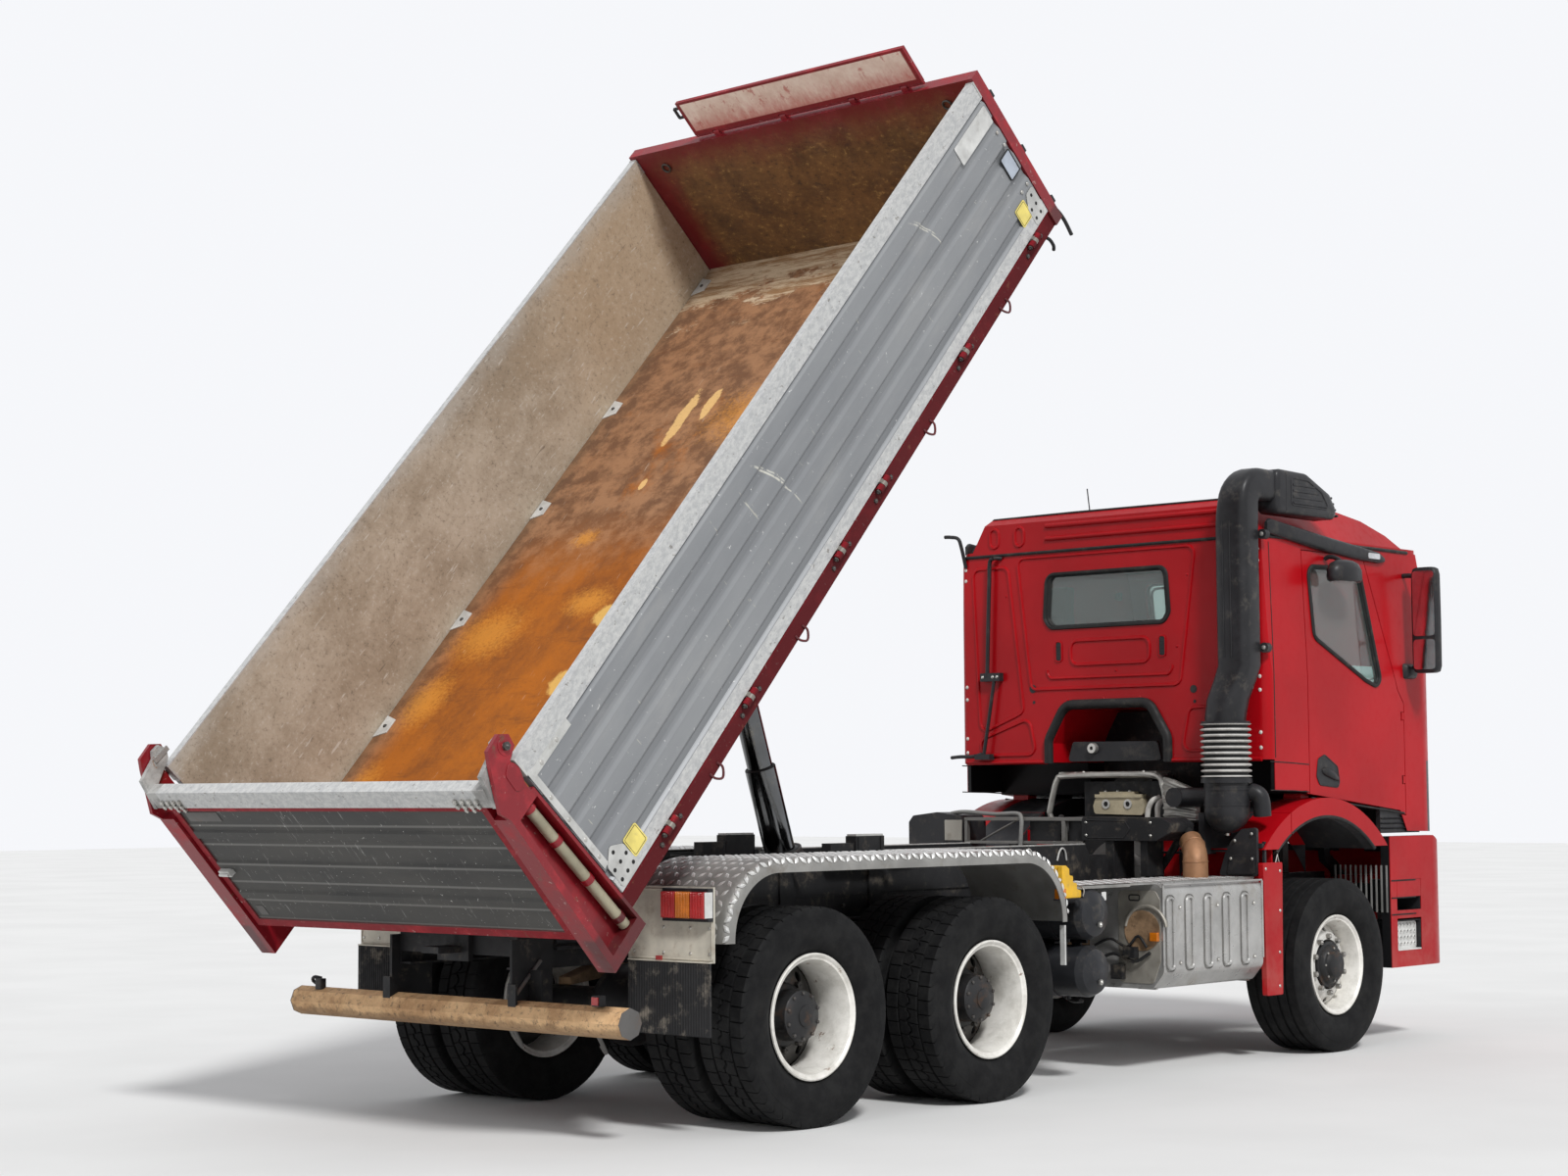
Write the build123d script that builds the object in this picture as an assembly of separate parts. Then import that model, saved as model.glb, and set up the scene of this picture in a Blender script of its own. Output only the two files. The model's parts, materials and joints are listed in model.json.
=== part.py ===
from build123d import *
import os
from math import atan, atan2, cos, degrees, hypot, pi, radians, sin, tan

# A three-axle tipper truck with a short day cab, its load bed raised.
# X points to the truck's right, Y forward, Z up. The origin lies on the ground
# under the middle of the truck's length. All sizes are in millimetres.

# Running clearances
pin_play = 1.0
seat_gap = 0.3
panel_gap = 7.0

# Axles, tyres and rims
front_axle_y = 2720.0
wheelbase = 3400.0
bogie_spacing = 1350.0
mid_axle_y = front_axle_y - wheelbase
rear_axle_y = mid_axle_y - bogie_spacing
tyre_radius = 515.0
rim_radius = 292.0
front_tyre_width = 380.0
front_tyre_x = 1045.0
twin_tyre_width = 308.0
twin_outer_x = 1089.0
twin_inner_x = 741.0
rim_wall = 12.0
spindle_radius = 42.0
axle_tube_radius = 78.0
kingpin_x = 925.0
kingpin_radius = 24.0
steer_limit = 35.0

# Ladder frame and tipper subframe
rail_outer_x = 417.0
rail_flange = 76.0
rail_wall = 9.0
rail_top_z = 1030.0
rail_height = 270.0
frame_rear_y = rear_axle_y - 1140.0
frame_front_y = front_axle_y + 1180.0
gearbox_rear_y = front_axle_y - 1240.0
subframe_height = 160.0
subframe_front_y = gearbox_rear_y
subframe_inner_x = 335.0
subframe_width = 78.0

# Tipping pivot and bed, given in the bed's own lowered position from the pivot
pivot_y = rear_axle_y - 1015.0
pivot_z = 1217.0
tip_angle = 47.9
pivot_tube_radius = 42.0
pivot_reach = 640.0
bed_half_width = 1255.0
wall_thickness = 45.0
wall_low = 150.0
wall_height = 850.0
bed_front = 4470.0
bed_rear = -250.0
floor_plate = 26.0
floor_depth = 150.0
side_hinge_x = bed_half_width + 7.0
side_hinge_drop = 26.0
side_hinge_radius = 11.0
side_eye_radius = 19.0
bed_rail_x = side_hinge_x - side_eye_radius - 3.0
bed_web_x = bed_half_width - 75.0
gate_lean = 5.5
gate_pin_u = -235.0
gate_pin_w = 1075.0
gate_pin_radius = 16.0
gate_thickness = 52.0
gate_half_width = bed_half_width - 127.0
gate_set_back = 168.0
post_width = 112.0
head_thickness = 62.0
flap_height = 225.0
flap_hinge_rise = 18.0
flap_pin_radius = 9.0

# Lift cylinder
ram_foot_y = mid_axle_y - 150.0
ram_foot_z = 980.0
ram_head_u = 2370.0
ram_head_w = 120.0
ram_stage_count = 4
ram_barrel_radius = 98.0
ram_step = 15.0
ram_wall = 9.0
ram_trunnion_radius = 30.0
ram_cheek_x = 62.0
ram_up = 295.0
ram_down = 225.0

# Cab
cab_half_width = 1150.0
cab_roof_half_width = 1118.0
cab_waist_z = 2250.0
cab_rear_y = front_axle_y - 640.0
cab_front_y = front_axle_y + 1430.0
cab_top_z = 3060.0
cab_wall = 48.0
cab_rear_floor_z = 1740.0
cab_floor_z = 1540.0
cab_toe_z = cab_floor_z - 110.0
cab_nose_z = cab_floor_z - 250.0
roof_top_z = cab_top_z + 252.0
cab_pivot_y = cab_front_y - 130.0
cab_pivot_z = 950.0
cab_arm_x = 462.0
cab_arm_width = 46.0
cab_pin_radius = 22.0
door_rear_y = cab_rear_y + 450.0
door_hinge_y = cab_front_y - 495.0
door_hinge_x = cab_half_width - 7.0
door_pin_radius = 5.0
door_head_z = cab_top_z - 60.0
glass_thickness = 6.0
mirror_y = door_hinge_y - 5.0
arch_gap = 8.0
arch_front_y = front_axle_y + 630.0
arch_rear_y = front_axle_y - 785.0
arch_split_y = front_axle_y - 490.0
arch_inner_x = 610.0

# Equipment along the frame
side_box_inner_x = 700.0
tank_y = mid_axle_y + 980.0
tank_radius = 138.0
tank_strap = 4.0
tank_low_z = 600.0
tank_high_z = 905.0
exhaust_front_y = cab_rear_y - 180.0
exhaust_rear_y = exhaust_front_y - 1010.0
guard_radius = 370.0
guard_top_z = 1260.0
guard_front_y = mid_axle_y + 650.0
guard_rear_y = rear_axle_y - 630.0
guard_outer_x = twin_outer_x + 153.0
guard_inner_x = twin_inner_x - 141.0
underrun_y = frame_rear_y - 10.0
underrun_z = 555.0
tow_pin_radius = 25.0
intake_x = 960.0
intake_y = cab_rear_y - 165.0
bowl_top = 1630.0
bellows_top = bowl_top + 332.0


def block(x, y, z):
    """A box from its low and high bounds along each axis."""
    size = Box(x[1] - x[0], y[1] - y[0], z[1] - z[0])
    return Pos((x[0] + x[1]) / 2, (y[0] + y[1]) / 2, (z[0] + z[1]) / 2) * size


def rod(axis, start, end, a, b, radius):
    """A round bar along X, Y or Z; a and b are its two other coordinates in order."""
    bar = Cylinder(radius, end - start)
    middle = (start + end) / 2
    if axis == "x":
        return Pos(middle, a, b) * Rot(0, 90, 0) * bar
    if axis == "y":
        return Pos(a, middle, b) * Rot(90, 0, 0) * bar
    return Pos(a, b, middle) * bar


def outline(points, radius=0.0):
    """A closed flat outline with every corner rounded by the same radius."""
    face = make_face(Polyline(*points, close=True))
    if radius > 0:
        face = fillet(face.vertices(), radius)
    return face


def along_x(face, low, high):
    """Extrude an outline drawn in Y and Z from one X to another."""
    return extrude(Plane.YZ.offset(low) * face, amount=high - low)


def along_y(face, low, high):
    """Extrude an outline drawn in X and Z from one Y to another."""
    plane = Plane(origin=(0, low, 0), x_dir=(-1, 0, 0), z_dir=(0, 1, 0))
    return extrude(plane * mirror(face, about=Plane.YZ), amount=high - low)


def along_z(face, low, high):
    """Extrude an outline drawn in X and Y from one Z to another."""
    return extrude(Plane.XY.offset(low) * face, amount=high - low)


def both_sides(shape):
    """The shape and its mirror image on the truck's other side."""
    return shape + mirror(shape, about=Plane.YZ)


def left_of(shape):
    """The mirror image of a right-hand shape."""
    return mirror(shape, about=Plane.YZ)


def round_profile(points, x_centre, y, z):
    """Turn a profile of (distance along X, radius) pairs about a line along X."""
    face = make_face(Polyline(*points, close=True))
    body = revolve(Plane.XY * face, Axis.X)
    return Pos(x_centre, y, z) * body


def tipped(shape):
    """Carry a shape from the lowered bed's own place to the raised pose."""
    return Pos(0, pivot_y, pivot_z) * Rot(tip_angle, 0, 0) * shape


# Wheels


def tyre(width):
    """A tyre ring: bead, sidewall, shoulder and tread band."""
    half = width / 2
    points = [
        (-half * 0.72, rim_radius - 14),
        (-half * 0.72, rim_radius + 10),
        (-half * 0.94, rim_radius + 44),
        (-half, tyre_radius - 110),
        (-half * 0.93, tyre_radius - 24),
        (-half * 0.86, tyre_radius),
        (half * 0.86, tyre_radius),
        (half * 0.93, tyre_radius - 24),
        (half, tyre_radius - 110),
        (half * 0.94, rim_radius + 44),
        (half * 0.72, rim_radius + 10),
        (half * 0.72, rim_radius - 14),
    ]
    return points


def rim_band(half):
    """The rolled band that a tyre sits on, open in the middle."""
    seat = rim_radius - 14.3
    return [
        (-half * 0.72 - 6, rim_radius + 6),
        (-half * 0.72 - 6, seat - rim_wall),
        (-half * 0.30, seat - 40),
        (half * 0.30, seat - 40),
        (half * 0.72 + 6, seat - rim_wall),
        (half * 0.72 + 6, rim_radius + 6),
        (half * 0.72 + 0.3, rim_radius + 6),
        (half * 0.72 + 0.3, seat),
        (half * 0.30, seat - 28),
        (-half * 0.30, seat - 28),
        (-half * 0.72 - 0.3, seat),
        (-half * 0.72 - 0.3, rim_radius + 6),
    ]


def disc_holes(centre_x, axle_y, ring, radius):
    """Ten hand holes through a wheel disc."""
    holes = None
    count = 10
    for index in range(count):
        angle = 2 * pi * (index + 0.5) / count
        y = axle_y + ring * cos(angle)
        z = tyre_radius + ring * sin(angle)
        hole = rod("x", centre_x - 60, centre_x + 60, y, z, radius)
        holes = hole if holes is None else holes + hole
    return holes


def front_wheel():
    """Right front tyre and rim with its hub, about the axle centre."""
    place = (front_tyre_x, front_axle_y, tyre_radius)
    rubber = round_profile(tyre(front_tyre_width), *place)
    rim = round_profile(rim_band(front_tyre_width / 2), *place)
    # Outward dished disc, then the hub with its stepped cap
    web = round_profile([
        (88, 120), (88, 150), (80, 185), (52, 225), (20, 244), (6, 244), (38, 220), (66, 182), (73, 150),
        (73, 120)], *place)
    rim += web - disc_holes(front_tyre_x + 45, front_axle_y, 205, 20)
    rim += round_profile([
        (-23, 0), (-23, 124), (86, 132), (98, 118), (127, 106), (137, 84), (152, 78), (158, 66), (158, 0)], *place)
    return rubber, rim - rod("x", 1000, 1120, front_axle_y, tyre_radius, spindle_radius + pin_play)


def twin_wheel(axle_y):
    """Right pair of tyres and the pair of rims on one hub."""
    rubber = round_profile(tyre(twin_tyre_width), twin_outer_x, axle_y, tyre_radius)
    rubber += round_profile(tyre(twin_tyre_width), twin_inner_x, axle_y, tyre_radius)
    web = [(-60, 120), (-60, 140), (-66, 190), (-88, 232), (-98, 265), (-110, 265), (-100, 228), (-78, 186),
           (-72, 140), (-72, 120)]
    rim = None
    for x, side in ((twin_outer_x, 1), (twin_inner_x, -1)):
        wheel = round_profile(rim_band(twin_tyre_width / 2), x, axle_y, tyre_radius)
        wheel += round_profile([(side * a, r) for a, r in web], x, axle_y, tyre_radius)
        wheel -= disc_holes(x - side * 80, axle_y, 213, 22)
        rim = wheel if rim is None else rim + wheel
    rim += round_profile([
        (-280, 0), (-280, 138), (-52, 144), (-46, 122), (30, 117), (53, 115), (62, 94), (70, 60), (83, 44),
        (84, 0)], twin_outer_x, axle_y, tyre_radius)
    rim -= rod("x", twin_inner_x - 30, 1115, axle_y, tyre_radius, spindle_radius + pin_play)
    return rubber, rim


# Frame, axles and springs


def rail(y_low, y_high, top, height, outer, flange, wall):
    """One right-hand channel rail with its flanges pointing inwards."""
    web = block((outer - wall, outer), (y_low, y_high), (top - height, top))
    upper = block((outer - flange, outer), (y_low, y_high), (top - wall, top))
    lower = block((outer - flange, outer), (y_low, y_high), (top - height, top - height + wall))
    return web + upper + lower


def chassis_frame():
    rails = both_sides(rail(
        frame_rear_y, frame_front_y, rail_top_z, rail_height, rail_outer_x, rail_flange, rail_wall))
    inner = rail_outer_x - rail_wall + 1
    low = rail_top_z - rail_height
    # Cross members: place along Y, and depth along Y
    table = (
        (frame_rear_y + 15, 30), (rear_axle_y - 270, 90), (rear_axle_y + 680, 90), (tank_y - 50, 90),
        (gearbox_rear_y - 330, 90), (frame_front_y - 40, 80))
    for y, depth in table:
        rails += block((-inner, inner), (y - depth / 2, y + depth / 2), (low + 60, rail_top_z - 20))
    # Spring hangers: place along Y, and drop below the rail
    hanger_x = (rail_outer_x - 72, rail_outer_x)
    for y, drop in ((front_axle_y + 860, 110), (front_axle_y - 860, 110)):
        hanger = block(hanger_x, (y - 30, y + 30), (low - drop, low + 5))
        rails += both_sides(hanger)
    return rails


def side_brackets():
    """Arms that carry the boxes, tanks, guards and lamps, from the rails outwards."""
    face = rail_outer_x
    # Place along Y, depth, low Z, high Z and reach along X
    table = (
        (exhaust_front_y - 150, 60, 800, 960, side_box_inner_x - seat_gap),
        (exhaust_rear_y + 150, 60, 800, 960, side_box_inner_x - seat_gap),
        (guard_rear_y - 62, 16, 840, 1000, 700),
    )
    arms = None
    for y, depth, low, high, reach in table:
        arm = block((face, reach), (y - depth / 2, y + depth / 2), (low, high))
        arms = arm if arms is None else arms + arm
    arms = both_sides(arms)
    # Plate with two uprights in front of the air tanks
    y = tank_y + tank_radius + tank_strap
    y = (y + seat_gap, y + 12)
    arms += block((face, 1000), y, (740, 840))
    for x in (500, 900):
        arms += block((x, x + 60), y, (tank_low_z - 40, tank_high_z + 40))
    return arms


def guard_brackets():
    """Bent arms from the rails to the underside of the rear mudguards."""
    arms = None
    for y in (guard_rear_y + 620, (guard_rear_y + guard_front_y) / 2, guard_front_y - 620):
        post = block((rail_outer_x, rail_outer_x + 12), (y - 50, y + 50), (900, guard_top_z - 30))
        arm = rod("x", rail_outer_x + 6, 1180, y, guard_top_z - 5 - seat_gap - 20, 20)
        arm = post + arm
        arms = arm if arms is None else arms + arm
    return both_sides(arms)


def subframe():
    """Tipper subframe: two box rails, cross members, ram bearers and pivot tube."""
    base = rail_top_z + seat_gap
    top = rail_top_z + subframe_height
    x = (subframe_inner_x, subframe_inner_x + subframe_width)
    frame = both_sides(block(x, (pivot_y + 85, subframe_front_y), (base, top)))
    inner = subframe_inner_x + 1
    # Cross members along Y, clear of the ram's sweep
    for y in (pivot_y + 120, rear_axle_y - 270, rear_axle_y + 680, ram_foot_y - 250, ram_foot_y + 270,
              tank_y + 200, subframe_front_y - 50):
        frame += block((-inner, inner), (y - 35, y + 35), (base + 20, top - 10))
    ear_y = (ram_foot_y - 250, ram_foot_y + 270)
    ear = block((ram_barrel_radius + 92, ram_barrel_radius + 124), ear_y, (ram_foot_z - 70, top - 10))
    ear -= rod("x", 0, 400, ram_foot_y, ram_foot_z, ram_trunnion_radius + pin_play)
    frame += both_sides(ear)
    cheek_x = (subframe_inner_x - 40, subframe_inner_x - 12)
    cheek = block(cheek_x, (pivot_y - 60, pivot_y + 110), (base + 20, pivot_z))
    cheek += rod("x", cheek_x[0], cheek_x[1], pivot_y, pivot_z, 60)
    frame += both_sides(cheek)
    frame += rod("x", -pivot_reach, pivot_reach, pivot_y, pivot_z, pivot_tube_radius)
    return frame


def engine_block():
    """Six-cylinder engine with sump, head, covers, pipes and radiator, and the gearbox behind it."""
    rear, front = front_axle_y - 420, front_axle_y + 880
    engine = block((-190, 190), (rear + 60, front - 100), (640, 830))
    engine += block((-270, 270), (rear, front - 60), (820, 1220))
    engine += block((-215, 215), (rear + 20, front - 60), (1210, 1540))
    cover = block((-150, 150), (rear + 50, front - 90), (1530, 1640))
    engine += fillet(cover.edges().filter_by(Axis.Y).group_by(Axis.Z)[-1], 40)
    # Radiator in front, ribs on the crankcase, a branch and an inlet for each cylinder
    engine += block((-330, 330), (front - 61, front), (700, 1500))
    cylinder_count = 6
    pitch = (front - rear - 260) / cylinder_count
    for index in range(cylinder_count):
        y = rear + 130 + index * pitch
        engine += both_sides(block((265, 290), (y - 14, y + 14), (850, 1190)))
        engine += block((-110, 110), (y - 50, y + 50), (1636, 1660))
        engine += rod("x", 210, 262, y, 1400, 30) + rod("x", -262, -210, y, 1440, 34)
    engine += rod("y", rear + 90, front - 260, 262, 1400, 44)
    engine += rod("y", rear + 90, front - 260, -262, 1440, 50)
    turbo = rod("y", rear + 420, rear + 560, 262, 1290, 66)
    engine += turbo
    return engine + gearbox(rear) + engine_mounts()


def gearbox(front):
    """Clutch housing, ribbed case and output flange behind the engine."""
    box = rod("y", front - 90, front + 1, 0, 980, 290)
    box += rod("y", front - 200, front - 80, 0, 960, 235)
    box += block((-205, 205), (gearbox_rear_y + 230, front - 190), (700, 1110))
    box += block((-150, 150), (gearbox_rear_y + 40, gearbox_rear_y + 240), (680, 1060))
    box += block((-120, 120), (gearbox_rear_y + 300, front - 260), (1100, 1150))
    box += rod("y", gearbox_rear_y, gearbox_rear_y + 60, 0, tyre_radius + 190, 85)
    rib_count = 4
    for index in range(rib_count):
        y = gearbox_rear_y + 270 + index * 90
        box += block((-222, 222), (y - 7, y + 7), (684, 1124))
    return box


def engine_mounts():
    """Bearer across the frame and the bracket frame over the engine's rear end."""
    reach = rail_outer_x - rail_wall - seat_gap
    y = front_axle_y + 180
    mounts = block((-reach, reach), (y, y + 100), (840, 900))
    y = front_axle_y - 440
    arch = outline([(-250, 1180), (250, 1180), (250, 1500), (170, 1610), (-170, 1610), (-250, 1500)])
    arch -= outline([(-218, 1200), (218, 1200), (218, 1488), (154, 1578), (-154, 1578), (-218, 1488)])
    return mounts + along_y(arch, y, y + 60)


def front_axle():
    """Dropped beam with an eye at each end for the kingpin."""
    z = tyre_radius
    beam = along_y(outline([
        (-kingpin_x + 30, z - 45), (-620, z - 120), (620, z - 120), (kingpin_x - 30, z - 45),
        (kingpin_x - 30, z + 45), (560, z - 5), (-560, z - 5), (-kingpin_x + 30, z + 45)]),
        front_axle_y - 45, front_axle_y + 45)
    eye = rod("z", z - 60, z + 60, kingpin_x, front_axle_y, 50)
    beam += both_sides(eye)
    hole = rod("z", z - 80, z + 80, kingpin_x, front_axle_y, kingpin_radius + pin_play)
    beam -= both_sides(hole)
    return beam


def knuckle():
    """Right stub axle: fork and kingpin round the beam's eye, and the spindle."""
    z = tyre_radius
    fork = None
    for low, high in ((z - 100, z - 62), (z + 62, z + 100)):
        ear = rod("z", low, high, kingpin_x, front_axle_y, 46)
        ear += block((kingpin_x, kingpin_x + 86), (front_axle_y - 46, front_axle_y + 46), (low, high))
        fork = ear if fork is None else fork + ear
    fork += block((kingpin_x + 56, kingpin_x + 86), (front_axle_y - 46, front_axle_y + 46), (z - 90, z + 90))
    fork += rod("z", z - 100, z + 100, kingpin_x, front_axle_y, kingpin_radius)
    fork += rod("x", kingpin_x + 80, 1112, front_axle_y, z, spindle_radius)
    return fork


def rear_axles():
    """Two driven axle housings with their round centres, spindles and shafts."""
    axles = None
    z = tyre_radius
    for y in (mid_axle_y, rear_axle_y):
        axle = Pos(0, y, z) * Sphere(205)
        axle += rod("x", -560, 560, y, z, axle_tube_radius)
        axle += rod("x", -1080, 1080, y, z, spindle_radius)
        axles = axle if axles is None else axles + axle
    axles += rod("y", rear_axle_y, mid_axle_y, 0, z + 60, 48)
    # The shaft from the gearbox slopes down to the first driven axle
    start_y = gearbox_rear_y - seat_gap
    shaft_rise = 150.0
    length = hypot(start_y - mid_axle_y, shaft_rise)
    slope = degrees(atan2(shaft_rise, start_y - mid_axle_y))
    shaft = Rot(-90, 0, 0) * Cylinder(48, length, align=(Align.CENTER, Align.CENTER, Align.MIN))
    shaft = Pos(0, mid_axle_y, z + 40) * Rot(slope, 0, 0) * shaft
    axles += shaft - block((-100, 100), (start_y, start_y + 200), (0, 2000))
    return axles


def leaf_springs():
    """Front springs under the rails and bogie springs outside them."""
    z = tyre_radius
    front = along_x(outline([
        (-830, 210), (0, 70), (830, 210), (830, 235), (0, 150), (-830, 235)]), 345, 415)
    front = Pos(0, front_axle_y, z - 75 + seat_gap) * front
    half = bogie_spacing / 2
    rear = along_x(outline([
        (-half, axle_tube_radius + seat_gap), (-half * 0.4, 120), (half * 0.4, 120),
        (half, axle_tube_radius + seat_gap),
        (half, 115), (half * 0.45, 225), (-half * 0.45, 225), (-half, 115)]), 440, 530)
    rear = Pos(0, (mid_axle_y + rear_axle_y) / 2, z) * rear
    saddle = along_x(outline([(-120, 224), (120, 224), (90, 330), (-90, 330)]), rail_outer_x + seat_gap, 530)
    rear += Pos(0, (mid_axle_y + rear_axle_y) / 2, z) * saddle
    return both_sides(front) + both_sides(rear)


# Equipment on the frame


def exhaust_box():
    """Silencer cover with rounded outer edges and five pressed frames on its face."""
    low, high, face = 470.0, 1046.0, 1196.0
    section = outline([
        (side_box_inner_x, low), (face - 76, low), (face, low + 90), (face, high), (side_box_inner_x, high)])
    section = fillet(section.vertices().group_by(Axis.X)[-1], 55)
    section = fillet(section.vertices().group_by(Axis.Y)[0].sort_by(Axis.X)[-1], 40)
    box = along_y(section, exhaust_rear_y, exhaust_front_y)
    frame = RectangleRounded(74, 400, 30) - RectangleRounded(52, 378, 20)
    rib_count = 5
    for index in range(rib_count):
        y = exhaust_rear_y + 68 + index * 188.5
        box += along_x(Pos(y, 775) * frame, face - 6, face + 5)
    lip = block((side_box_inner_x - 20, face - 60), (exhaust_rear_y - 240, exhaust_front_y + 10), (high, high + 10))
    return box + lip


def exhaust_elbow():
    """Pipe that comes out of the box top and leans in towards the engine."""
    x, y, z = 900.0, exhaust_front_y - 240, 1056 + seat_gap
    foot = rod("z", z, z + 110, x, y, 74)
    lean = Pos(x, y, z + 110) * Rot(35, -30, 0) * Cylinder(
        74, 150, align=(Align.CENTER, Align.CENTER, Align.MIN))
    return foot + lean + Pos(x, y, z + 110) * Sphere(74)


def air_tanks():
    """Two domed air tanks on the right side, one above the other."""
    r = tank_radius
    profile = [(440, 0), (440, r - 38), (480, r), (1120, r), (1160, r - 20), (1182, r - 78), (1190, 0)]
    tanks = None
    for z in (tank_high_z, tank_low_z):
        tank = round_profile(profile, 0, tank_y, z)
        for x in (510, 910):
            tank += rod("x", x, x + 40, tank_y, z, r + tank_strap)
            tank += rod("z", z - r - 16, z - r + 5, x + 70, tank_y, 11)
        tanks = tank if tanks is None else tanks + tank
    return tanks


def fuel_tank():
    section = outline([(-1196, 470), (-side_box_inner_x, 470), (-side_box_inner_x, 1040), (-1196, 1040)], 70)
    tank = along_y(section, tank_y + 200, exhaust_front_y)
    # Straps and filler cap
    for y in (tank_y + 330, exhaust_front_y - 560):
        tank += along_y(offset(section, amount=tank_strap), y, y + 50)
    return tank + rod("z", 1035, 1072, -1050, tank_y + 480, 48)


def guard_path(shift):
    """Side outline of a rear mudguard, moved inwards by shift."""
    front = guard_front_y - shift
    rear = guard_rear_y + shift
    top = guard_top_z - shift
    radius = guard_radius - shift
    low = 880.0
    with BuildSketch() as sketch:
        with BuildLine():
            Line((rear, low), (rear, top - radius))
            RadiusArc((rear, top - radius), (rear + radius, top), radius)
            Line((rear + radius, top), (front - radius, top))
            RadiusArc((front - radius, top), (front, top - radius), radius)
            Line((front, top - radius), (front, low))
            Line((front, low), (rear, low))
        make_face()
    return sketch.sketch


def rear_mudguards():
    """One pressed guard over both rear axles on each side, with a turned-down lip."""
    sheet = along_x(guard_path(0), guard_inner_x, guard_outer_x)
    sheet -= along_x(guard_path(5), guard_inner_x - 1, guard_outer_x + 1)
    lip = along_x(guard_path(0), guard_outer_x - 6, guard_outer_x)
    lip -= along_x(guard_path(34), guard_outer_x - 7, guard_outer_x + 1)
    guard = sheet + lip
    guard -= block((0, 2000), (-4000, 1000), (870, 881))
    shelf = block((940, 1200), (guard_front_y - 8, guard_front_y + 175), (992, 998))
    shelf += block((940, 1200), (guard_front_y - 4, guard_front_y + 2), (880, 998))
    return both_sides(guard) + shelf


def wheel_chocks():
    """Two wheel wedges stowed on the shelf in front of the right guard."""
    face = outline([(8, 0), (165, 0), (165, 26), (40, 170), (8, 170)], 4)
    wedge = along_x(face, 950, 1060)
    wedges = wedge + Pos(120, 0, 0) * wedge
    return Pos(0, guard_front_y, 998 + seat_gap) * wedges


def mudflaps():
    y = guard_rear_y - 90
    flap = block((720, 1240), (y - 12, y), (470, 800 - seat_gap))
    return both_sides(flap)


def lamp_brackets():
    """Pale plates behind the rear wheels that hold the flaps and lamps."""
    y = guard_rear_y - 80
    plate = block((700 + seat_gap, 1245), (y, y + 10), (800, 1140))
    plate += block((700 + seat_gap, 720), (y + 5, y + 40), (800, 1140))
    plate += block((720, 1240), (y - 25, y + 5), (800, 806))
    return both_sides(plate)


def tail_lamps():
    """Housings with three lens blocks each."""
    y = guard_rear_y - 80 - seat_gap
    lamp = block((960, 1245), (y - 34, y), (990, 1130))
    for x in (968, 1060, 1152):
        lamp += block((x, x + 86), (y - 60, y - 33), (1000, 1120))
    return both_sides(lamp)


def underrun_bar():
    """Eight-sided bar across the tail on two hanger plates."""
    bar = Rot(0, 90, 0) * extrude(RegularPolygon(70, 8), amount=1160, both=True)
    bar = Pos(0, underrun_y, underrun_z) * bar
    hanger = block((rail_outer_x + seat_gap, rail_outer_x + 16), (underrun_y - 40, underrun_y + 210), (560, 900))
    return bar + both_sides(hanger)


def tow_coupling():
    """Rear drawbar jaw with its vertical pin hole."""
    y = frame_rear_y - seat_gap
    base = block((-110, 110), (y - 30, y), (790, 1000))
    upper = block((-60, 60), (y - 170, y - 30), (930, 960))
    lower = block((-60, 60), (y - 170, y - 30), (830, 860))
    jaw = base + upper + lower
    jaw -= rod("z", 800, 1000, 0, y - 110, tow_pin_radius)
    return jaw


def bumper_plan():
    """The bumper's outline seen from above."""
    rear, front, side = arch_front_y + 35, cab_front_y + 10, cab_half_width + 40
    plan = outline([(-side, rear), (-side, front), (side, front), (side, rear)])
    return fillet(plan.vertices().group_by(Axis.Y)[-1], 240)


def bumper():
    """Front bumper, hollow behind, wrapping back to the front wheels."""
    front = cab_front_y + 10
    plan = bumper_plan()
    inner = offset(plan, amount=-60, kind=Kind.INTERSECTION)
    skin = along_z(plan, 460, 1270) - along_z(inner, 450, 1280)
    skin -= block((-1125, 1125), (arch_front_y - 50, arch_front_y + 100), (400, 1300))
    # Air slots below the number plate's bare place, with a rib in the middle
    for z in (520, 575, 630):
        skin -= both_sides(block((15, 430), (front - 80, front + 5), (z, z + 28)))
    skin -= block((-265, 265), (front - 4, front + 5), (700, 820))
    slope = along_x(outline([(cab_pivot_y - 120, 1281), (front + 20, 1175), (front + 20, 1290)]), -1300, 1300)
    skin -= slope
    for low, high in ((560, 760), (810, 1000)):
        step = block((1000, 1200), (arch_front_y + 110, arch_front_y + 410), (low, high))
        skin -= both_sides(step)
    for z in (560, 810):
        tread = block((1000, 1185), (arch_front_y + 100, arch_front_y + 420), (z - 12, z))
        skin += both_sides(tread)
    carrier = block((-1131, 1131), (frame_front_y - 90, frame_front_y + 20), (830, 960))
    carrier -= both_sides(block((0, rail_outer_x + seat_gap), (3000, 3990), (0, 2000)))
    # Bearers on both sides of the cab's pivot arms
    for x in ((rail_outer_x + seat_gap, cab_arm_x - 6), (cab_arm_x + cab_arm_width + 6, 700)):
        carrier += both_sides(block(x, (frame_front_y, cab_front_y - 40), (880, 1010)))
    bore = rod("x", 400, 560, cab_pivot_y, cab_pivot_z, cab_pin_radius + pin_play)
    carrier -= both_sides(bore)
    skin += carrier
    pocket = block((690, 1085), (front - 80, front + 20), (700, 900))
    return skin - both_sides(pocket)


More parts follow.
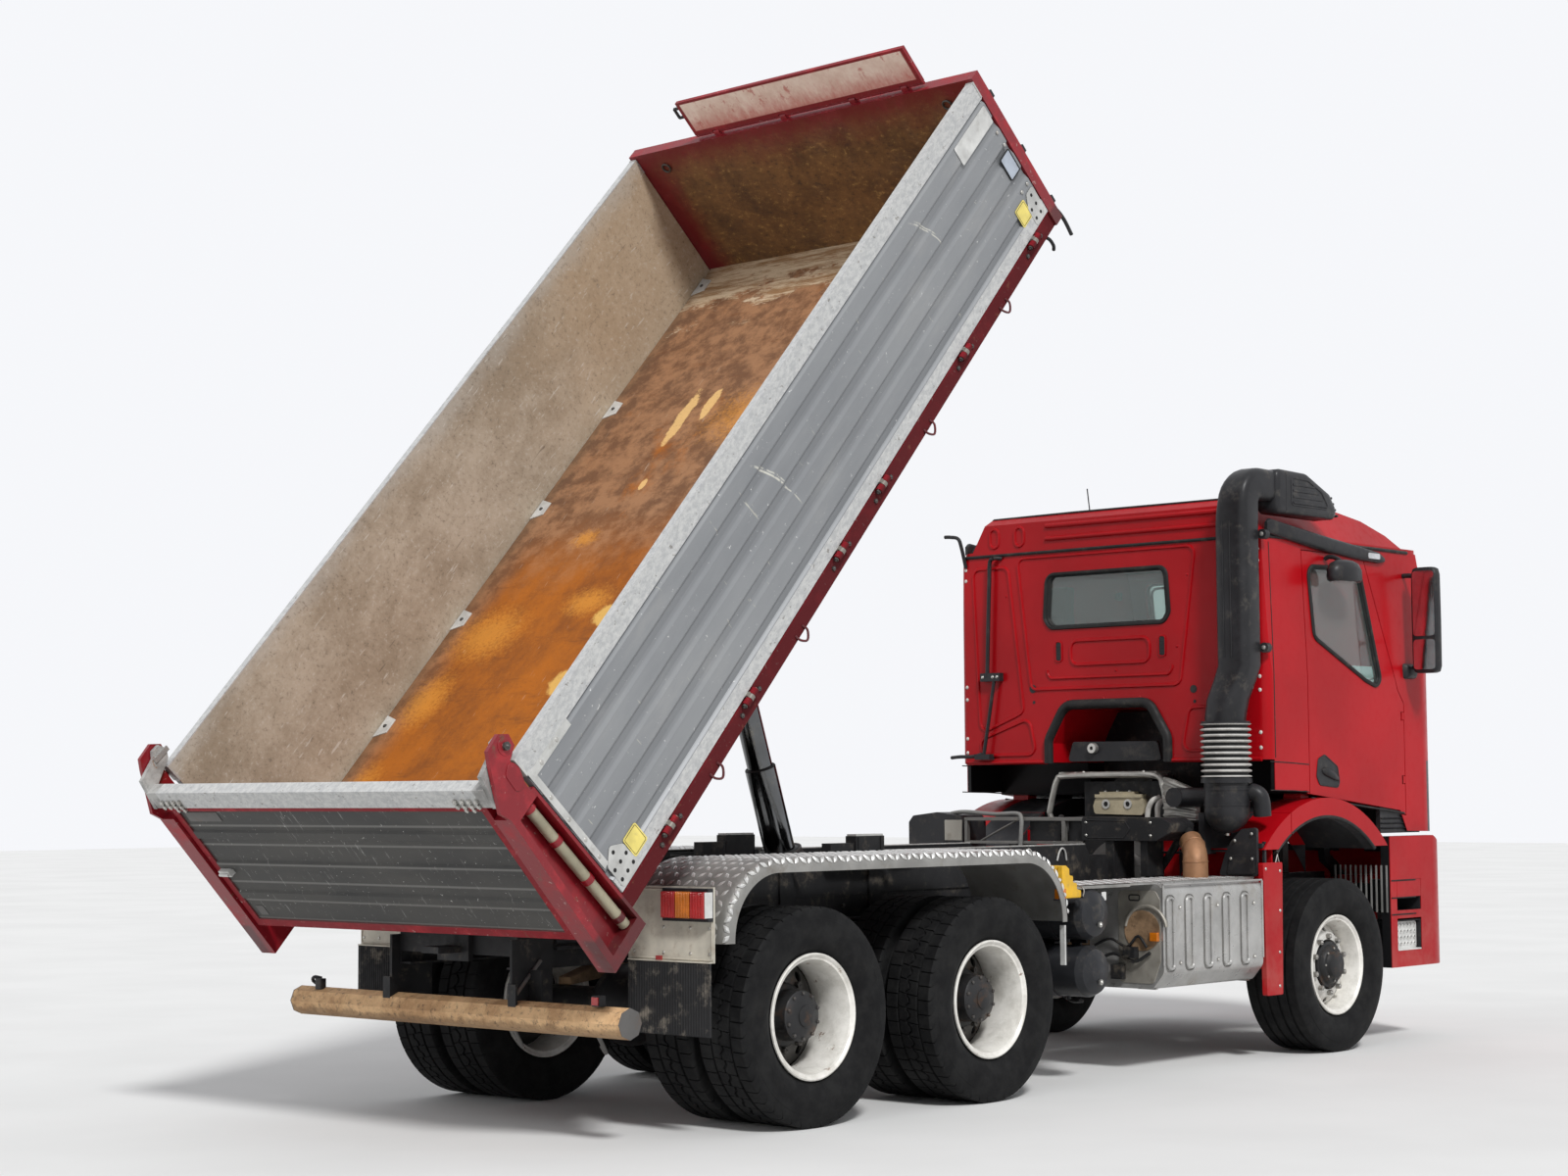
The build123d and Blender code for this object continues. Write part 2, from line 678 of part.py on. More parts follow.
def headlamps():
    front = cab_front_y + 10
    lamp = block((690 + seat_gap, 1085 - seat_gap), (front - 75, front - 22), (700 + seat_gap, 900 - seat_gap))
    lamp += rod("y", front - 30, front - 8, 780, 800, 78) + rod("y", front - 30, front - 8, 950, 800, 70)
    plan = bumper_plan()
    lamp = lamp & along_z(offset(plan, amount=-4, kind=Kind.INTERSECTION), 0, 2000)
    return both_sides(lamp)


def wing_panels():
    """Upright red covers, splash shields and the wings' rear parts, which stay on the frame."""
    y = arch_rear_y - 20
    cover = along_x(outline([(y + 22, 375), (y + 192, 375), (y + 210, 1140), (y, 1140)], 12), 1165, 1197)
    shield = block((rail_outer_x + seat_gap, 1166), (y + 140, y + 155), (520, 1320))
    arm = block((rail_outer_x + seat_gap, 700), (y + 125, y + 141), (860, 960))
    return both_sides(cover + shield + arm + wing(arch_rear_y, arch_split_y))


def air_filter():
    """Filter bowl on the frame below the intake, with its outlet elbow."""
    x, y, top = intake_x, intake_y, bowl_top
    bowl = rod("z", 1440, top, x, y, 132) + Pos(x, y, 1440) * Sphere(132)
    bowl += rod("z", top - 26, top, x, y, 150)
    outlet = rod("x", 560, x, y + 40, 1520, 58)
    outlet += rod("y", y - 20, y + 160, 600, 1520, 58)
    bracket = block((rail_outer_x + seat_gap, 470), (y - 60, y + 60), (880, 1200))
    bracket += block((rail_outer_x + seat_gap, 840), (y - 60, y + 60), (1188, 1200))
    bracket += block((800, 840), (y - 60, y + 10), (1188, 1430))
    return bowl + outlet + bracket


# Cab


def floor_line(y):
    """Height of the cab side's lower edge at a place along the truck."""
    start, end = cab_rear_y + 420, cab_front_y - 550
    return cab_floor_z + (cab_toe_z - cab_floor_z) * (y - start) / (end - start)


def cab_volume(inset):
    """The cab body's outer form, or the same form moved inwards on all sides."""
    side = outline([
        (cab_rear_y, cab_rear_floor_z),
        (cab_rear_y + 360, cab_rear_floor_z),
        (cab_rear_y + 420, cab_floor_z),
        (cab_front_y - 550, cab_toe_z),
        (cab_front_y - 470, cab_nose_z + 10),
        (cab_front_y, cab_nose_z),
        (cab_front_y, cab_waist_z - 170),
        (cab_front_y - 232, cab_top_z),
        (cab_rear_y, cab_top_z),
    ])
    front = outline([
        (-cab_half_width, 1200),
        (cab_half_width, 1200),
        (cab_half_width, cab_waist_z),
        (cab_roof_half_width, cab_top_z),
        (-cab_roof_half_width, cab_top_z),
        (-cab_half_width, cab_waist_z),
    ])
    plan = outline([
        (-cab_half_width, cab_rear_y),
        (cab_half_width, cab_rear_y),
        (cab_half_width, cab_front_y),
        (-cab_half_width, cab_front_y),
    ])
    plan = fillet(plan.vertices().group_by(Axis.Y)[-1], 250)
    plan = fillet(plan.vertices().group_by(Axis.Y)[0], 60)
    if inset > 0:
        side = offset(side, amount=-inset, kind=Kind.INTERSECTION)
        front = offset(front, amount=-inset, kind=Kind.INTERSECTION)
        plan = offset(plan, amount=-inset, kind=Kind.INTERSECTION)
    body = along_x(side, -2000, 2000) & along_y(front, 0, 6000)
    return body & along_z(plan, 1000, 4000)


def door_outline(grow):
    """Door edge seen from the side, grown outwards by a gap."""
    points = [
        (door_rear_y, floor_line(door_rear_y) - 20),
        (door_rear_y, door_head_z),
        (door_hinge_y - 405, door_head_z),
        (door_hinge_y - 60, cab_waist_z - 70),
        (door_hinge_y + 10, cab_waist_z - 150),
        (door_hinge_y + 10, floor_line(door_hinge_y) - 20),
    ]
    face = outline(points)
    if grow:
        face = offset(face, amount=grow, kind=Kind.INTERSECTION)
    return face


def window_outline(shrink):
    """Door window seen from the side."""
    rear, front, sill = door_rear_y, door_hinge_y, cab_waist_z
    face = outline([
        (rear + 90, sill + 230), (rear + 55, door_head_z - 90), (front - 460, door_head_z - 75),
        (front - 255, sill - 70), (front - 455, sill - 15)], 50)
    if shrink:
        face = offset(face, amount=-shrink)
    return face


def windscreen_outline(shrink):
    low, high = cab_half_width - 140, cab_roof_half_width - 163
    sill, head = cab_waist_z - 130, cab_top_z - 75
    face = outline([(-low, sill), (low, sill), (high, head), (-high, head)], 60)
    if shrink:
        face = offset(face, amount=-shrink)
    return face


def rear_window_outline(shrink):
    low, mid, high = cab_top_z - 480, cab_top_z - 420, cab_top_z - 140
    face = outline([(-430, low), (430, low), (470, mid), (450, high), (-450, high), (-470, mid)], 40)
    if shrink:
        face = offset(face, amount=-shrink)
    return face


def tunnel_outline(grow):
    shoulder, top = cab_rear_floor_z + 120, cab_rear_floor_z + 330
    face = outline([
        (-415 - grow, 1200), (415 + grow, 1200), (415 + grow, shoulder), (300 + grow, top + grow),
        (-300 - grow, top + grow), (-415 - grow, shoulder)])
    return face


def cab_shell():
    """Hollow cab body: walls, floor and engine tunnel, with doors and windows cut."""
    shell = cab_volume(0) - cab_volume(cab_wall)
    # The roof panel closes the top
    half = cab_roof_half_width - 58
    shell -= block((-half, half), (cab_rear_y + cab_wall, cab_front_y - 300), (cab_top_z - 70, cab_top_z + 40))
    tunnel = along_y(tunnel_outline(28), cab_rear_y + 2, cab_front_y - 410)
    shell += tunnel & cab_volume(2)
    shell -= along_y(tunnel_outline(0), cab_rear_y - 10, cab_front_y - 438)
    # Side skirts behind the doors
    skirt = block((cab_half_width - 30, cab_half_width), (cab_rear_y + 62, cab_rear_y + 420),
                  (cab_floor_z + 16, cab_rear_floor_z + 50))
    shell += both_sides(skirt)
    opening = along_x(door_outline(panel_gap), cab_half_width - cab_wall - 3, 1300)
    shell -= both_sides(opening)
    shell -= along_y(windscreen_outline(0), cab_front_y - 450, cab_front_y + 150)
    shell -= along_y(rear_window_outline(0), cab_rear_y - 20, cab_rear_y + 100)
    return shell + both_sides(door_hinges(0)) + both_sides(cab_arm())


def cab_arm():
    """Cranked arm from the cab floor to the tilt pin, bent to pass over the bumper when tilted."""
    y, z = cab_pivot_y, cab_pivot_z
    face = outline([
        (y + 22, z + 24), (y - 103, z + 139), (y - 200, z + 195), (y - 240, z + 361),
        (y - 290, z + 361), (y - 262, z + 150), (y - 147, z + 91), (y - 22, z - 24)])
    x = (cab_arm_x, cab_arm_x + cab_arm_width)
    arm = along_x(face, *x)
    arm += rod("x", *x, y, z, 44)
    return arm + rod("x", x[0] - 30, x[1] + 40, y, z, cab_pin_radius)


def door_hinges(grow):
    """Cab halves of the right door's two hinges, or the room that they need in the door."""
    hinges = None
    for z in (cab_waist_z - 630, cab_waist_z - 230):
        leaf = block((door_hinge_x - 22 - grow, cab_half_width - 1 + grow),
                     (door_hinge_y - 9 - grow, door_hinge_y + 26), (z - 22 - grow / 3, z + 22 + grow / 3))
        hinges = leaf if hinges is None else hinges + leaf
    low, high = cab_waist_z - 750, cab_waist_z - 150
    return hinges - rod("z", low, high, door_hinge_x, door_hinge_y, door_pin_radius + 0.5)


def door():
    """Right door: the whole thickness of the cab side, with its window cut."""
    panel = cab_volume(0) - cab_volume(cab_wall)
    panel &= along_x(door_outline(0), cab_half_width - cab_wall + 3, 1300)
    panel -= along_x(window_outline(0), 900, 1300)
    # Recessed handle with its grip
    y, z = door_rear_y, cab_waist_z
    recess = outline([(y + 75, z - 610), (y + 95, z - 505), (y + 170, z - 480), (y + 315, z - 550),
                      (y + 335, z - 640), (y + 320, z - 675), (y + 110, z - 660)], 20)
    panel -= along_x(recess, cab_half_width - 14, 1300)
    panel += block((cab_half_width - 16, cab_half_width - 3), (y + 130, y + 290), (z - 608, z - 580))
    pin = rod("z", z - 690, z - 170, door_hinge_x, door_hinge_y, door_pin_radius)
    return panel - door_hinges(17) + pin


def door_glass():
    pane = cab_volume(16) - cab_volume(16 + glass_thickness)
    return pane & along_x(window_outline(seat_gap), 900, 1300)


def cab_glass():
    """Windscreen and rear window, each inside its own opening."""
    pane = cab_volume(16) - cab_volume(16 + glass_thickness)
    front = pane & along_y(windscreen_outline(seat_gap), cab_front_y - 450, cab_front_y + 150)
    rear = pane & along_y(rear_window_outline(seat_gap), cab_rear_y - 20, cab_rear_y + 100)
    return front + rear


def roof_volume(inset):
    """Raised roof: a low flange, sloped sides and a falling front."""
    side = outline([
        (cab_rear_y, cab_top_z), (cab_rear_y, cab_top_z + 200), (cab_rear_y + 60, roof_top_z - 8),
        (cab_front_y - 900, roof_top_z), (cab_front_y - 590, roof_top_z - 50), (cab_front_y - 370, cab_top_z + 120),
        (cab_front_y - 238, cab_top_z + 26), (cab_front_y - 234, cab_top_z)])
    front = outline([
        (-cab_roof_half_width, cab_top_z), (cab_roof_half_width, cab_top_z),
        (cab_roof_half_width, cab_top_z + 26), (1035, cab_top_z + 34), (905, roof_top_z),
        (-905, roof_top_z), (-1035, cab_top_z + 34), (-cab_roof_half_width, cab_top_z + 26)])
    plan = outline([
        (-cab_roof_half_width, cab_rear_y), (cab_roof_half_width, cab_rear_y),
        (cab_roof_half_width, cab_front_y), (-cab_roof_half_width, cab_front_y)])
    plan = fillet(plan.vertices().group_by(Axis.Y)[-1], 300)
    plan = fillet(plan.vertices().group_by(Axis.Y)[0], 50)
    if inset > 0:
        side = offset(side, amount=-inset, kind=Kind.INTERSECTION)
        front = offset(front, amount=-inset, kind=Kind.INTERSECTION)
        plan = offset(plan, amount=-inset, kind=Kind.INTERSECTION)
    body = along_x(side, -2000, 2000) & along_y(front, 0, 6000)
    return body & along_z(plan, 1000, 4000)


def roof_cap():
    cap = roof_volume(0) - roof_volume(24)
    half = cab_roof_half_width - 118
    return cap - block((-half, half), (cab_rear_y + 60, cab_front_y - 450), (cab_top_z - 10, cab_top_z + 60))


def grille_panel():
    """Slatted panel on the cab's nose, between the screen and the bumper."""
    y = cab_front_y + seat_gap
    half = cab_half_width - 290
    panel = block((-half, half), (y, y + 14), (cab_nose_z + 10, cab_waist_z - 210))
    slat_count = 5
    pitch = 118.0
    for index in range(slat_count):
        z = cab_nose_z + 75 + index * pitch
        panel += block((60 - half, half - 60), (y + 10, y + 20), (z, z + 62))
    return panel


def wheel_arches():
    """Cab-mounted part of the wings over the front wheels."""
    return both_sides(wing(arch_split_y + panel_gap, arch_front_y))


def wing(low_y, high_y):
    """Right wing's ring between two places along the truck."""
    centre_y = front_axle_y - 80
    outer_radius = 990.0
    slope = atan((cab_floor_z - cab_toe_z) / 1100)
    centre_z = floor_line(centre_y) - arch_gap - outer_radius / cos(slope)
    depth = 112.0
    with BuildSketch() as sketch:
        with Locations((centre_y, centre_z)):
            Circle(outer_radius)
            Circle(outer_radius - depth, mode=Mode.SUBTRACT)
    ring = along_x(sketch.sketch, arch_inner_x, 1197)
    ring &= block((arch_inner_x, 1300), (low_y, high_y), (1215, 1700))
    inner = block((arch_inner_x + 10, 1120), (low_y, high_y), (1215, 1700))
    hollow = BuildSketch()
    with hollow:
        with Locations((centre_y, centre_z)):
            Circle(outer_radius - 8)
    ring -= along_x(hollow.sketch, arch_inner_x, 1160) & inner
    # Pads between the wing and the cab floor
    for y in (centre_y - 60, centre_y + 330):
        if low_y < y < high_y:
            pad = along_x(outline([
                (y - 45, floor_line(y - 45) - seat_gap), (y + 45, floor_line(y + 45) - seat_gap),
                (y + 45, floor_line(y + 45) - 120), (y - 45, floor_line(y - 45) - 120)]), 960, 1080)
            ring += pad - along_x(hollow.sketch, 950, 1090)
    return ring


def snorkel():
    """Air intake: louvred head, bend, duct, taper and bellows, with lugs on the rear wall."""
    high_y = cab_rear_y - 9
    x, y = intake_x + 65, high_y - 97
    width, depth = 220.0, 194.0
    # Round foot to rounded square, straight duct, then a narrower throat
    levels = ((bellows_top - 7, Pos(intake_x, intake_y) * Circle(119)),
              (bellows_top + 328, Pos(x, y) * RectangleRounded(width, depth, 52)),
              (cab_top_z + 110, Pos(x, y) * RectangleRounded(width, depth, 52)),
              (cab_top_z + 202, Pos(x + 27, y) * RectangleRounded(width - 30, depth, 50)))
    sections = [Plane.XY.offset(z) * face for z, face in levels]
    duct = loft(sections[:2]) + extrude(sections[1], amount=levels[2][0] - levels[1][0]) + loft(sections[2:])
    # A quarter bend forwards over the roof's edge
    bend_y, bend_z = high_y + 12, levels[3][0]
    duct += revolve(sections[3], Axis((0, bend_y, bend_z), (-1, 0, 0)), 90)
    throat = Pos(x + 27, bend_z + bend_y - y) * RectangleRounded(width - 30, depth, 50)
    duct += along_y(throat, bend_y, cab_rear_y + 125)
    duct += intake_head(x + 145)
    duct += bellows()
    for z in (cab_top_z - 665, cab_top_z + 5):
        duct += block((x - 132, x + 132), (high_y - 30, high_y - 5), (z - 20, z + 20))
        for ear_x in (x - 132, x + 132):
            duct += rod("y", high_y - 38, cab_rear_y - seat_gap, ear_x, z, 30)
    return duct


def intake_head(face_x):
    """Hood with slots in its outer face, which draws air from beside the roof."""
    y, z = cab_rear_y, cab_top_z
    face = outline([(y + 120, z + 145), (y + 125, z + 410), (y + 460, z + 404), (y + 730, z + 302),
                    (y + 845, z + 145)], 22)
    head = along_x(face, face_x - 160, face_x - 8) + along_x(offset(face, amount=-8), face_x - 10, face_x)
    slot_count = 4
    for index in range(slot_count):
        low = z + 218 + index * 38
        head -= block((face_x - 12, face_x + 5), (y + 295, y + 690 - index * 45), (low, low + 22))
    return head


def bellows():
    """Corrugated sleeve between the duct and the filter bowl."""
    fold_count = 9
    low = bowl_top + seat_gap
    pitch = (bellows_top - low) / fold_count
    points = [(0, 0)]
    for index in range(fold_count):
        z = index * pitch
        points.append((132, z))
        points.append((150, z + pitch / 2))
    points.append((132, fold_count * pitch))
    points.append((0, fold_count * pitch))
    face = make_face(Polyline(*points, close=True))
    sleeve = revolve(Plane.XZ * face, Axis.Z)
    return Pos(intake_x, intake_y, low) * sleeve


def seats():
    """Driver and passenger seats on their pedestals."""
    y = cab_rear_y
    side = outline([
        (y + 250, 2020), (y + 820, 2000), (y + 820, 2120), (y + 440, 2140), (y + 340, 2700), (y + 350, 2860),
        (y + 270, 2860), (y + 220, 2680)], 20)
    seat = along_x(side, 490, 1010)
    pedestal = block((560, 940), (y + 490, y + 770), (1400, 2030))
    seat += pedestal & cab_volume(cab_wall + seat_gap)
    return both_sides(seat)


def dashboard():
    """Dashboard across the cab with the steering wheel on the left."""
    y = cab_front_y - 550
    section = outline([(y + 40, 1900), (y + 350, 1900), (y + 390, 2100), (y + 200, 2160), (y + 20, 2080)], 20)
    dash = along_x(section, -1040, 1040)
    leg = block((-1000, 1000), (y + 160, y + 200), (floor_line(y) + 60, 1910))
    dash = (dash + leg) & cab_volume(cab_wall + seat_gap)
    dash -= along_y(tunnel_outline(28 + seat_gap), y - 600, y + 400)
    wheel = Torus(215, 16) + Cylinder(60, 40)
    for turn in (0, 120, 240):
        wheel += Rot(0, 0, turn + 90) * block((0, 215), (-14, 14), (-8, 8))
    column = rod("z", -420, 10, 0, 0, 30)
    wheel += column
    dash += Pos(-650, y - 100, 2180) * Rot(38, 0, 0) * wheel
    return dash


def mirrors():
    """Tall twin-glass mirrors on upper and lower arms from the front pillars."""
    y = mirror_y
    case = along_z(outline([(1225, y), (1410, y), (1410, y + 60), (1370, y + 115), (1260, y + 115), (1225, y + 70)],
                           14), 2290, 2950)
    for low, high in ((2310, 2498), (2520, 2930)):
        case -= block((1243, 1394), (y - 1, y + 5), (low, high))
    case += rod("x", 1080, 1300, y + 90, 2905, 16)
    case += rod("x", 1140, 1300, y + 90, 2320, 16)
    case += block((1060, 1110), (y + 70, y + 110), (2880, 2930))
    foot = block((1151, 1190), (y + 60, y + 130), (2260, 2350))
    case += foot
    return both_sides(case - cab_volume(0))


# Load bed


def bed_floor():
    """Floor plate on cross members, long members and a perimeter rail."""
    top = floor_depth + floor_plate
    inner = bed_half_width - wall_thickness - 6
    plate = block((-inner, inner), (bed_rear, bed_front), (floor_depth, top))
    plate += block((-gate_half_width + 4, gate_half_width - 4), (bed_rear - 160, bed_rear + 1), (floor_depth, top))
    plate += both_sides(block((bed_web_x, bed_rail_x), (bed_rear, bed_front), (48, wall_low - 6)))
    plate += both_sides(block((bed_web_x, inner), (bed_rear, bed_front), (130, floor_depth + 1)))
    long_member = block((330, 408), (bed_rear - 60, bed_front), (-9, floor_depth + 1))
    plate += both_sides(long_member)
    # Cross members along the bed, clear of the lift cylinder's bay
    for u in (-215, 420, 900, 1400, 1900, 2840, 3350, 3900, 4430):
        plate += block((-bed_web_x - 10, bed_web_x + 10), (u - 32, u + 32), (48, floor_depth + 1))
    plate += bed_lugs()
    plate += ram_cheeks()
    plate += hinge_blocks()
    # Room for the pivot tube and its cheeks
    plate -= rod("x", -pivot_reach - 40, pivot_reach + 40, 0, 0, pivot_tube_radius + pin_play)
    return plate


def bed_lugs():
    """Two straps on each side that turn on the subframe's pivot tube."""
    lug = along_x(outline([(-78, 130), (-78, 0), (-50, -62), (50, -62), (78, 0), (140, 130)]), 430, 520)
    lug -= rod("x", 400, 560, 0, 0, pivot_tube_radius + pin_play)
    lug += block((400, 520), (-78, 140), (110, floor_depth + 1))
    return both_sides(lug)


def ram_cheeks():
    """Plates on both sides of the lift cylinder's head."""
    low = ram_head_w - 38
    cheek = along_x(outline([(-110, 151), (-45, low), (45, low), (110, 151)]), ram_cheek_x, ram_cheek_x + 20)
    cheek = Pos(0, ram_head_u, 0) * cheek
    return both_sides(cheek)


def hinge_positions():
    """Places of the drop side's hinges along the bed."""
    return [160, 940, 1900, 2370, 3350, 4240]


def hinge_blocks():
    """Fixed halves of the drop sides' hinges, below the side's lower edge."""
    z = wall_low - side_hinge_drop
    blocks = None
    for u in hinge_positions():
        eye = rod("y", u - 50, u - 14, side_hinge_x, z, side_eye_radius)
        eye += rod("y", u + 14, u + 50, side_hinge_x, z, side_eye_radius)
        eye += block((bed_rail_x - 4, side_hinge_x), (u - 50, u - 14), (z - side_eye_radius, z + 4))
        eye += block((bed_rail_x - 4, side_hinge_x), (u + 14, u + 50), (z - side_eye_radius, z + 4))
        eye -= rod("y", u - 60, u + 60, side_hinge_x, z, side_hinge_radius + pin_play)
        blocks = eye if blocks is None else blocks + eye
    return both_sides(blocks)


def drop_side():
    """Right drop side: hollow profiled boards between top and bottom rails."""
    outer = bed_half_width
    inner = bed_half_width - wall_thickness
    low, high = wall_low, wall_low + wall_height
    profile = [(inner, low), (outer, low), (outer, low + 78)]
    # Channels pressed in the outer face: low edge of each raised board and its height
    board_count = 4
    field = high - low - 78 - 112
    pitch = field / board_count
    recess = 14.0
    for index in range(board_count):
        z = low + 78 + index * pitch
        profile += [
            (outer - recess, z + 14), (outer - recess, z + 44),
            (outer - 3, z + 62), (outer - 3, z + pitch - 20)]
    profile += [(outer - recess, high - 112), (outer, high - 100), (outer, high), (inner, high)]
    wall = along_y(outline(profile), bed_rear + 6, bed_front - 6)
    z = wall_low - side_hinge_drop
    for u in hinge_positions():
        knuckle_eye = rod("y", u - 12, u + 12, side_hinge_x, z, side_eye_radius)
        knuckle_eye += block((side_hinge_x - 16, side_hinge_x + 8), (u - 12, u + 12), (z, wall_low + 1))
        wall += knuckle_eye
        wall += rod("y", u - 56, u + 56, side_hinge_x, z, side_hinge_radius)
    return wall


def headboard():
    """Front wall with upright stiffeners and a box rim on top."""
    back = bed_front + head_thickness
    top = wall_low + wall_height + 20
    wall = block((-bed_half_width, bed_half_width), (bed_front + seat_gap, bed_front + 22), (48, top))
    for x in (-900, -450, 0, 450, 900):
        wall += block((x - 45, x + 45), (bed_front + 20, back), (60, top - 30))
    wall += block((-bed_half_width, bed_half_width), (bed_front + seat_gap, back + 12), (top - 82, top))
    for x in (-bed_half_width, bed_half_width - 60):
        wall += block((x, x + 60), (bed_front + 20, back + 12), (48, top))
    u, w = flap_hinge_place()
    wall += flap_eyes(0)
    return wall - rod("x", -bed_half_width, bed_half_width, u, w, flap_pin_radius + 0.5)


def flap_hinge_place():
    """Line of the spill board's hinge pin, as U and W in the lowered bed."""
    return bed_front + head_thickness - 20, wall_low + wall_height + 20 + flap_hinge_rise


def flap_eyes(grow):
    """Hinge eyes on the headboard's rim, or the room that they need in the board."""
    u, w = flap_hinge_place()
    eyes = None
    for x in (-560, -60, 440, 800):
        radius = flap_pin_radius + 7 + grow
        eye = rod("x", x - 20 - grow, x + 20 + grow, u, w, radius)
        eye += block((x - 20 - grow, x + 20 + grow), (u - radius, u + radius), (w - flap_hinge_rise - 2, w))
        eyes = eye if eyes is None else eyes + eye
    return eyes


def loading_flap():
    """Spill board hinged along the headboard's top rim."""
    u, w = flap_hinge_place()
    left, right = -720.0, 930.0
    board = block((left, right), (u - 12, u + 12), (w + 8, w + 8 + flap_height))
    board -= flap_eyes(5)
    board += rod("x", left, right, u, w, flap_pin_radius)
    handle_low, handle_high = w + 134, w + 194
    handle = rod("z", handle_low, handle_high, left - 40, u, 9)
    for z in (handle_low, handle_high):
        handle += rod("x", left - 40, left + 5, u, z, 9)
    return board + handle


def rear_posts():
    """Corner posts with the curved horns that carry the tailgate's pins."""
    x_low = bed_half_width - post_width - 2
    x_high = bed_half_width - 5
    lean = tan(radians(gate_lean))
    high = wall_low + 690.0
    low = -55.0
    rear_high = gate_pin_u - gate_set_back - 36.0
    rear_low = rear_high - (high - low) * lean
    front = bed_rear - seat_gap
    section = outline([(front, low), (front, high), (rear_high, high), (rear_low, low)])
    post = along_x(section, x_low, x_high)
    # The post is a channel that opens outwards
    channel = outline([(bed_rear - 16, low + 60), (bed_rear - 16, high - 40), (rear_high + 34, high - 40),
                       (rear_low + 44, low + 60)])
    post -= along_x(channel, x_low + 30, x_high + 1)
    post += rod("z", low + 62, high - 38, x_high - 42, bed_rear - 62, 24)
    # Horn plate that curves up to the gate pin
    horn = outline([
        (gate_pin_u - 40, high - 1), (rear_high, high - 1), (rear_high - 20, high + 60),
        (gate_pin_u - 112, gate_pin_w + 10), (gate_pin_u - 80, gate_pin_w + 54), (gate_pin_u + 12, gate_pin_w + 60),
        (gate_pin_u + 52, gate_pin_w + 18), (gate_pin_u + 40, gate_pin_w - 38), (gate_pin_u - 24, gate_pin_w - 64)])
    plate = along_x(horn, x_high - 22, x_high)
    plate -= rod("x", 1000, 1300, gate_pin_u, gate_pin_w, gate_pin_radius + pin_play)
    return both_sides(post + plate)


def tailgate():
    """Pendulum tailgate: ribbed panel, top bar, edge strips and swing arms."""
    top = wall_low + wall_height - 10
    low = wall_low - 45
    # Drawn upright, then leaned about its pin line
    rear_face = gate_pin_u - gate_set_back
    front_face = rear_face + gate_thickness
    x = gate_half_width
    panel = block((-x, x), (rear_face + 8, front_face), (low, top))
    strip = 44.0
    for z_low, z_high in ((low, low + strip), (top - 130, top - 96)):
        panel += block((-x, x), (rear_face, rear_face + 9), (z_low, z_high))
    panel += both_sides(block((x - strip, x), (rear_face, rear_face + 9), (low, top - 96)))
    for z in (low + 205, low + 400, low + 600):
        rib = outline([(rear_face - 1, z - 20), (rear_face - 1, z + 20), (rear_face + 9, z + 30), (rear_face + 9, z - 30)])
        panel += along_x(rib, -x + strip, x - strip)
    panel += block((-x - 70, x + 70), (rear_face - 14, front_face), (top - 96, top))
    # Swing arms beside the horns, on the inner side
    arm = outline([
        (rear_face - 20, top - 96), (rear_face + 4, top + 60), (gate_pin_u - 44, gate_pin_w + 10),
        (gate_pin_u - 22, gate_pin_w + 40), (gate_pin_u + 22, gate_pin_w + 40), (gate_pin_u + 42, gate_pin_w),
        (gate_pin_u + 22, gate_pin_w - 40), (front_face - 6, top - 20), (front_face - 6, top - 96)])
    x_out = bed_half_width - 5 - 22 - 6
    arm = along_x(arm, x_out - 26, x_out)
    arm += rod("x", x_out - 5, x_out + 6 + 22 + 8, gate_pin_u, gate_pin_w, gate_pin_radius)
    panel += both_sides(arm)
    panel = Pos(0, gate_pin_u, gate_pin_w) * Rot(-gate_lean, 0, 0) * Pos(0, -gate_pin_u, -gate_pin_w) * panel
    return panel


# Lift cylinder


def ram_head_place():
    """Place of the cylinder's head pin with the bed raised, as Y and Z."""
    t = radians(tip_angle)
    y = pivot_y + ram_head_u * cos(t) - ram_head_w * sin(t)
    z = pivot_z + ram_head_u * sin(t) + ram_head_w * cos(t)
    return y, z


def ram_lean():
    """Backward lean of the extended cylinder from the vertical, in degrees."""
    y, z = ram_head_place()
    return degrees(atan2(ram_foot_y - y, z - ram_foot_z))


def ram_lowered():
    """Length and forward lean of the cylinder with the bed down."""
    y = pivot_y + ram_head_u - ram_foot_y
    z = pivot_z + ram_head_w - ram_foot_z
    return hypot(y, z), degrees(atan2(y, z))


def ram_stroke():
    """Travel of one stage."""
    y, z = ram_head_place()
    full = hypot(ram_foot_y - y, z - ram_foot_z)
    return (full - ram_lowered()[0]) / ram_stage_count


def ram_place(shape):
    """Carry a shape drawn along the cylinder's own Z to its raised place."""
    return Pos(0, ram_foot_y, ram_foot_z) * Rot(ram_lean(), 0, 0) * shape


def ram_tube(radius, low, high):
    """Closed-bottom tube with an open top."""
    tube = rod("z", low, high, 0, 0, radius)
    tube -= rod("z", low + 14, high - 40, 0, 0, radius - ram_wall)
    return tube - rod("z", low + 14, high + 1, 0, 0, radius - ram_step + 0.6)


def ram_barrel():
    barrel = ram_tube(ram_barrel_radius, -ram_down, ram_up)
    collar = rod("z", -55, 55, 0, 0, ram_barrel_radius + 16)
    collar -= rod("z", -60, 60, 0, 0, ram_barrel_radius - 2)
    reach = ram_barrel_radius + 120
    pins = rod("x", ram_barrel_radius + 10, reach, 0, 0, ram_trunnion_radius)
    return ram_place(barrel + collar + both_sides(pins))


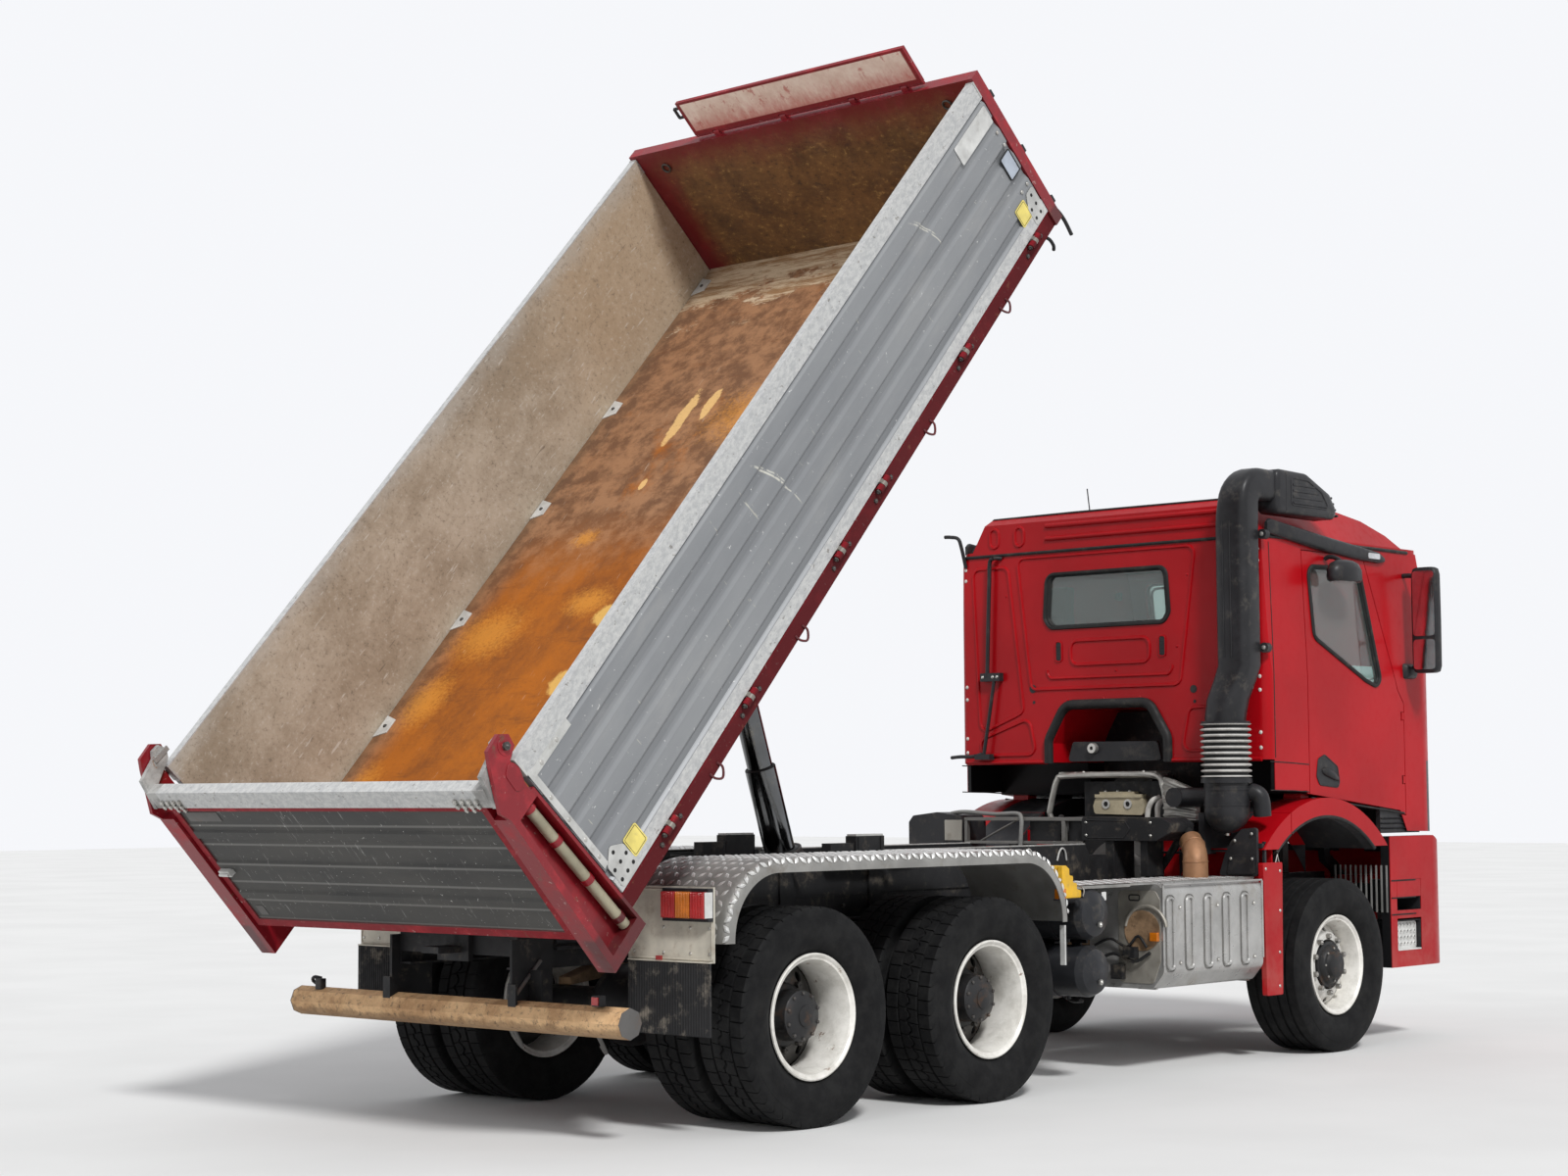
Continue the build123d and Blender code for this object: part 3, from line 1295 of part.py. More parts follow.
def ram_stage(number):
    """Sliding stage 1 to 4, drawn extended; the last one carries the head eye."""
    radius = ram_barrel_radius - number * ram_step
    lift = number * ram_stroke()
    low = -ram_down + 14 + seat_gap + number * 2 + lift
    high = ram_up + number * 6 + lift
    if number < ram_stage_count:
        return ram_place(ram_tube(radius, low + (number - 1) * 14, high))
    stage = rod("z", low + (number - 1) * 14, high, 0, 0, radius)
    length = ram_lowered()[0] + lift
    stage += rod("z", high - 1, length, 0, 0, 24)
    stage += rod("x", -ram_cheek_x + seat_gap, ram_cheek_x - seat_gap, 0, length, 28)
    return ram_place(stage)


def build_parts():
    """Every node of the truck by name."""
    parts = {}
    parts["chassis_frame"] = chassis_frame() + side_brackets() + guard_brackets()
    parts["subframe"] = subframe()
    parts["engine_block"] = engine_block()
    parts["front_axle"] = front_axle()
    parts["rear_axles"] = rear_axles()
    parts["leaf_springs"] = leaf_springs()
    parts["exhaust_box"] = exhaust_box()
    parts["exhaust_elbow"] = exhaust_elbow()
    parts["air_tanks"] = air_tanks()
    parts["fuel_tank"] = fuel_tank()
    parts["rear_mudguards"] = rear_mudguards()
    parts["wheel_chocks"] = wheel_chocks()
    parts["mudflaps"] = mudflaps()
    parts["lamp_brackets"] = lamp_brackets()
    parts["tail_lamps"] = tail_lamps()
    parts["underrun_bar"] = underrun_bar()
    parts["tow_coupling"] = tow_coupling()
    parts["bumper"] = bumper()
    parts["headlamps"] = headlamps()
    parts["wing_panels"] = wing_panels()
    parts["air_filter"] = air_filter()
    parts["cab_shell"] = cab_shell()
    parts["roof_cap"] = roof_cap()
    parts["cab_glass"] = cab_glass()
    parts["grille_panel"] = grille_panel()
    parts["wheel_arches"] = wheel_arches()
    parts["snorkel"] = snorkel()
    parts["seats"] = seats()
    parts["dashboard"] = dashboard()
    parts["mirrors"] = mirrors()
    parts["door_right"] = door()
    parts["door_left"] = left_of(door())
    parts["door_glass_right"] = door_glass()
    parts["door_glass_left"] = left_of(door_glass())
    parts["bed_floor"] = tipped(bed_floor())
    parts["headboard"] = tipped(headboard())
    parts["loading_flap"] = tipped(loading_flap())
    parts["rear_posts"] = tipped(rear_posts())
    parts["drop_side_right"] = tipped(drop_side())
    parts["drop_side_left"] = tipped(left_of(drop_side()))
    parts["tailgate"] = tipped(tailgate())
    parts["ram_barrel"] = ram_barrel()
    for number in range(1, ram_stage_count + 1):
        parts[f"ram_stage_{number}"] = ram_stage(number)
    parts["knuckle_right"] = knuckle()
    parts["knuckle_left"] = left_of(knuckle())
    wheels = {"front": front_wheel(), "mid": twin_wheel(mid_axle_y), "rear": twin_wheel(rear_axle_y)}
    for place, (rubber, rim) in wheels.items():
        parts[f"tyre_{place}_right"] = rubber
        parts[f"tyre_{place}_left"] = left_of(rubber)
        parts[f"rim_{place}_right"] = rim
        parts[f"rim_{place}_left"] = left_of(rim)
    return parts


def main():
    os.makedirs("parts", exist_ok=True)
    for name, shape in build_parts().items():
        export_step(shape, f"parts/{name}.step")
        print(name, round(shape.volume / 1e9, 4), "m3")


if __name__ == "__main__":
    main()
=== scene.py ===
import json
from math import atan2, cos, pi, radians, sin, tan
import bmesh
import bpy
import numpy as np
from mathutils import Matrix, Vector

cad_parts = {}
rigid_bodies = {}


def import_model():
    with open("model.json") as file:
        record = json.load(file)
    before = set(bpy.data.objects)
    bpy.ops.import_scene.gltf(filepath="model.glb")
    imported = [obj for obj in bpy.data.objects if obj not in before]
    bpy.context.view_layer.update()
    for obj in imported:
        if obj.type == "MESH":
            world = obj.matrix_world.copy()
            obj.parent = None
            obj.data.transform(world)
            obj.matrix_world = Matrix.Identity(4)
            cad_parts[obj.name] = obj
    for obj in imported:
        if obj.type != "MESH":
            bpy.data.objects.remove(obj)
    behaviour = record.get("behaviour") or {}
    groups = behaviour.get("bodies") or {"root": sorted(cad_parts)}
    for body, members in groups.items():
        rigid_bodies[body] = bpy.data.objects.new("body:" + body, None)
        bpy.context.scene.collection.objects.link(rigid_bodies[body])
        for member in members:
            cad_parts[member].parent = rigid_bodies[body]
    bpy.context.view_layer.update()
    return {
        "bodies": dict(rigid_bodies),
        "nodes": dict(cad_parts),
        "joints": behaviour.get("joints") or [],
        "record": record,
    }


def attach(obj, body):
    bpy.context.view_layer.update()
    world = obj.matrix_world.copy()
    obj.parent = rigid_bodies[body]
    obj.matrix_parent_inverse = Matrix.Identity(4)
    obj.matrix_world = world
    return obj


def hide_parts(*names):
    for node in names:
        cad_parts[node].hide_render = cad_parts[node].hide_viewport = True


# A red three-axle tipper truck, its load bed raised. Metres, X to the truck's right, Y forward, Z up.

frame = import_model()
nodes = frame["nodes"]
joints = {joint["name"]: joint for joint in frame["record"]["behaviour"]["joints"]}
scene = bpy.context.scene

# The raised bed: a point of it is given as x, u forward along the floor and w up from it, from the pivot
tipAngle = radians(-joints["bed_tip"]["range_deg"][0])
pivot = np.array(joints["bed_tip"]["pos_m"])


def toBed(points):
    # turns x, u, w into the row's x, y, z: the plane u, w is turned by the tip angle about the pivot
    x, u, w = np.moveaxis(np.asarray(points, float), -1, 0)
    y = pivot[1] + u * cos(tipAngle) - w * sin(tipAngle)
    z = pivot[2] + u * sin(tipAngle) + w * cos(tipAngle)
    return np.stack([x, y, z], -1)


# Shapes. Each is a pair: points as an N by 3 array, and a list of faces


def gridFaces(rows, columns, closeRows=False, closeColumns=False):
    # one four-sided face between every two neighbouring rows and columns of a grid of points
    i = np.arange(rows if closeRows else rows - 1)
    j = np.arange(columns if closeColumns else columns - 1)
    a, b = np.meshgrid(i, j, indexing="ij")
    nextA, nextB = (a + 1) % rows, (b + 1) % columns
    quads = np.stack([a * columns + b, nextA * columns + b, nextA * columns + nextB, a * columns + nextB], -1)
    return quads.reshape(-1, 4).tolist()


def lathe(profile, centre, steps=48, axis="x"):
    # a closed profile of (along, radius) pairs turned about an axis: y = r cos t, z = r sin t
    profile = np.asarray(profile, float)
    t = np.linspace(0, 2 * pi, steps, endpoint=False)[:, None]
    along = np.broadcast_to(profile[:, 0], (steps, len(profile)))
    across, up = profile[:, 1] * np.cos(t), profile[:, 1] * np.sin(t)
    order = {"x": (along, across, up), "y": (up, along, across), "z": (across, up, along)}[axis]
    points = np.stack(order, -1).reshape(-1, 3) + np.asarray(centre)
    return points, gridFaces(steps, len(profile), True, True)


def along(profile, start, end, first=(1, 0, 0)):
    # a closed flat outline carried straight from start to end, its own X axis along first, closed by two end faces
    start, end = np.asarray(start, float), np.asarray(end, float)
    way = (end - start) / np.linalg.norm(end - start)
    side = np.asarray(first, float) - way * np.dot(first, way)
    side = side / np.linalg.norm(side)
    other = np.cross(way, side)
    profile = np.asarray(profile, float)
    flat = profile[:, :1] * side + profile[:, 1:] * other
    points = np.concatenate([start + flat, end + flat])
    n = len(profile)
    faces = [[i, (i + 1) % n, n + (i + 1) % n, n + i] for i in range(n)]
    return points, faces + [list(range(n))[::-1], list(range(n, 2 * n))]


def box(low, high):
    # a box between two corners, as an outline carried up along Z
    (x0, y0, z0), (x1, y1, z1) = low, high
    return along([(x0, y0), (x1, y0), (x1, y1), (x0, y1)], (0, 0, z0), (0, 0, z1))


def circle(radius, steps=16, squash=1.0):
    # (r cos t, r squash sin t)
    t = np.linspace(0, 2 * pi, steps, endpoint=False)
    return np.stack([radius * np.cos(t), radius * squash * np.sin(t)], -1)


def roundedOutline(points, radius, steps=5):
    # each corner is replaced by an arc that touches both of its sides
    points = np.asarray(points, float)
    result = []
    for before, corner, after in zip(np.roll(points, 1, 0), points, np.roll(points, -1, 0)):
        a = (before - corner) / np.linalg.norm(before - corner)
        b = (after - corner) / np.linalg.norm(after - corner)
        half = np.arccos(np.clip(np.dot(a, b), -1, 1)) / 2
        reach = min(radius / tan(half), 0.49 * np.linalg.norm(before - corner), 0.49 * np.linalg.norm(after - corner))
        middle = corner + (a + b) / np.linalg.norm(a + b) * reach / cos(half)
        startArm, endArm = corner + a * reach - middle, corner + b * reach - middle
        turn = atan2(startArm[0] * endArm[1] - startArm[1] * endArm[0], np.dot(startArm, endArm))
        t = np.linspace(0, turn, steps)[:, None]
        spin = np.concatenate([-startArm[1:], startArm[:1]])
        result.append(middle + startArm * np.cos(t) + spin * np.sin(t))
    return np.concatenate(result)


def smoothLine(points, perSpan=8):
    # a Catmull-Rom curve: each span is a cubic through its two ends with the slopes of their neighbours
    p = np.asarray(points, float)
    p = np.concatenate([2 * p[:1] - p[1:2], p, 2 * p[-1:] - p[-2:-1]])
    t = np.linspace(0, 1, perSpan, endpoint=False)[:, None]
    spans = [0.5 * (2 * b + (c - a) * t + (2 * a - 5 * b + 4 * c - d) * t ** 2 + (3 * b - a - 3 * c + d) * t ** 3)
             for a, b, c, d in zip(p[:-3], p[1:-2], p[2:-1], p[3:])]
    return np.concatenate(spans + [p[-2:-1]])


def pipe(line, radius, sides=12):
    # a round profile carried along a line; each ring stands square to the line's own direction there
    line = np.asarray(line, float)
    way = np.gradient(line, axis=0)
    way /= np.linalg.norm(way, axis=1, keepdims=True)
    helper = np.array([0.31, 0.17, 0.93]) if abs(way[:, 2]).max() < 0.9 else np.array([0.93, 0.31, 0.17])
    side = np.cross(way, helper)
    side /= np.linalg.norm(side, axis=1, keepdims=True)
    other = np.cross(way, side)
    t = np.linspace(0, 2 * pi, sides, endpoint=False)
    r = np.broadcast_to(np.asarray(radius, float), (len(line),))[:, None, None]
    rings = line[:, None] + r * (side[:, None] * np.cos(t)[:, None] + other[:, None] * np.sin(t)[:, None])
    faces = gridFaces(len(line), sides, False, True)
    last = (len(line) - 1) * sides
    faces += [list(range(sides)), list(range(last, last + sides))[::-1]]
    return rings.reshape(-1, 3), faces


def dome(centre, normal, radius, height, sides=12, rings=3):
    # a low round cap: the radius falls as a cosine while the height grows as a sine
    t = np.linspace(0, pi / 2 * 0.92, rings)
    way = np.asarray(normal, float) / np.linalg.norm(normal)
    line = np.asarray(centre) + np.concatenate([[-0.3 * height], height * np.sin(t)])[:, None] * way
    helper = np.array([0, 0, 1.0]) if abs(way[2]) < 0.9 else np.array([1.0, 0, 0])
    side = np.cross(way, helper)
    side /= np.linalg.norm(side)
    other = np.cross(way, side)
    a = np.linspace(0, 2 * pi, sides, endpoint=False)
    ring = side * np.cos(a)[:, None] + other * np.sin(a)[:, None]
    r = radius * np.concatenate([[1], np.cos(t)])[:, None, None]
    points = (line[:, None] + r * ring).reshape(-1, 3)
    faces = gridFaces(rings + 1, sides, False, True)
    last = rings * sides
    return points, faces + [list(range(sides)), list(range(last, last + sides))[::-1]]


def bentPipe(points, perSpan, radius, sides=12):
    # a pipe along a smooth curve through the points
    return pipe(smoothLine(points, perSpan), radius, sides)


def joined(shapes):
    # several shapes as one; a single shape, which is a pair, stays as it is
    if isinstance(shapes, tuple):
        return shapes
    points, faces, count = [], [], 0
    for p, f in shapes:
        points.append(p)
        faces += [[i + count for i in face] for face in f]
        count += len(p)
    return np.concatenate(points), faces


def mirrored(shapes):
    # x becomes -x, and each face runs the other way round
    points, faces = joined(shapes)
    return points * [-1, 1, 1], [face[::-1] for face in faces]


def bothSides(shapes):
    # shapes of the right side together with their mirror image
    return joined([joined(shapes), mirrored(shapes)])


def inBed(shapes):
    # a shape given in x, u and w, carried into the row frame
    points, faces = joined(shapes)
    return toBed(points), faces


def inBedPair(shapes):
    return inBed(bothSides(shapes))


def loop(line, radius, sides=8):
    # a round profile carried round a closed line, with no ends: line + r (side cos t + flat sin t), where flat is
    # the normal of the plane that fits the line best
    line = np.asarray(line, float)
    way = np.roll(line, -1, 0) - np.roll(line, 1, 0)
    way /= np.linalg.norm(way, axis=1, keepdims=True)
    flat = np.linalg.svd(line - line.mean(0))[2][2]
    side = np.cross(way, flat)
    side /= np.linalg.norm(side, axis=1, keepdims=True)
    t = np.linspace(0, 2 * pi, sides, endpoint=False)
    rings = line[:, None] + radius * (side[:, None] * np.cos(t)[:, None] + flat * np.sin(t)[:, None])
    return rings.reshape(-1, 3), gridFaces(len(line), sides, True, True)


def skin(rings):
    # closed rings of the same number of points, joined one to the next, with flat ends
    rings = np.asarray(rings, float)
    rows, columns = rings.shape[:2]
    ends = [list(range(columns)), list(range((rows - 1) * columns, rows * columns))[::-1]]
    return rings.reshape(-1, 3), gridFaces(rows, columns, False, True) + ends


def turned(shape, angle, centre):
    # a shape turned about a line along X: y and z mix by cos and sin of the angle
    points, faces = shape
    x, dy, dz = points[:, 0], points[:, 1] - centre[1], points[:, 2] - centre[2]
    y = centre[1] + dy * cos(angle) - dz * sin(angle)
    z = centre[2] + dy * sin(angle) + dz * cos(angle)
    return np.stack([x, y, z], -1), faces


def around(shape, count, centre):
    # the same shape at equal angles about a line along X
    return joined([turned(shape, 2 * pi * i / count, centre) for i in range(count)])


def holedDisc(profile, count, ring, hole, centre, thick, edge=8):
    # a dished disc with a ring of round holes. Each sector is a grid from its hole's circle to the sector's border;
    # x is read from the profile of (radius, x) at each point's radius, and a second layer lies thick behind the first
    radii, places = np.array(profile).T
    inner, outer = radii.min(), radii.max()
    t = np.linspace(0, 2 * pi, 4 * edge, endpoint=False) + pi / 4
    square = np.stack([np.cos(t), np.sin(t)], -1) / np.maximum(abs(np.cos(t)), abs(np.sin(t)))[:, None]
    borderR = (inner + outer) / 2 + square[:, 0] * (outer - inner) / 2
    borderA = square[:, 1] * pi / count
    border = np.stack([borderR * np.cos(borderA), borderR * np.sin(borderA)], -1)
    circleLine = np.stack([ring + hole * np.cos(t), hole * np.sin(t)], -1)
    s = np.linspace(0, 1, 4)[:, None, None]
    sheet = (circleLine + (border - circleLine) * s).reshape(-1, 2)
    faces, shapes = gridFaces(4, len(t), False, True), []
    for i in range(count):
        a = 2 * pi * (i + 0.5) / count
        y = sheet[:, 0] * cos(a) - sheet[:, 1] * sin(a)
        z = sheet[:, 0] * sin(a) + sheet[:, 1] * cos(a)
        r = np.hypot(y, z)
        x = np.interp(r, radii, places)
        shapes.append((np.stack([x, y, z], -1) + centre, faces))
    return thicken(joined(shapes), (-thick, 0, 0))


def standing(outline, where, plane):
    # flat points stood up at a place along one axis; they are given in the two other axes' coordinates
    return np.insert(np.asarray(outline, float), "xyz".index(plane), where, axis=1)


def ringOfLine(outline, where, radius, plane):
    # a thin bead round a flat outline
    return loop(standing(outline, where, plane), radius, 6)


def layers(sections, plane):
    # a body through several outlines, given as pairs of a place along the axis and an outline
    return skin([standing(outline, where, plane) for where, outline in sections])


def thicken(shape, offset):
    # an open sheet of four-sided faces made solid: its copy lies at an offset, and walls close every free edge
    points, faces = shape
    _, first, place = np.unique(np.round(points, 6), axis=0, return_index=True, return_inverse=True)
    points, quads = points[first], place.reshape(-1)[np.array(faces)]
    count = len(points)
    edges = np.stack([quads, np.roll(quads, -1, 1)], -1).reshape(-1, 2)
    _, index, uses = np.unique(np.sort(edges, 1), axis=0, return_index=True, return_counts=True)
    free = edges[index[uses == 1]]
    walls = np.stack([free[:, 1], free[:, 0], free[:, 0] + count, free[:, 1] + count], -1)
    both = np.concatenate([points, points + np.asarray(offset)])
    return both, np.concatenate([quads, quads[:, ::-1] + count, walls]).tolist()


def plate(outline, where, thick, plane="y"):
    # a flat outline given in the two other axes' coordinates, thick along the third
    outline = np.asarray(outline, float)
    start = np.zeros(3)
    start["xyz".index(plane)] = where
    end = np.array(start)
    end["xyz".index(plane)] = where + thick
    first = {"x": (0, 1, 0), "y": (1, 0, 0), "z": (1, 0, 0)}[plane]
    if (plane == "y") == (thick > 0):
        outline = outline * [1, -1]
    return along(outline, start, end, first)


def rectangle(x0, y0, x1, y1):
    # its corners in turn, from two opposite ones
    return [(x0, y0), (x1, y0), (x1, y1), (x0, y1)]


def roundedBox(x0, y0, x1, y1, radius, steps=5):
    # the same with rounded corners
    return roundedOutline(rectangle(x0, y0, x1, y1), radius, steps)


def nut(centre, way, radius, height):
    # a six-sided nut with a domed stud end
    centre, way = np.asarray(centre, float), np.asarray(way, float)
    helper = (0, 0, 1) if abs(way[2]) < 0.9 else (1, 0, 0)
    body = along(circle(radius, 6), centre - way * height * 0.3, centre + way * height, helper)
    return joined([body, dome(centre + way * height, way, radius * 0.55, radius * 0.5, 8, 2)])


def piece(name, parts, body, bevel=0.0, bevelSteps=2, smooth=35, replace=()):
    # one mesh from several pairs of shapes and their finish, each finish in a material slot of its own;
    # it rides on a body of the CAD, and may take the place of CAD nodes
    shapes = [joined(shape) for shape, _ in parts]
    points, faces = joined(shapes)
    mesh = bpy.data.meshes.new(name)
    mesh.from_pydata(points.tolist(), [], faces)
    for _, finish in parts:
        mesh.materials.append(finishes[finish])
    mesh.polygons.foreach_set("material_index", [i for i, shape in enumerate(shapes) for _ in shape[1]])
    work = bmesh.new()
    work.from_mesh(mesh)
    bmesh.ops.recalc_face_normals(work, faces=work.faces)
    work.to_mesh(mesh)
    work.free()
    mesh.shade_smooth()
    mesh.set_sharp_from_angle(angle=radians(smooth))
    thing = bpy.data.objects.new(name, mesh)
    scene.collection.objects.link(thing)
    if bevel:
        edge = thing.modifiers.new("edge", "BEVEL")
        edge.width, edge.segments, edge.limit_method = bevel, bevelSteps, "ANGLE"
        edge.angle_limit = radians(30)
    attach(thing, body)
    if replace:
        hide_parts(*replace)


# Materials

finishes = {}
gateForm = {"lean": 5.5, "pinU": -0.235, "pinW": 1.075, "front": -0.351}


class Finish:
    # a material with short calls for the few nodes that every finish here needs, kept in finishes under its name
    def __init__(self, name, colour, rough, metal=0.0, **sockets):
        self.material = finishes[name] = bpy.data.materials.new(name)
        self.material.use_nodes = True
        self.tree = self.material.node_tree
        self.shader = self.tree.nodes["Principled BSDF"]
        self.shader.inputs["Base Color"].default_value = (*colour, 1)
        self.shader.inputs["Roughness"].default_value = rough
        self.shader.inputs["Metallic"].default_value = metal
        for key, value in sockets.items():
            self.shader.inputs[key.replace("_", " ")].default_value = value
        self.height = None
        self.coords = self.tree.nodes.new("ShaderNodeTexCoord").outputs["Object"]

    def link(self, value, socket):
        if isinstance(value, bpy.types.NodeSocket):
            self.tree.links.new(value, socket)
        elif isinstance(value, tuple) and len(value) == 3 and socket.type == "RGBA":
            socket.default_value = (*value, 1)
        else:
            socket.default_value = value

    def place(self, scale=(1, 1, 1), turn=(0, 0, 0), shift=(0, 0, 0)):
        node = self.tree.nodes.new("ShaderNodeMapping")
        self.tree.links.new(self.coords, node.inputs["Vector"])
        node.inputs["Location"].default_value = shift
        node.inputs["Rotation"].default_value = turn
        node.inputs["Scale"].default_value = scale
        return node.outputs["Vector"]

    def bedPlace(self, scale=(1, 1, 1)):
        # x, u and w of the raised bed, so that streaks run along its floor and walls
        turn = Matrix.Rotation(-tipAngle, 3, "X")
        shift = -(turn @ Vector(pivot))
        plain = self.place(turn=(-tipAngle, 0, 0), shift=tuple(shift))
        node = self.tree.nodes.new("ShaderNodeMapping")
        self.tree.links.new(plain, node.inputs["Vector"])
        node.inputs["Scale"].default_value = scale
        return node.outputs["Vector"]

    def gatePlace(self):
        # x, u and w of the tailgate as if it hung square to the floor: the lean about its pin line is taken out
        turn = Matrix.Rotation(radians(gateForm["lean"]) - tipAngle, 3, "X")
        pin = np.array([0, gateForm["pinU"], gateForm["pinW"]])
        pinRow = Vector(toBed(pin))
        shift = Vector(pin) - turn @ pinRow
        return self.place(turn=(radians(gateForm["lean"]) - tipAngle, 0, 0), shift=tuple(shift))

    def noise(self, scale, detail=4.0, rough=0.55, where=None):
        node = self.tree.nodes.new("ShaderNodeTexNoise")
        self.tree.links.new(where or self.coords, node.inputs["Vector"])
        node.inputs["Scale"].default_value = scale
        node.inputs["Detail"].default_value = detail
        node.inputs["Roughness"].default_value = rough
        return node.outputs["Fac"]

    def axis(self, which, where=None):
        node = self.tree.nodes.new("ShaderNodeSeparateXYZ")
        self.tree.links.new(where or self.coords, node.inputs[0])
        return node.outputs[which]

    def sum(self, operation, a, b=0.0, c=0.0):
        node = self.tree.nodes.new("ShaderNodeMath")
        node.operation = operation
        for value, socket in zip((a, b, c), node.inputs):
            self.link(value, socket)
        return node.outputs[0]

    def times(self, a, b):
        return self.sum("MULTIPLY", a, b)

    def most(self, a, b):
        return self.sum("MAXIMUM", a, b)

    def size(self, value):
        return self.sum("ABSOLUTE", value)

    def shifted(self, value, amount, *grain):
        # a value moved up and down by noise, which makes the edges ragged that are cut from it
        return self.sum("MULTIPLY_ADD", self.noise(*grain), amount, value)

    def step(self, value, low, high):
        # 0 below low, 1 above high, smooth between; low may be the larger, and then it falls
        node = self.tree.nodes.new("ShaderNodeMapRange")
        node.interpolation_type = "SMOOTHSTEP"
        self.link(value, node.inputs["Value"])
        node.inputs["From Min"].default_value = min(low, high)
        node.inputs["From Max"].default_value = max(low, high)
        node.inputs["To Min"].default_value = 0 if low < high else 1
        node.inputs["To Max"].default_value = 1 if low < high else 0
        return node.outputs["Result"]

    def mix(self, amount, a, b, kind="RGBA"):
        node = self.tree.nodes.new("ShaderNodeMix")
        node.data_type = kind
        for key, value in (("Factor", amount), ("A", a), ("B", b)):
            self.link(value, node.inputs[key])
        return node.outputs["Result"]

    def both(self, amount, a, b):
        # the same for plain numbers
        return self.mix(amount, a, b, "FLOAT")

    def lay(self, base, colour, amount, mask):
        # a colour laid over another one where a mask is 1, only as thick as the amount
        return self.mix(self.times(mask, amount), base, colour)

    def tones(self, dark, pale, limits, *grain):
        # two colours mixed by noise
        return self.mix(self.step(self.noise(*grain), *limits), dark, pale)

    def spots(self, base, colour, amount, limits, *grain):
        # the same with noise as the mask: limits say where it starts to cover and where it covers in full
        return self.lay(base, colour, amount, self.step(self.noise(*grain), *limits))

    def colour(self, value):
        self.link(value, self.shader.inputs["Base Color"])

    def rough(self, value):
        self.link(value, self.shader.inputs["Roughness"])

    def metal(self, value):
        self.link(value, self.shader.inputs["Metallic"])

    def bump(self, value, depth, strength=1.0):
        node = self.tree.nodes.new("ShaderNodeBump")
        self.link(value, node.inputs["Height"])
        node.inputs["Distance"].default_value = depth
        node.inputs["Strength"].default_value = strength
        if self.height:
            self.tree.links.new(self.height, node.inputs["Normal"])
        self.height = node.outputs["Normal"]
        self.tree.links.new(self.height, self.shader.inputs["Normal"])


# Linear colours of the paints, metals, rubbers and dirt
tints = {
    "cabRed": (0.46, 0.008, 0.016),
    "deepRed": (0.2, 0.006, 0.014),
    "grime": (0.16, 0.135, 0.105),
    "paleDust": (0.42, 0.37, 0.3),
    "rustOrange": (0.5, 0.17, 0.03),
    "rustBrown": (0.16, 0.075, 0.03),
    "rustDark": (0.055, 0.03, 0.018),
    "boardGrey": (0.235, 0.245, 0.262),
    "chassisBlack": (0.016, 0.016, 0.017),
    "plasticBlack": (0.02, 0.02, 0.022),
    "rubberBlack": (0.022, 0.022, 0.023),
    "rimWhite": (0.66, 0.65, 0.61),
    "cream": (0.52, 0.49, 0.41),
}


def dustLow(finish, colour, low, high, amount=0.6):
    # road dust that thins out with height, broken up by noise
    z = finish.axis("Z")
    fade = finish.step(z, high, low)
    spots = finish.noise(5.0, 6.0, 0.65)
    mask = finish.times(fade, finish.step(spots, 0.35, 0.75))
    return finish.lay(colour, tints["paleDust"], amount, mask)


def makeCabRed(name, inside=None):
    # glossy deep red with a little road dust low down; inside gives limits within which the panel is black underneath
    f = Finish(name, tints["cabRed"], 0.36, Coat_Weight=0.1, Coat_Roughness=0.12, Specular_IOR_Level=0.12)
    broad = f.noise(1.3, 3.0)
    shade = f.mix(f.step(broad, 0.3, 0.7), (0.32, 0.0018, 0.005), (0.41, 0.0035, 0.008))
    shade = dustLow(f, shade, 0.3, 1.3, 0.16)
    if inside:
        half, front, top = inside
        mask = f.times(f.step(f.size(f.axis("X")), half, half - 0.002), f.step(f.axis("Y"), front, front - 0.002))
        mask = f.times(mask, f.step(f.axis("Z"), top, top - 0.002))
        shade = f.mix(mask, shade, (0.012, 0.012, 0.013))
    f.colour(shade)
    f.rough(f.both(f.step(f.noise(22, 5), 0.35, 0.8), 0.28, 0.44))
    f.bump(f.noise(130, 2), 0.0004, 0.25)


def bedRedBase(f):
    # dark red paint with chips along it, worn patches of primer and brown rust, and painted shade laid almost black
    # on the outer sill under the boards; gives the colour and where it is worn
    where = f.bedPlace()
    chips = f.step(f.noise(34, 9, 0.72, where), 0.625, 0.65)
    worn = f.step(f.noise(6, 7, 0.65, where), 0.48, 0.72)
    base = f.mix(worn, (0.2, 0.005, 0.011), (0.34, 0.016, 0.024))
    base = f.lay(base, (0.46, 0.34, 0.31), 0.55, chips)
    # painted shade: the outer sill below the drop sides is darkened almost to black
    low = f.step(f.axis("Z", where), 0.148, 0.12)
    shade = f.times(f.step(f.size(f.axis("X", where)), 1.15, 1.2), low)
    base = f.lay(base, (0.045, 0.008, 0.009), 0.75, shade)
    return f.spots(base, (0.14, 0.05, 0.03), 0.8, (0.6, 0.68), 13, 8, 0.72, where), worn


def makeBedRed():
    f = Finish("bedRed", tints["deepRed"], 0.45)
    base, worn = bedRedBase(f)
    f.colour(base)
    f.rough(f.both(worn, 0.34, 0.62))
    f.bump(f.noise(60, 6), 0.0012, 0.4)


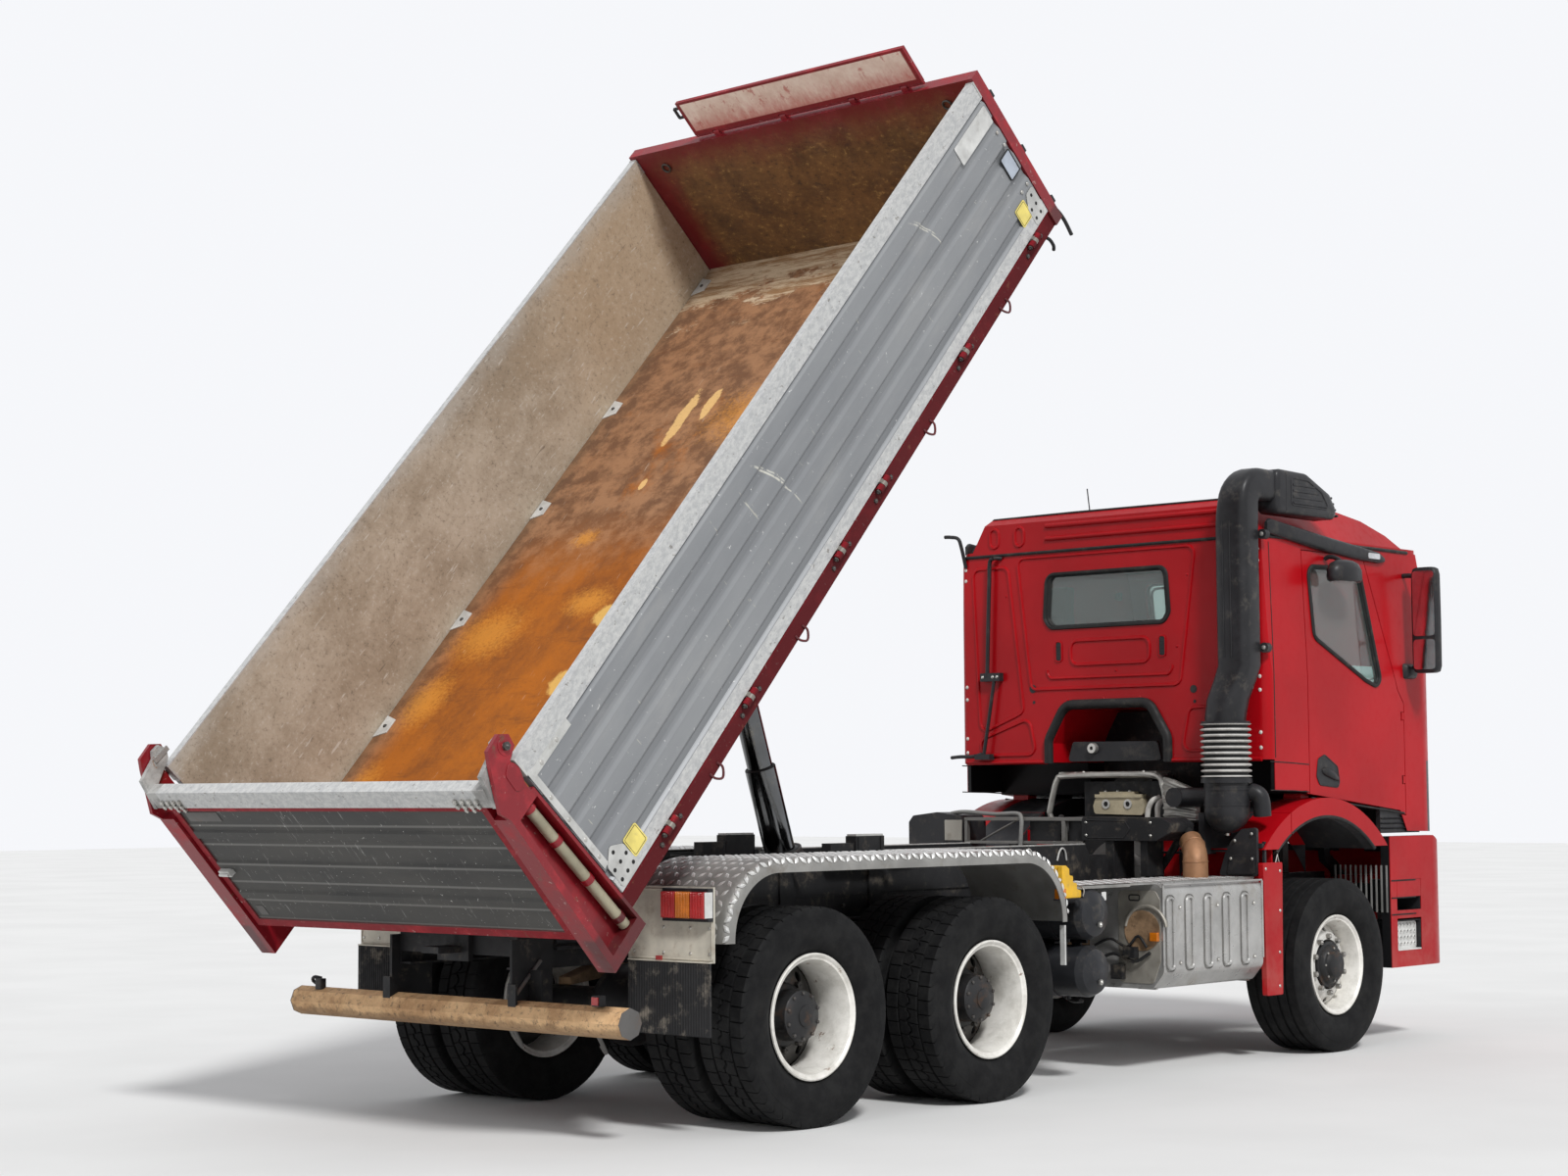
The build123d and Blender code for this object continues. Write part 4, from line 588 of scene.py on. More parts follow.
# bloom is speckled bright orange, pale a light spot, scrape bare and sharp; ragged is how far noise moves the edge
patchKinds = {
    "bloom": {"tone": (0.68, 0.285, 0.042), "amount": 0.62, "ragged": 2.6, "limits": (2.55, 1.45)},
    "pale": {"tone": (0.8, 0.5, 0.135), "amount": 0.72, "ragged": 1.5, "limits": (1.8, 1.5)},
    "scrape": {"tone": (0.78, 0.5, 0.2), "amount": 0.8, "ragged": 1.9, "limits": (1.82, 1.64)},
}
bedPatches = [  # x, u, half width, half length, kind
    (-0.86, 1.42, 0.26, 0.2, "bloom"), (-0.98, 0.95, 0.16, 0.2, "bloom"), (-1.02, 0.3, 0.13, 0.22, "bloom"),
    (-0.25, 1.62, 0.18, 0.11, "bloom"), (-0.62, 2.12, 0.1, 0.07, "bloom"), (0.2, 3.02, 0.52, 0.26, "bloom"),
    (0.45, 3.4, 0.3, 0.15, "bloom"), (0.7, 1.1, 0.4, 0.3, "bloom"), (0.45, 2.35, 0.34, 0.16, "bloom"),
    (-0.02, 1.52, 0.11, 0.085, "pale"), (-0.03, 1.04, 0.09, 0.105, "pale"),
    (-0.52, 3.02, 0.06, 0.3, "scrape"), (-0.36, 3.16, 0.05, 0.14, "scrape"), (-0.46, 2.52, 0.03, 0.05, "scrape"),
]


def layPatches(f, base, x, u, grain, spread):
    # each patch is an ellipse, sqrt(dx^2 + du^2) in its own half sizes, with noise added before it is cut
    for px, pu, halfX, halfU, kind in bedPatches:
        form = patchKinds[kind]
        dx = f.sum("DIVIDE", f.sum("SUBTRACT", x, px), halfX)
        du = f.sum("DIVIDE", f.sum("SUBTRACT", u, pu), halfU)
        away = f.sum("SQRT", f.sum("ADD", f.times(dx, dx), f.times(du, du)))
        ragged = f.sum("MULTIPLY_ADD", grain if kind == "bloom" else spread, form["ragged"], away)
        base = f.lay(base, form["tone"], form["amount"], f.step(ragged, *form["limits"]))
    return base


def makeFloorRust():
    f = Finish("floorRust", tints["rustOrange"], 0.8, Specular_IOR_Level=0.2)
    plain = f.bedPlace()
    where = f.bedPlace((1, 0.75, 1))
    x, u, w = f.axis("X", plain), f.axis("Y", plain), f.axis("Z", plain)
    big = f.noise(1.7, 9, 0.74, where)
    grain = f.noise(46, 8, 0.8, plain)
    base = f.mix(f.step(big, 0.34, 0.62), (0.215, 0.066, 0.014), (0.4, 0.12, 0.014))
    # brown from the middle forward, and in a band along the left wall
    wander = f.shifted(u, 1.1, 1.5, 8, 0.72, plain)
    front = f.times(f.step(wander, 2.3, 2.95), f.step(f.noise(2.3, 9, 0.74, where), 0.26, 0.46))
    edge = f.step(f.shifted(x, 0.34, 3.0, 7, 0.7, plain), -0.76, -0.98)
    brown = f.tones((0.15, 0.078, 0.044), (0.33, 0.175, 0.092), (0.4, 0.6), 6, 9, 0.76, plain)
    base = f.lay(base, brown, 0.92, front)
    base = f.lay(base, brown, 0.8, edge)
    base = f.spots(base, (0.15, 0.052, 0.017), 0.6, (0.53, 0.72), 4.2, 9, 0.78, f.bedPlace((0.55, 3.0, 1)))
    base = layPatches(f, base, x, u, grain, f.noise(5, 9, 0.78, plain))
    # the front end is scraped to pale bare metal in ragged streaks across
    reach = f.shifted(u, 1.9, 4.0, 9, 0.76, f.bedPlace((0.7, 1.6, 1)))
    grey = f.step(reach, 4.98, 5.12)
    pale = f.tones((0.3, 0.175, 0.085), (0.62, 0.49, 0.34), (0.4, 0.58), 9, 9, 0.76, f.bedPlace((0.3, 2.4, 1)))
    base = f.lay(base, pale, 0.9, grey)
    base = f.lay(base, (0.07, 0.034, 0.018), 0.55, f.step(grain, 0.54, 0.72))
    base = f.lay(base, (0.62, 0.34, 0.12), 0.3, f.step(grain, 0.42, 0.3))
    base = f.spots(base, (0.6, 0.5, 0.38), 0.35, (0.68, 0.73), 58, 4, 0.6, f.bedPlace((1, 0.1, 1)))
    # the edges against the walls and the rear lip are darker
    edgeDarkening = f.most(f.step(f.size(x), 1.1, 1.2), f.step(u, -0.16, -0.32))
    base = f.lay(base, (0.115, 0.075, 0.045), 0.45, edgeDarkening)
    # everything under the floor plate is the frame's dark red
    under = f.step(w, 0.161, 0.159)
    side = f.step(f.size(x), 1.2045, 1.2055)
    red = bedRedBase(f)[0]
    f.colour(f.mix(f.most(under, side), base, red))
    f.rough(f.both(f.step(big, 0.3, 0.7), 0.74, 0.9))
    f.bump(f.noise(9, 8, 0.7, where), 0.002, 0.35)
    f.bump(grain, 0.0012, 0.5)


def wallInsideBase(f):
    # dried grey-brown mud over worn aluminium, speckled all over, with thin scratches
    where = f.bedPlace((1, 0.7, 1))
    plain = f.bedPlace()
    w, u = f.axis("Z", plain), f.axis("Y", plain)
    big = f.noise(1.8, 9, 0.74, where)
    grain = f.noise(40, 8, 0.8, plain)
    base = f.mix(f.step(big, 0.34, 0.64), (0.3, 0.24, 0.172), (0.47, 0.4, 0.315))
    base = f.lay(base, (0.47, 0.33, 0.2), 0.5, f.step(f.shifted(u, 1.8, 1.6, 6, 0.7, where), 3.3, 4.6))
    base = f.lay(base, (0.46, 0.45, 0.42), 0.45, f.step(f.shifted(w, -0.3, 3.0, 7, 0.72, where), 0.72, 0.86))
    low = f.shifted(w, 0.55, 2.4, 7, 0.7, where)
    base = f.lay(base, (0.45, 0.37, 0.275), 0.35, f.step(low, 0.7, 0.42))
    base = f.lay(base, (0.115, 0.088, 0.062), 0.62, f.step(grain, 0.53, 0.66))
    base = f.lay(base, (0.6, 0.57, 0.52), 0.6, f.step(grain, 0.45, 0.33))
    base = f.spots(base, (0.7, 0.68, 0.63), 0.45, (0.65, 0.68), 30, 5, 0.6, f.bedPlace((1, 0.22, 2.0)))
    return f.spots(base, (0.1, 0.075, 0.055), 0.6, (0.685, 0.7), 13, 4, 0.6, f.bedPlace((1, 0.16, 2.6)))


def makeHeadRust():
    # headboard: rusty brown inside with a red margin that is worn at the edges
    f = Finish("headRust", tints["rustBrown"], 0.7)
    plain = f.bedPlace()
    x, u, w = f.axis("X", plain), f.axis("Y", plain), f.axis("Z", plain)
    cloud = f.noise(2.6, 9, 0.76, plain)
    rust = f.mix(f.step(cloud, 0.36, 0.62), (0.095, 0.046, 0.02), (0.2, 0.098, 0.036))
    flakes = f.noise(24, 8, 0.8, f.bedPlace((1, 1, 1.5)))
    rust = f.lay(rust, (0.42, 0.25, 0.085), 0.75, f.step(flakes, 0.46, 0.34))
    rust = f.lay(rust, (0.035, 0.022, 0.015), 0.75, f.step(flakes, 0.53, 0.64))
    rust = f.lay(rust, (0.17, 0.028, 0.02), 0.55, f.step(f.shifted(w, 0.5, 4, 8, 0.74, plain), 1.0, 1.22))
    red, worn = bedRedBase(f)
    ragged = f.times(f.noise(9, 8, 0.74, plain), 0.2)
    inX = f.step(f.sum("ADD", f.size(x), ragged), 1.27, 1.05)
    inW = f.step(f.sum("ADD", w, ragged), 1.13, 0.96)
    face = f.step(u, 4.473, 4.471)
    red = f.lay(red, (0.12, 0.006, 0.009), 0.6, face)
    f.colour(f.mix(f.times(face, f.times(inX, inW)), red, rust))
    f.rough(f.both(worn, 0.42, 0.72))
    f.bump(f.noise(28, 8, 0.7, plain), 0.0016, 0.5)


def makeFlapPaint():
    # spill board: pale worn paint with red showing through, all red along its edges
    f = Finish("flapPaint", (0.5, 0.4, 0.35), 0.6)
    plain = f.bedPlace()
    x, w = f.axis("X", plain), f.axis("Z", plain)
    red = bedRedBase(f)[0]
    pale = f.tones((0.74, 0.56, 0.47), (0.88, 0.74, 0.64), (0.35, 0.65), 7, 7, 0.7, plain)
    pale = f.spots(pale, (0.5, 0.13, 0.11), 0.7, (0.57, 0.64), 17, 7, 0.72, f.bedPlace((1, 1, 0.6)))
    top = f.shifted(w, 0.3, 30, 9, 0.8, f.bedPlace((1, 1, 0.4)))
    pale = f.lay(pale, (0.52, 0.115, 0.1), 0.75, f.step(top, 1.36, 1.2))
    inside = f.times(f.step(w, 1.071, 1.076), f.step(w, 1.258, 1.253))
    inside = f.times(inside, f.times(f.step(x, -0.7, -0.69), f.step(x, 0.91, 0.9)))
    black = f.step(x, -0.7205, -0.7215)
    f.colour(f.mix(black, f.mix(inside, red, pale), (0.015, 0.015, 0.016)))
    f.bump(f.noise(40, 6), 0.0008, 0.4)


def wornRail(f, base, amount):
    # pale bare metal along rails, with scratches across
    wear = f.step(f.noise(30, 9, 0.82, f.bedPlace((1.2, 0.8, 1.4))), 0.4, 0.6)
    base = f.mix(amount, base, (0.42, 0.425, 0.425))
    base = f.mix(f.times(amount, wear), base, (0.56, 0.56, 0.545))
    nick = f.step(f.noise(34, 6, 0.7, f.bedPlace((1, 0.8, 1))), 0.62, 0.65)
    return f.lay(base, (0.2, 0.185, 0.165), 0.8, f.times(amount, nick))


scrapes = [  # curved scratches on the boards: centre u and w, radius, lowest and highest w
    (1.25, 0.45, 0.62, 0.56, 0.84), (1.22, 0.44, 0.655, 0.46, 0.84), (1.2, 0.43, 0.69, 0.6, 0.8),
    (3.05, 0.45, 0.6, 0.58, 0.86), (3.03, 0.44, 0.635, 0.66, 0.84),
]


def makeBoards():
    # drop sides: grey boards outside with painted shade in the recesses behind their outer face, dried mud inside,
    # bare rails along the top and the bottom
    f = Finish("boards", tints["boardGrey"], 0.46, 0.25)
    plain = f.bedPlace()
    where = f.bedPlace((1, 0.25, 1))
    x, w = f.size(f.axis("X", plain)), f.axis("Z", plain)
    cloud = f.noise(2.6, 6, 0.62, where)
    base = f.mix(f.step(cloud, 0.3, 0.7), (0.208, 0.216, 0.226), (0.262, 0.27, 0.278))
    # painted shade: surfaces set back from the boards' outer face are darkened
    base = f.lay(base, (0.095, 0.1, 0.108), 0.3, f.step(x, 1.2475, 1.2435))
    base = f.spots(base, (0.4, 0.39, 0.37), 0.22, (0.5, 0.72), 5, 7, 0.7, where)
    base = f.spots(base, (0.72, 0.72, 0.7), 0.8, (0.652, 0.675), 42, 7, 0.72, f.bedPlace((1, 0.8, 1)))
    base = f.spots(base, (0.62, 0.6, 0.5), 0.5, (0.68, 0.7), 16, 5, 0.6, f.bedPlace((1, 1.5, 0.22)))
    u, wobble = f.axis("Y", plain), f.times(f.noise(2.5, 3, 0.6, plain), 0.05)
    for cu, cw, radius, low, high in scrapes:
        du, dw = f.sum("SUBTRACT", u, cu), f.sum("SUBTRACT", w, cw)
        away = f.sum("SQRT", f.sum("ADD", f.times(du, du), f.times(dw, dw)))
        away = f.size(f.sum("SUBTRACT", f.sum("ADD", away, wobble), radius + 0.03))
        line = f.times(f.step(away, 0.0055, 0.002), f.times(f.step(w, low, low + 0.04), f.step(w, high, high - 0.06)))
        line = f.times(line, f.step(du, 0.0, 0.02))
        line = f.times(line, f.step(f.noise(38, 4, 0.6, plain), 0.4, 0.52))
        base = f.lay(base, (0.66, 0.645, 0.56), 0.65, line)
    rail = f.most(f.step(w, 0.893, 0.898), f.step(w, 0.226, 0.221))
    base = wornRail(f, base, rail)
    mud = f.times(f.step(x, 1.2175, 1.2125), f.step(w, 0.997, 0.992))
    base = f.mix(mud, base, wallInsideBase(f))
    knuckle = f.step(x, 1.2555, 1.2565)
    f.colour(f.mix(knuckle, base, (0.2, 0.18, 0.155)))
    f.rough(f.both(mud, 0.46, 0.78))
    f.metal(f.both(mud, 0.25, 0.05))
    f.bump(f.noise(70, 4, 0.6, where), 0.0006, 0.3)


def makeGatePaint():
    # tailgate: ribbed panel in dark grey, partly its own grey and partly painted shade, with pale lines along the
    # ribs as painted highlight; dark red strips round it with worn pale edges, bare top bar, galvanised arms
    f = Finish("gatePaint", (0.1, 0.1, 0.1), 0.5, 0.1, Specular_IOR_Level=0.2)
    gate = f.gatePlace()
    x, u, w = f.size(f.axis("X", gate)), f.axis("Y", gate), f.axis("Z", gate)
    cloud = f.noise(3.0, 7, 0.66, f.bedPlace((0.4, 1, 1)))
    # the panel's grey is darkened well below the boards' grey: painted shade
    base = f.mix(f.step(cloud, 0.32, 0.68), (0.04, 0.04, 0.039), (0.078, 0.076, 0.071))
    # a pale line along each rib: painted highlight
    line = f.sum("SINE", f.times(w, 2 * pi / 0.122))
    base = f.lay(base, (0.26, 0.255, 0.24), 0.45, f.step(line, 0.9, 0.99))
    base = f.spots(base, (0.34, 0.335, 0.32), 0.55, (0.6, 0.66), 15, 8, 0.74, f.bedPlace((3.0, 1, 0.35)))
    base = f.spots(base, (0.62, 0.61, 0.58), 0.8, (0.655, 0.675), 48, 6, 0.7, f.bedPlace())
    red = bedRedBase(f)[0]
    strip = f.most(f.step(x, 1.0835, 1.0845), f.step(w, 0.1495, 0.1485))
    strip = f.most(strip, f.times(f.step(w, 0.8595, 0.8605), f.step(w, 0.8945, 0.8935)))
    base = f.mix(strip, base, red)
    inner = f.step(u, gateForm["front"] - 0.004, gateForm["front"] - 0.002)
    base = f.mix(inner, base, wallInsideBase(f))
    bar = f.step(w, 0.8935, 0.8945)
    base = wornRail(f, base, bar)
    arm = f.times(bar, f.step(x, 1.1275, 1.1285))
    zinc = f.tones((0.25, 0.245, 0.235), (0.43, 0.425, 0.41), (0.4, 0.62), 9, 8, 0.72)
    zinc = f.spots(zinc, (0.25, 0.13, 0.06), 0.7, (0.58, 0.66), 14, 8, 0.74)
    f.colour(f.mix(arm, base, zinc))
    f.rough(f.both(f.step(cloud, 0.3, 0.7), 0.42, 0.62))
    f.bump(f.noise(60, 5), 0.0008, 0.35)


def makePlain(name, tint, rough, metal, dirt, amount, shine, scale=6.0):
    # slightly uneven paint, plastic or metal with patches of dirt or rust
    f = Finish(name, tint, rough, metal, Specular_IOR_Level=shine)
    cloud = f.noise(scale, 6, 0.62)
    base = f.mix(f.step(cloud, 0.3, 0.72), tuple(c * 0.8 for c in tint), tuple(min(c * 1.18, 0.9) for c in tint))
    if dirt:
        base = f.spots(base, tints[dirt], amount, (0.52, 0.7), scale * 1.7, 8, 0.7)
    f.colour(base)
    f.rough(f.both(f.step(f.noise(scale * 4, 4), 0.35, 0.7), rough * 0.85, min(rough * 1.2, 1)))
    f.bump(f.noise(scale * 12, 4), 0.0006, 0.4)


def makeTyreRubber():
    f = Finish("tyreRubber", tints["rubberBlack"], 0.72, Specular_IOR_Level=0.14)
    grain = f.noise(9, 7, 0.7)
    base = f.mix(f.step(grain, 0.35, 0.7), (0.006, 0.006, 0.0065), (0.015, 0.015, 0.015))
    dusty = f.step(f.noise(3.2, 8, 0.74), 0.54, 0.8)
    f.colour(f.lay(base, (0.06, 0.053, 0.045), 0.22, dusty))
    f.bump(f.noise(80, 5), 0.0012, 0.35)


def makeRimPaint():
    f = Finish("rimPaint", tints["rimWhite"], 0.42, 0.15)
    streak = f.noise(7, 8, 0.72)
    base = f.mix(f.step(streak, 0.3, 0.66), (0.58, 0.56, 0.51), (0.84, 0.82, 0.77))
    rust = f.step(f.noise(11, 9, 0.75), 0.6, 0.66)
    base = f.lay(base, tints["rustBrown"], 0.8, rust)
    f.colour(base)
    f.rough(f.both(rust, 0.38, 0.75))
    f.bump(f.noise(40, 6), 0.0008, 0.4)


def makeRustySteel():
    f = Finish("rustySteel", tints["rustBrown"], 0.7, 0.2)
    big = f.noise(5, 7, 0.7)
    base = f.mix(f.step(big, 0.35, 0.65), (0.14, 0.085, 0.045), (0.36, 0.23, 0.13))
    f.colour(f.spots(base, tints["rustDark"], 0.8, (0.56, 0.66), 34, 8, 0.75))
    f.bump(f.noise(45, 8, 0.7), 0.002, 0.6)


def makeSilver(name, tint, rough, spots, metal=0.55):
    f = Finish(name, tint, rough, metal)
    cloud = f.noise(4, 6, 0.65)
    base = f.mix(f.step(cloud, 0.3, 0.7), tuple(c * 0.72 for c in tint), tint)
    stain = f.step(f.noise(spots, 8, 0.72), 0.56, 0.72)
    f.colour(f.lay(base, (0.27, 0.24, 0.19), 0.5, stain))
    f.rough(f.both(f.step(f.noise(18, 5), 0.35, 0.7), rough * 0.8, rough * 1.3))
    f.bump(f.noise(60, 5), 0.0008, 0.35)


def makeGlass():
    f = Finish("glassTint", (0.55, 0.66, 0.63), 0.02, Transmission_Weight=0.92, IOR=1.45)
    haze = f.step(f.noise(4, 6, 0.7), 0.4, 0.8)
    f.rough(f.both(haze, 0.02, 0.07))


sleeveForm = {"place": (0.96, 1.915, 0), "low": 1.64, "high": 1.95, "folds": 9, "radius": 0.1385, "wave": 0.0115}


def makeBellows():
    # flexible sleeve: pale dusty crests, and the valleys between them painted almost black as painted shade, cos(2 pi
    # folds (z - low) / height)
    f, form = Finish("bellows", (0.4, 0.4, 0.38), 0.55), sleeveForm
    pace = 2 * pi * form["folds"] / (form["high"] - form["low"])
    wave = f.sum("SINE", f.sum("MULTIPLY_ADD", f.axis("Z"), pace, pi / 2 - pace * form["low"]))
    crest = f.step(wave, -0.15, 0.65)
    pale = f.tones((0.42, 0.41, 0.385), (0.62, 0.61, 0.58), (0.35, 0.65), 9, 6, 0.65)
    # the almost black valleys are painted shade in the folds
    f.colour(f.mix(crest, (0.03, 0.03, 0.03), pale))
    f.bump(f.noise(70, 3), 0.0006, 0.3)


def makeHeadlamp():
    # clear round lenses in a dark housing
    f = Finish("headlampFace", (0.1, 0.1, 0.1), 0.12, Coat_Weight=0.4)
    lens = f.step(f.axis("Y"), 4.139, 4.141)
    f.colour(f.mix(lens, (0.03, 0.03, 0.032), (0.55, 0.57, 0.6)))
    f.rough(f.both(lens, 0.35, 0.08))
    f.metal(f.both(lens, 0.0, 0.35))


def makeUnderrunPaint():
    # tan paint caked with speckled mud, dark along the lower edge
    f = Finish("underrunBrown", (0.3, 0.19, 0.09), 0.75)
    grain = f.noise(34, 9, 0.8)
    base = f.tones((0.42, 0.24, 0.11), (0.68, 0.44, 0.23), (0.36, 0.62), 5, 8, 0.74)
    base = f.lay(base, (0.06, 0.045, 0.032), 0.75, f.step(grain, 0.52, 0.64))
    low = f.step(f.sum("MULTIPLY_ADD", f.noise(9, 8, 0.76), 0.1, f.axis("Z")), 0.59, 0.565)
    f.colour(f.lay(base, (0.105, 0.06, 0.03), 0.55, low))
    f.bump(grain, 0.0015, 0.5)


def makeLens(name, tint):
    f = Finish(name, tint, 0.16, Transmission_Weight=0.15, Coat_Weight=0.5)
    lines = f.axis("Z", f.place())
    rib = f.sum("SINE", f.times(lines, 900.0))
    shade = f.noise(8, 5)
    f.colour(f.mix(f.step(shade, 0.35, 0.7), tuple(c * 0.6 for c in tint), tint))
    f.bump(rib, 0.0006, 0.5)


makeCabRed("cabRed")
makeCabRed("shellRed", (1.1465, 4.05, 1.742))
makeCabRed("bumperRed", (1.186, 3.88, 1.4))
makeCabRed("noseRed", (0.8, 4.167, 2.02))
makeHeadlamp()
makeBedRed()
makeFloorRust()
makeHeadRust()
makeFlapPaint()
makeGatePaint()
makeBoards()
makeTyreRubber()
makeRimPaint()
makeRustySteel()
makeSilver("treadPlate", (0.6, 0.6, 0.57), 0.34, 5.0)
makeSilver("boxSilver", (0.47, 0.465, 0.45), 0.34, 3.0)
makeSilver("ramChrome", (0.17, 0.175, 0.18), 0.12, 9.0, 1.0)
makeSilver("galvanised", (0.4, 0.4, 0.39), 0.5, 8.0)
makeGlass()
plainFinishes = {  # name: colour, roughness, metal, dirt, amount of dirt
    "chassisBlack": (tints["chassisBlack"], 0.5, 0.0, "grime", 0.45),
    "blackPlastic": (tints["plasticBlack"], 0.42, 0.0, "grime", 0.18),
    "castGrey": ((0.13, 0.125, 0.12), 0.6, 0.5, "rustBrown", 0.35),
    "dashPlastic": ((0.035, 0.035, 0.038), 0.6, 0.0, None, 0.0),
    "seatCloth": ((0.045, 0.045, 0.05), 0.9, 0.0, "grime", 0.15),
    "chockYellow": ((0.72, 0.42, 0.02), 0.5, 0.0, "grime", 0.35),
    "creamPaint": (tints["cream"], 0.55, 0.0, "rustBrown", 0.4),
    "flapRubber": ((0.02, 0.02, 0.021), 0.7, 0.0, "paleDust", 0.35),
    "tankBlack": ((0.022, 0.023, 0.026), 0.36, 0.0, "grime", 0.25),
    "hubBlack": ((0.03, 0.03, 0.031), 0.48, 0.3, "rustBrown", 0.35),
    "hoseGrey": ((0.22, 0.22, 0.21), 0.6, 0.0, "grime", 0.4),
    "labelYellow": ((0.72, 0.6, 0.16), 0.5, 0.0, "grime", 0.4),
    "boltSteel": ((0.48, 0.47, 0.44), 0.38, 0.8, "rustBrown", 0.25),
    "discPaint": ((0.58, 0.57, 0.54), 0.45, 0.1, "rustBrown", 0.35),
    "discDark": ((0.06, 0.056, 0.052), 0.6, 0.2, "rustBrown", 0.45),
    "nutSteel": ((0.3, 0.29, 0.27), 0.5, 0.6, "rustBrown", 0.5),
    "nutDark": ((0.075, 0.07, 0.066), 0.55, 0.5, "rustBrown", 0.4),
    "sealRubber": ((0.018, 0.018, 0.018), 0.6, 0.0, "grime", 0.25),
    "plugWhite": ((0.62, 0.6, 0.56), 0.5, 0.0, "grime", 0.3),
    "platePale": ((0.6, 0.6, 0.58), 0.5, 0.2, "grime", 0.3),
    "plateBlue": ((0.36, 0.4, 0.46), 0.45, 0.0, "grime", 0.25),
    "postTube": ((0.34, 0.31, 0.22), 0.5, 0.3, "rustBrown", 0.3),
    "engineAlloy": ((0.33, 0.31, 0.27), 0.5, 0.5, "grime", 0.5),
    "brassBrown": ((0.33, 0.17, 0.085), 0.55, 0.4, "rustBrown", 0.5),
    "railMetal": ((0.5, 0.5, 0.48), 0.45, 0.3, "grime", 0.45),
    "holeDark": ((0.02, 0.02, 0.02), 0.8, 0.0, None, 0.0),
    "railDull": ((0.16, 0.155, 0.145), 0.5, 0.4, "grime", 0.4),
    "engineSilver": ((0.4, 0.39, 0.36), 0.42, 0.6, "grime", 0.45),
    "engineCream": ((0.46, 0.4, 0.27), 0.5, 0.2, "grime", 0.35),
    # treadRaised and treadBase are one aluminium: the lozenges are painted pale as painted highlight, and the plate
    # between them is painted dark as painted shade under its grime
    "treadRaised": ((0.72, 0.72, 0.7), 0.34, 0.6, "grime", 0.12),
    "treadBase": ((0.27, 0.265, 0.25), 0.5, 0.4, "grime", 0.45),
    "ductPlastic": ((0.022, 0.022, 0.024), 0.36, 0.0, "paleDust", 0.1),
    "mirrorGlass": ((0.62, 0.65, 0.68), 0.05, 1.0, None, 0.0),
}
for name, (tint, roughness, metalness, dirt, amount) in plainFinishes.items():
    shine = 0.22 if max(tint) < 0.05 else 0.5  # black parts reflect little of the pale room
    makePlain(name, tint, roughness, metalness, dirt, amount, shine)
makeBellows()
makeUnderrunPaint()
makeLens("lampRed", (0.5, 0.01, 0.01))
makeLens("lampAmber", (0.8, 0.22, 0.01))
makeLens("lampClear", (0.7, 0.72, 0.74))

# Every node takes the finish of its material slot in the record
slotFinish = {
    "cab_red": "cabRed", "bed_red": "bedRed", "bed_rust": "floorRust", "side_aluminium": "boards",
    "bright_aluminium": "boxSilver", "tread_aluminium": "treadPlate", "chassis_black": "chassisBlack",
    "cast_grey": "castGrey", "rusty_steel": "rustySteel", "tank_black": "tankBlack", "cream_paint": "creamPaint",
    "chock_yellow": "chockYellow", "flap_rubber": "flapRubber", "lamp_red": "lampRed", "lamp_clear": "lampClear",
    "black_plastic": "blackPlastic", "dash_plastic": "dashPlastic", "seat_fabric": "seatCloth",
    "window_glass": "glassTint", "ram_chrome": "ramChrome", "tyre_rubber": "tyreRubber", "rim_paint": "rimPaint",
}
nodeFinish = {"cab_shell": "shellRed", "bumper": "bumperRed", "grille_panel": "noseRed", "headlamps": "headlampFace",
              "headboard": "headRust", "loading_flap": "flapPaint", "tailgate": "gatePaint", "ram_barrel": "hubBlack",
              "leaf_springs": "rustySteel"}
for part in frame["record"]["subparts"]:
    node = nodes[part["node"]]
    material = finishes[nodeFinish.get(part["node"], slotFinish[part["material_slot"]])]
    if node.material_slots:
        for slot in node.material_slots:
            slot.material = material
    else:
        node.data.materials.append(material)
print("finishes done")

# Camera, light and floor

cameraSetting = {
    "place": (9.64, -11.525, 1.563),
    "yaw": -42.163,  # degrees from +Y, towards +X
    "pitch": 4.356,
    "roll": -0.349,
    "lens": 61.67,
}


def makeCamera(s):
    # forward = (sin yaw cos pitch, cos yaw cos pitch, sin pitch); right and up are turned about it by the roll
    yaw, pitch, roll = (radians(s[key]) for key in ("yaw", "pitch", "roll"))
    forward = np.array([sin(yaw) * cos(pitch), cos(yaw) * cos(pitch), sin(pitch)])
    right = np.cross(forward, [0, 0, 1])
    right /= np.linalg.norm(right)
    up = np.cross(right, forward)
    turnedRight = right * cos(roll) + up * sin(roll)
    turnedUp = -right * sin(roll) + up * cos(roll)
    data = bpy.data.cameras.new("camera")
    data.lens, data.sensor_width = s["lens"], 36.0
    data.clip_end = 200
    camera = bpy.data.objects.new("camera", data)
    matrix = np.eye(4)
    matrix[:3, 0], matrix[:3, 1], matrix[:3, 2] = turnedRight, turnedUp, -forward
    matrix[:3, 3] = s["place"]
    camera.matrix_world = Matrix(matrix.tolist())
    scene.collection.objects.link(camera)
    scene.camera = camera


def mathNode(tree, operation, a, b):
    # one step of the world's node tree on two values, each an output of another node or a plain number
    node = tree.nodes.new("ShaderNodeMath")
    node.operation = operation
    for value, socket in zip((a, b), node.inputs):
        if isinstance(value, float):
            socket.default_value = value
        else:
            tree.links.new(value, socket)
    return node.outputs[0]


lightSetting = {
    # name: direction that the light comes from, strength, size as an angle in degrees
    "suns": {"keySun": ((0.95, -0.62, 1.05), 2.5, 9), "fillSun": ((-0.4, -0.9, 0.5), 0.35, 60)},
    # the room's colour, its strength as light and as seen background, and how much of that reflections see
    "room": (0.96, 0.97, 1.0), "lit": 0.55, "seen": 0.96, "reflected": 0.8,
}


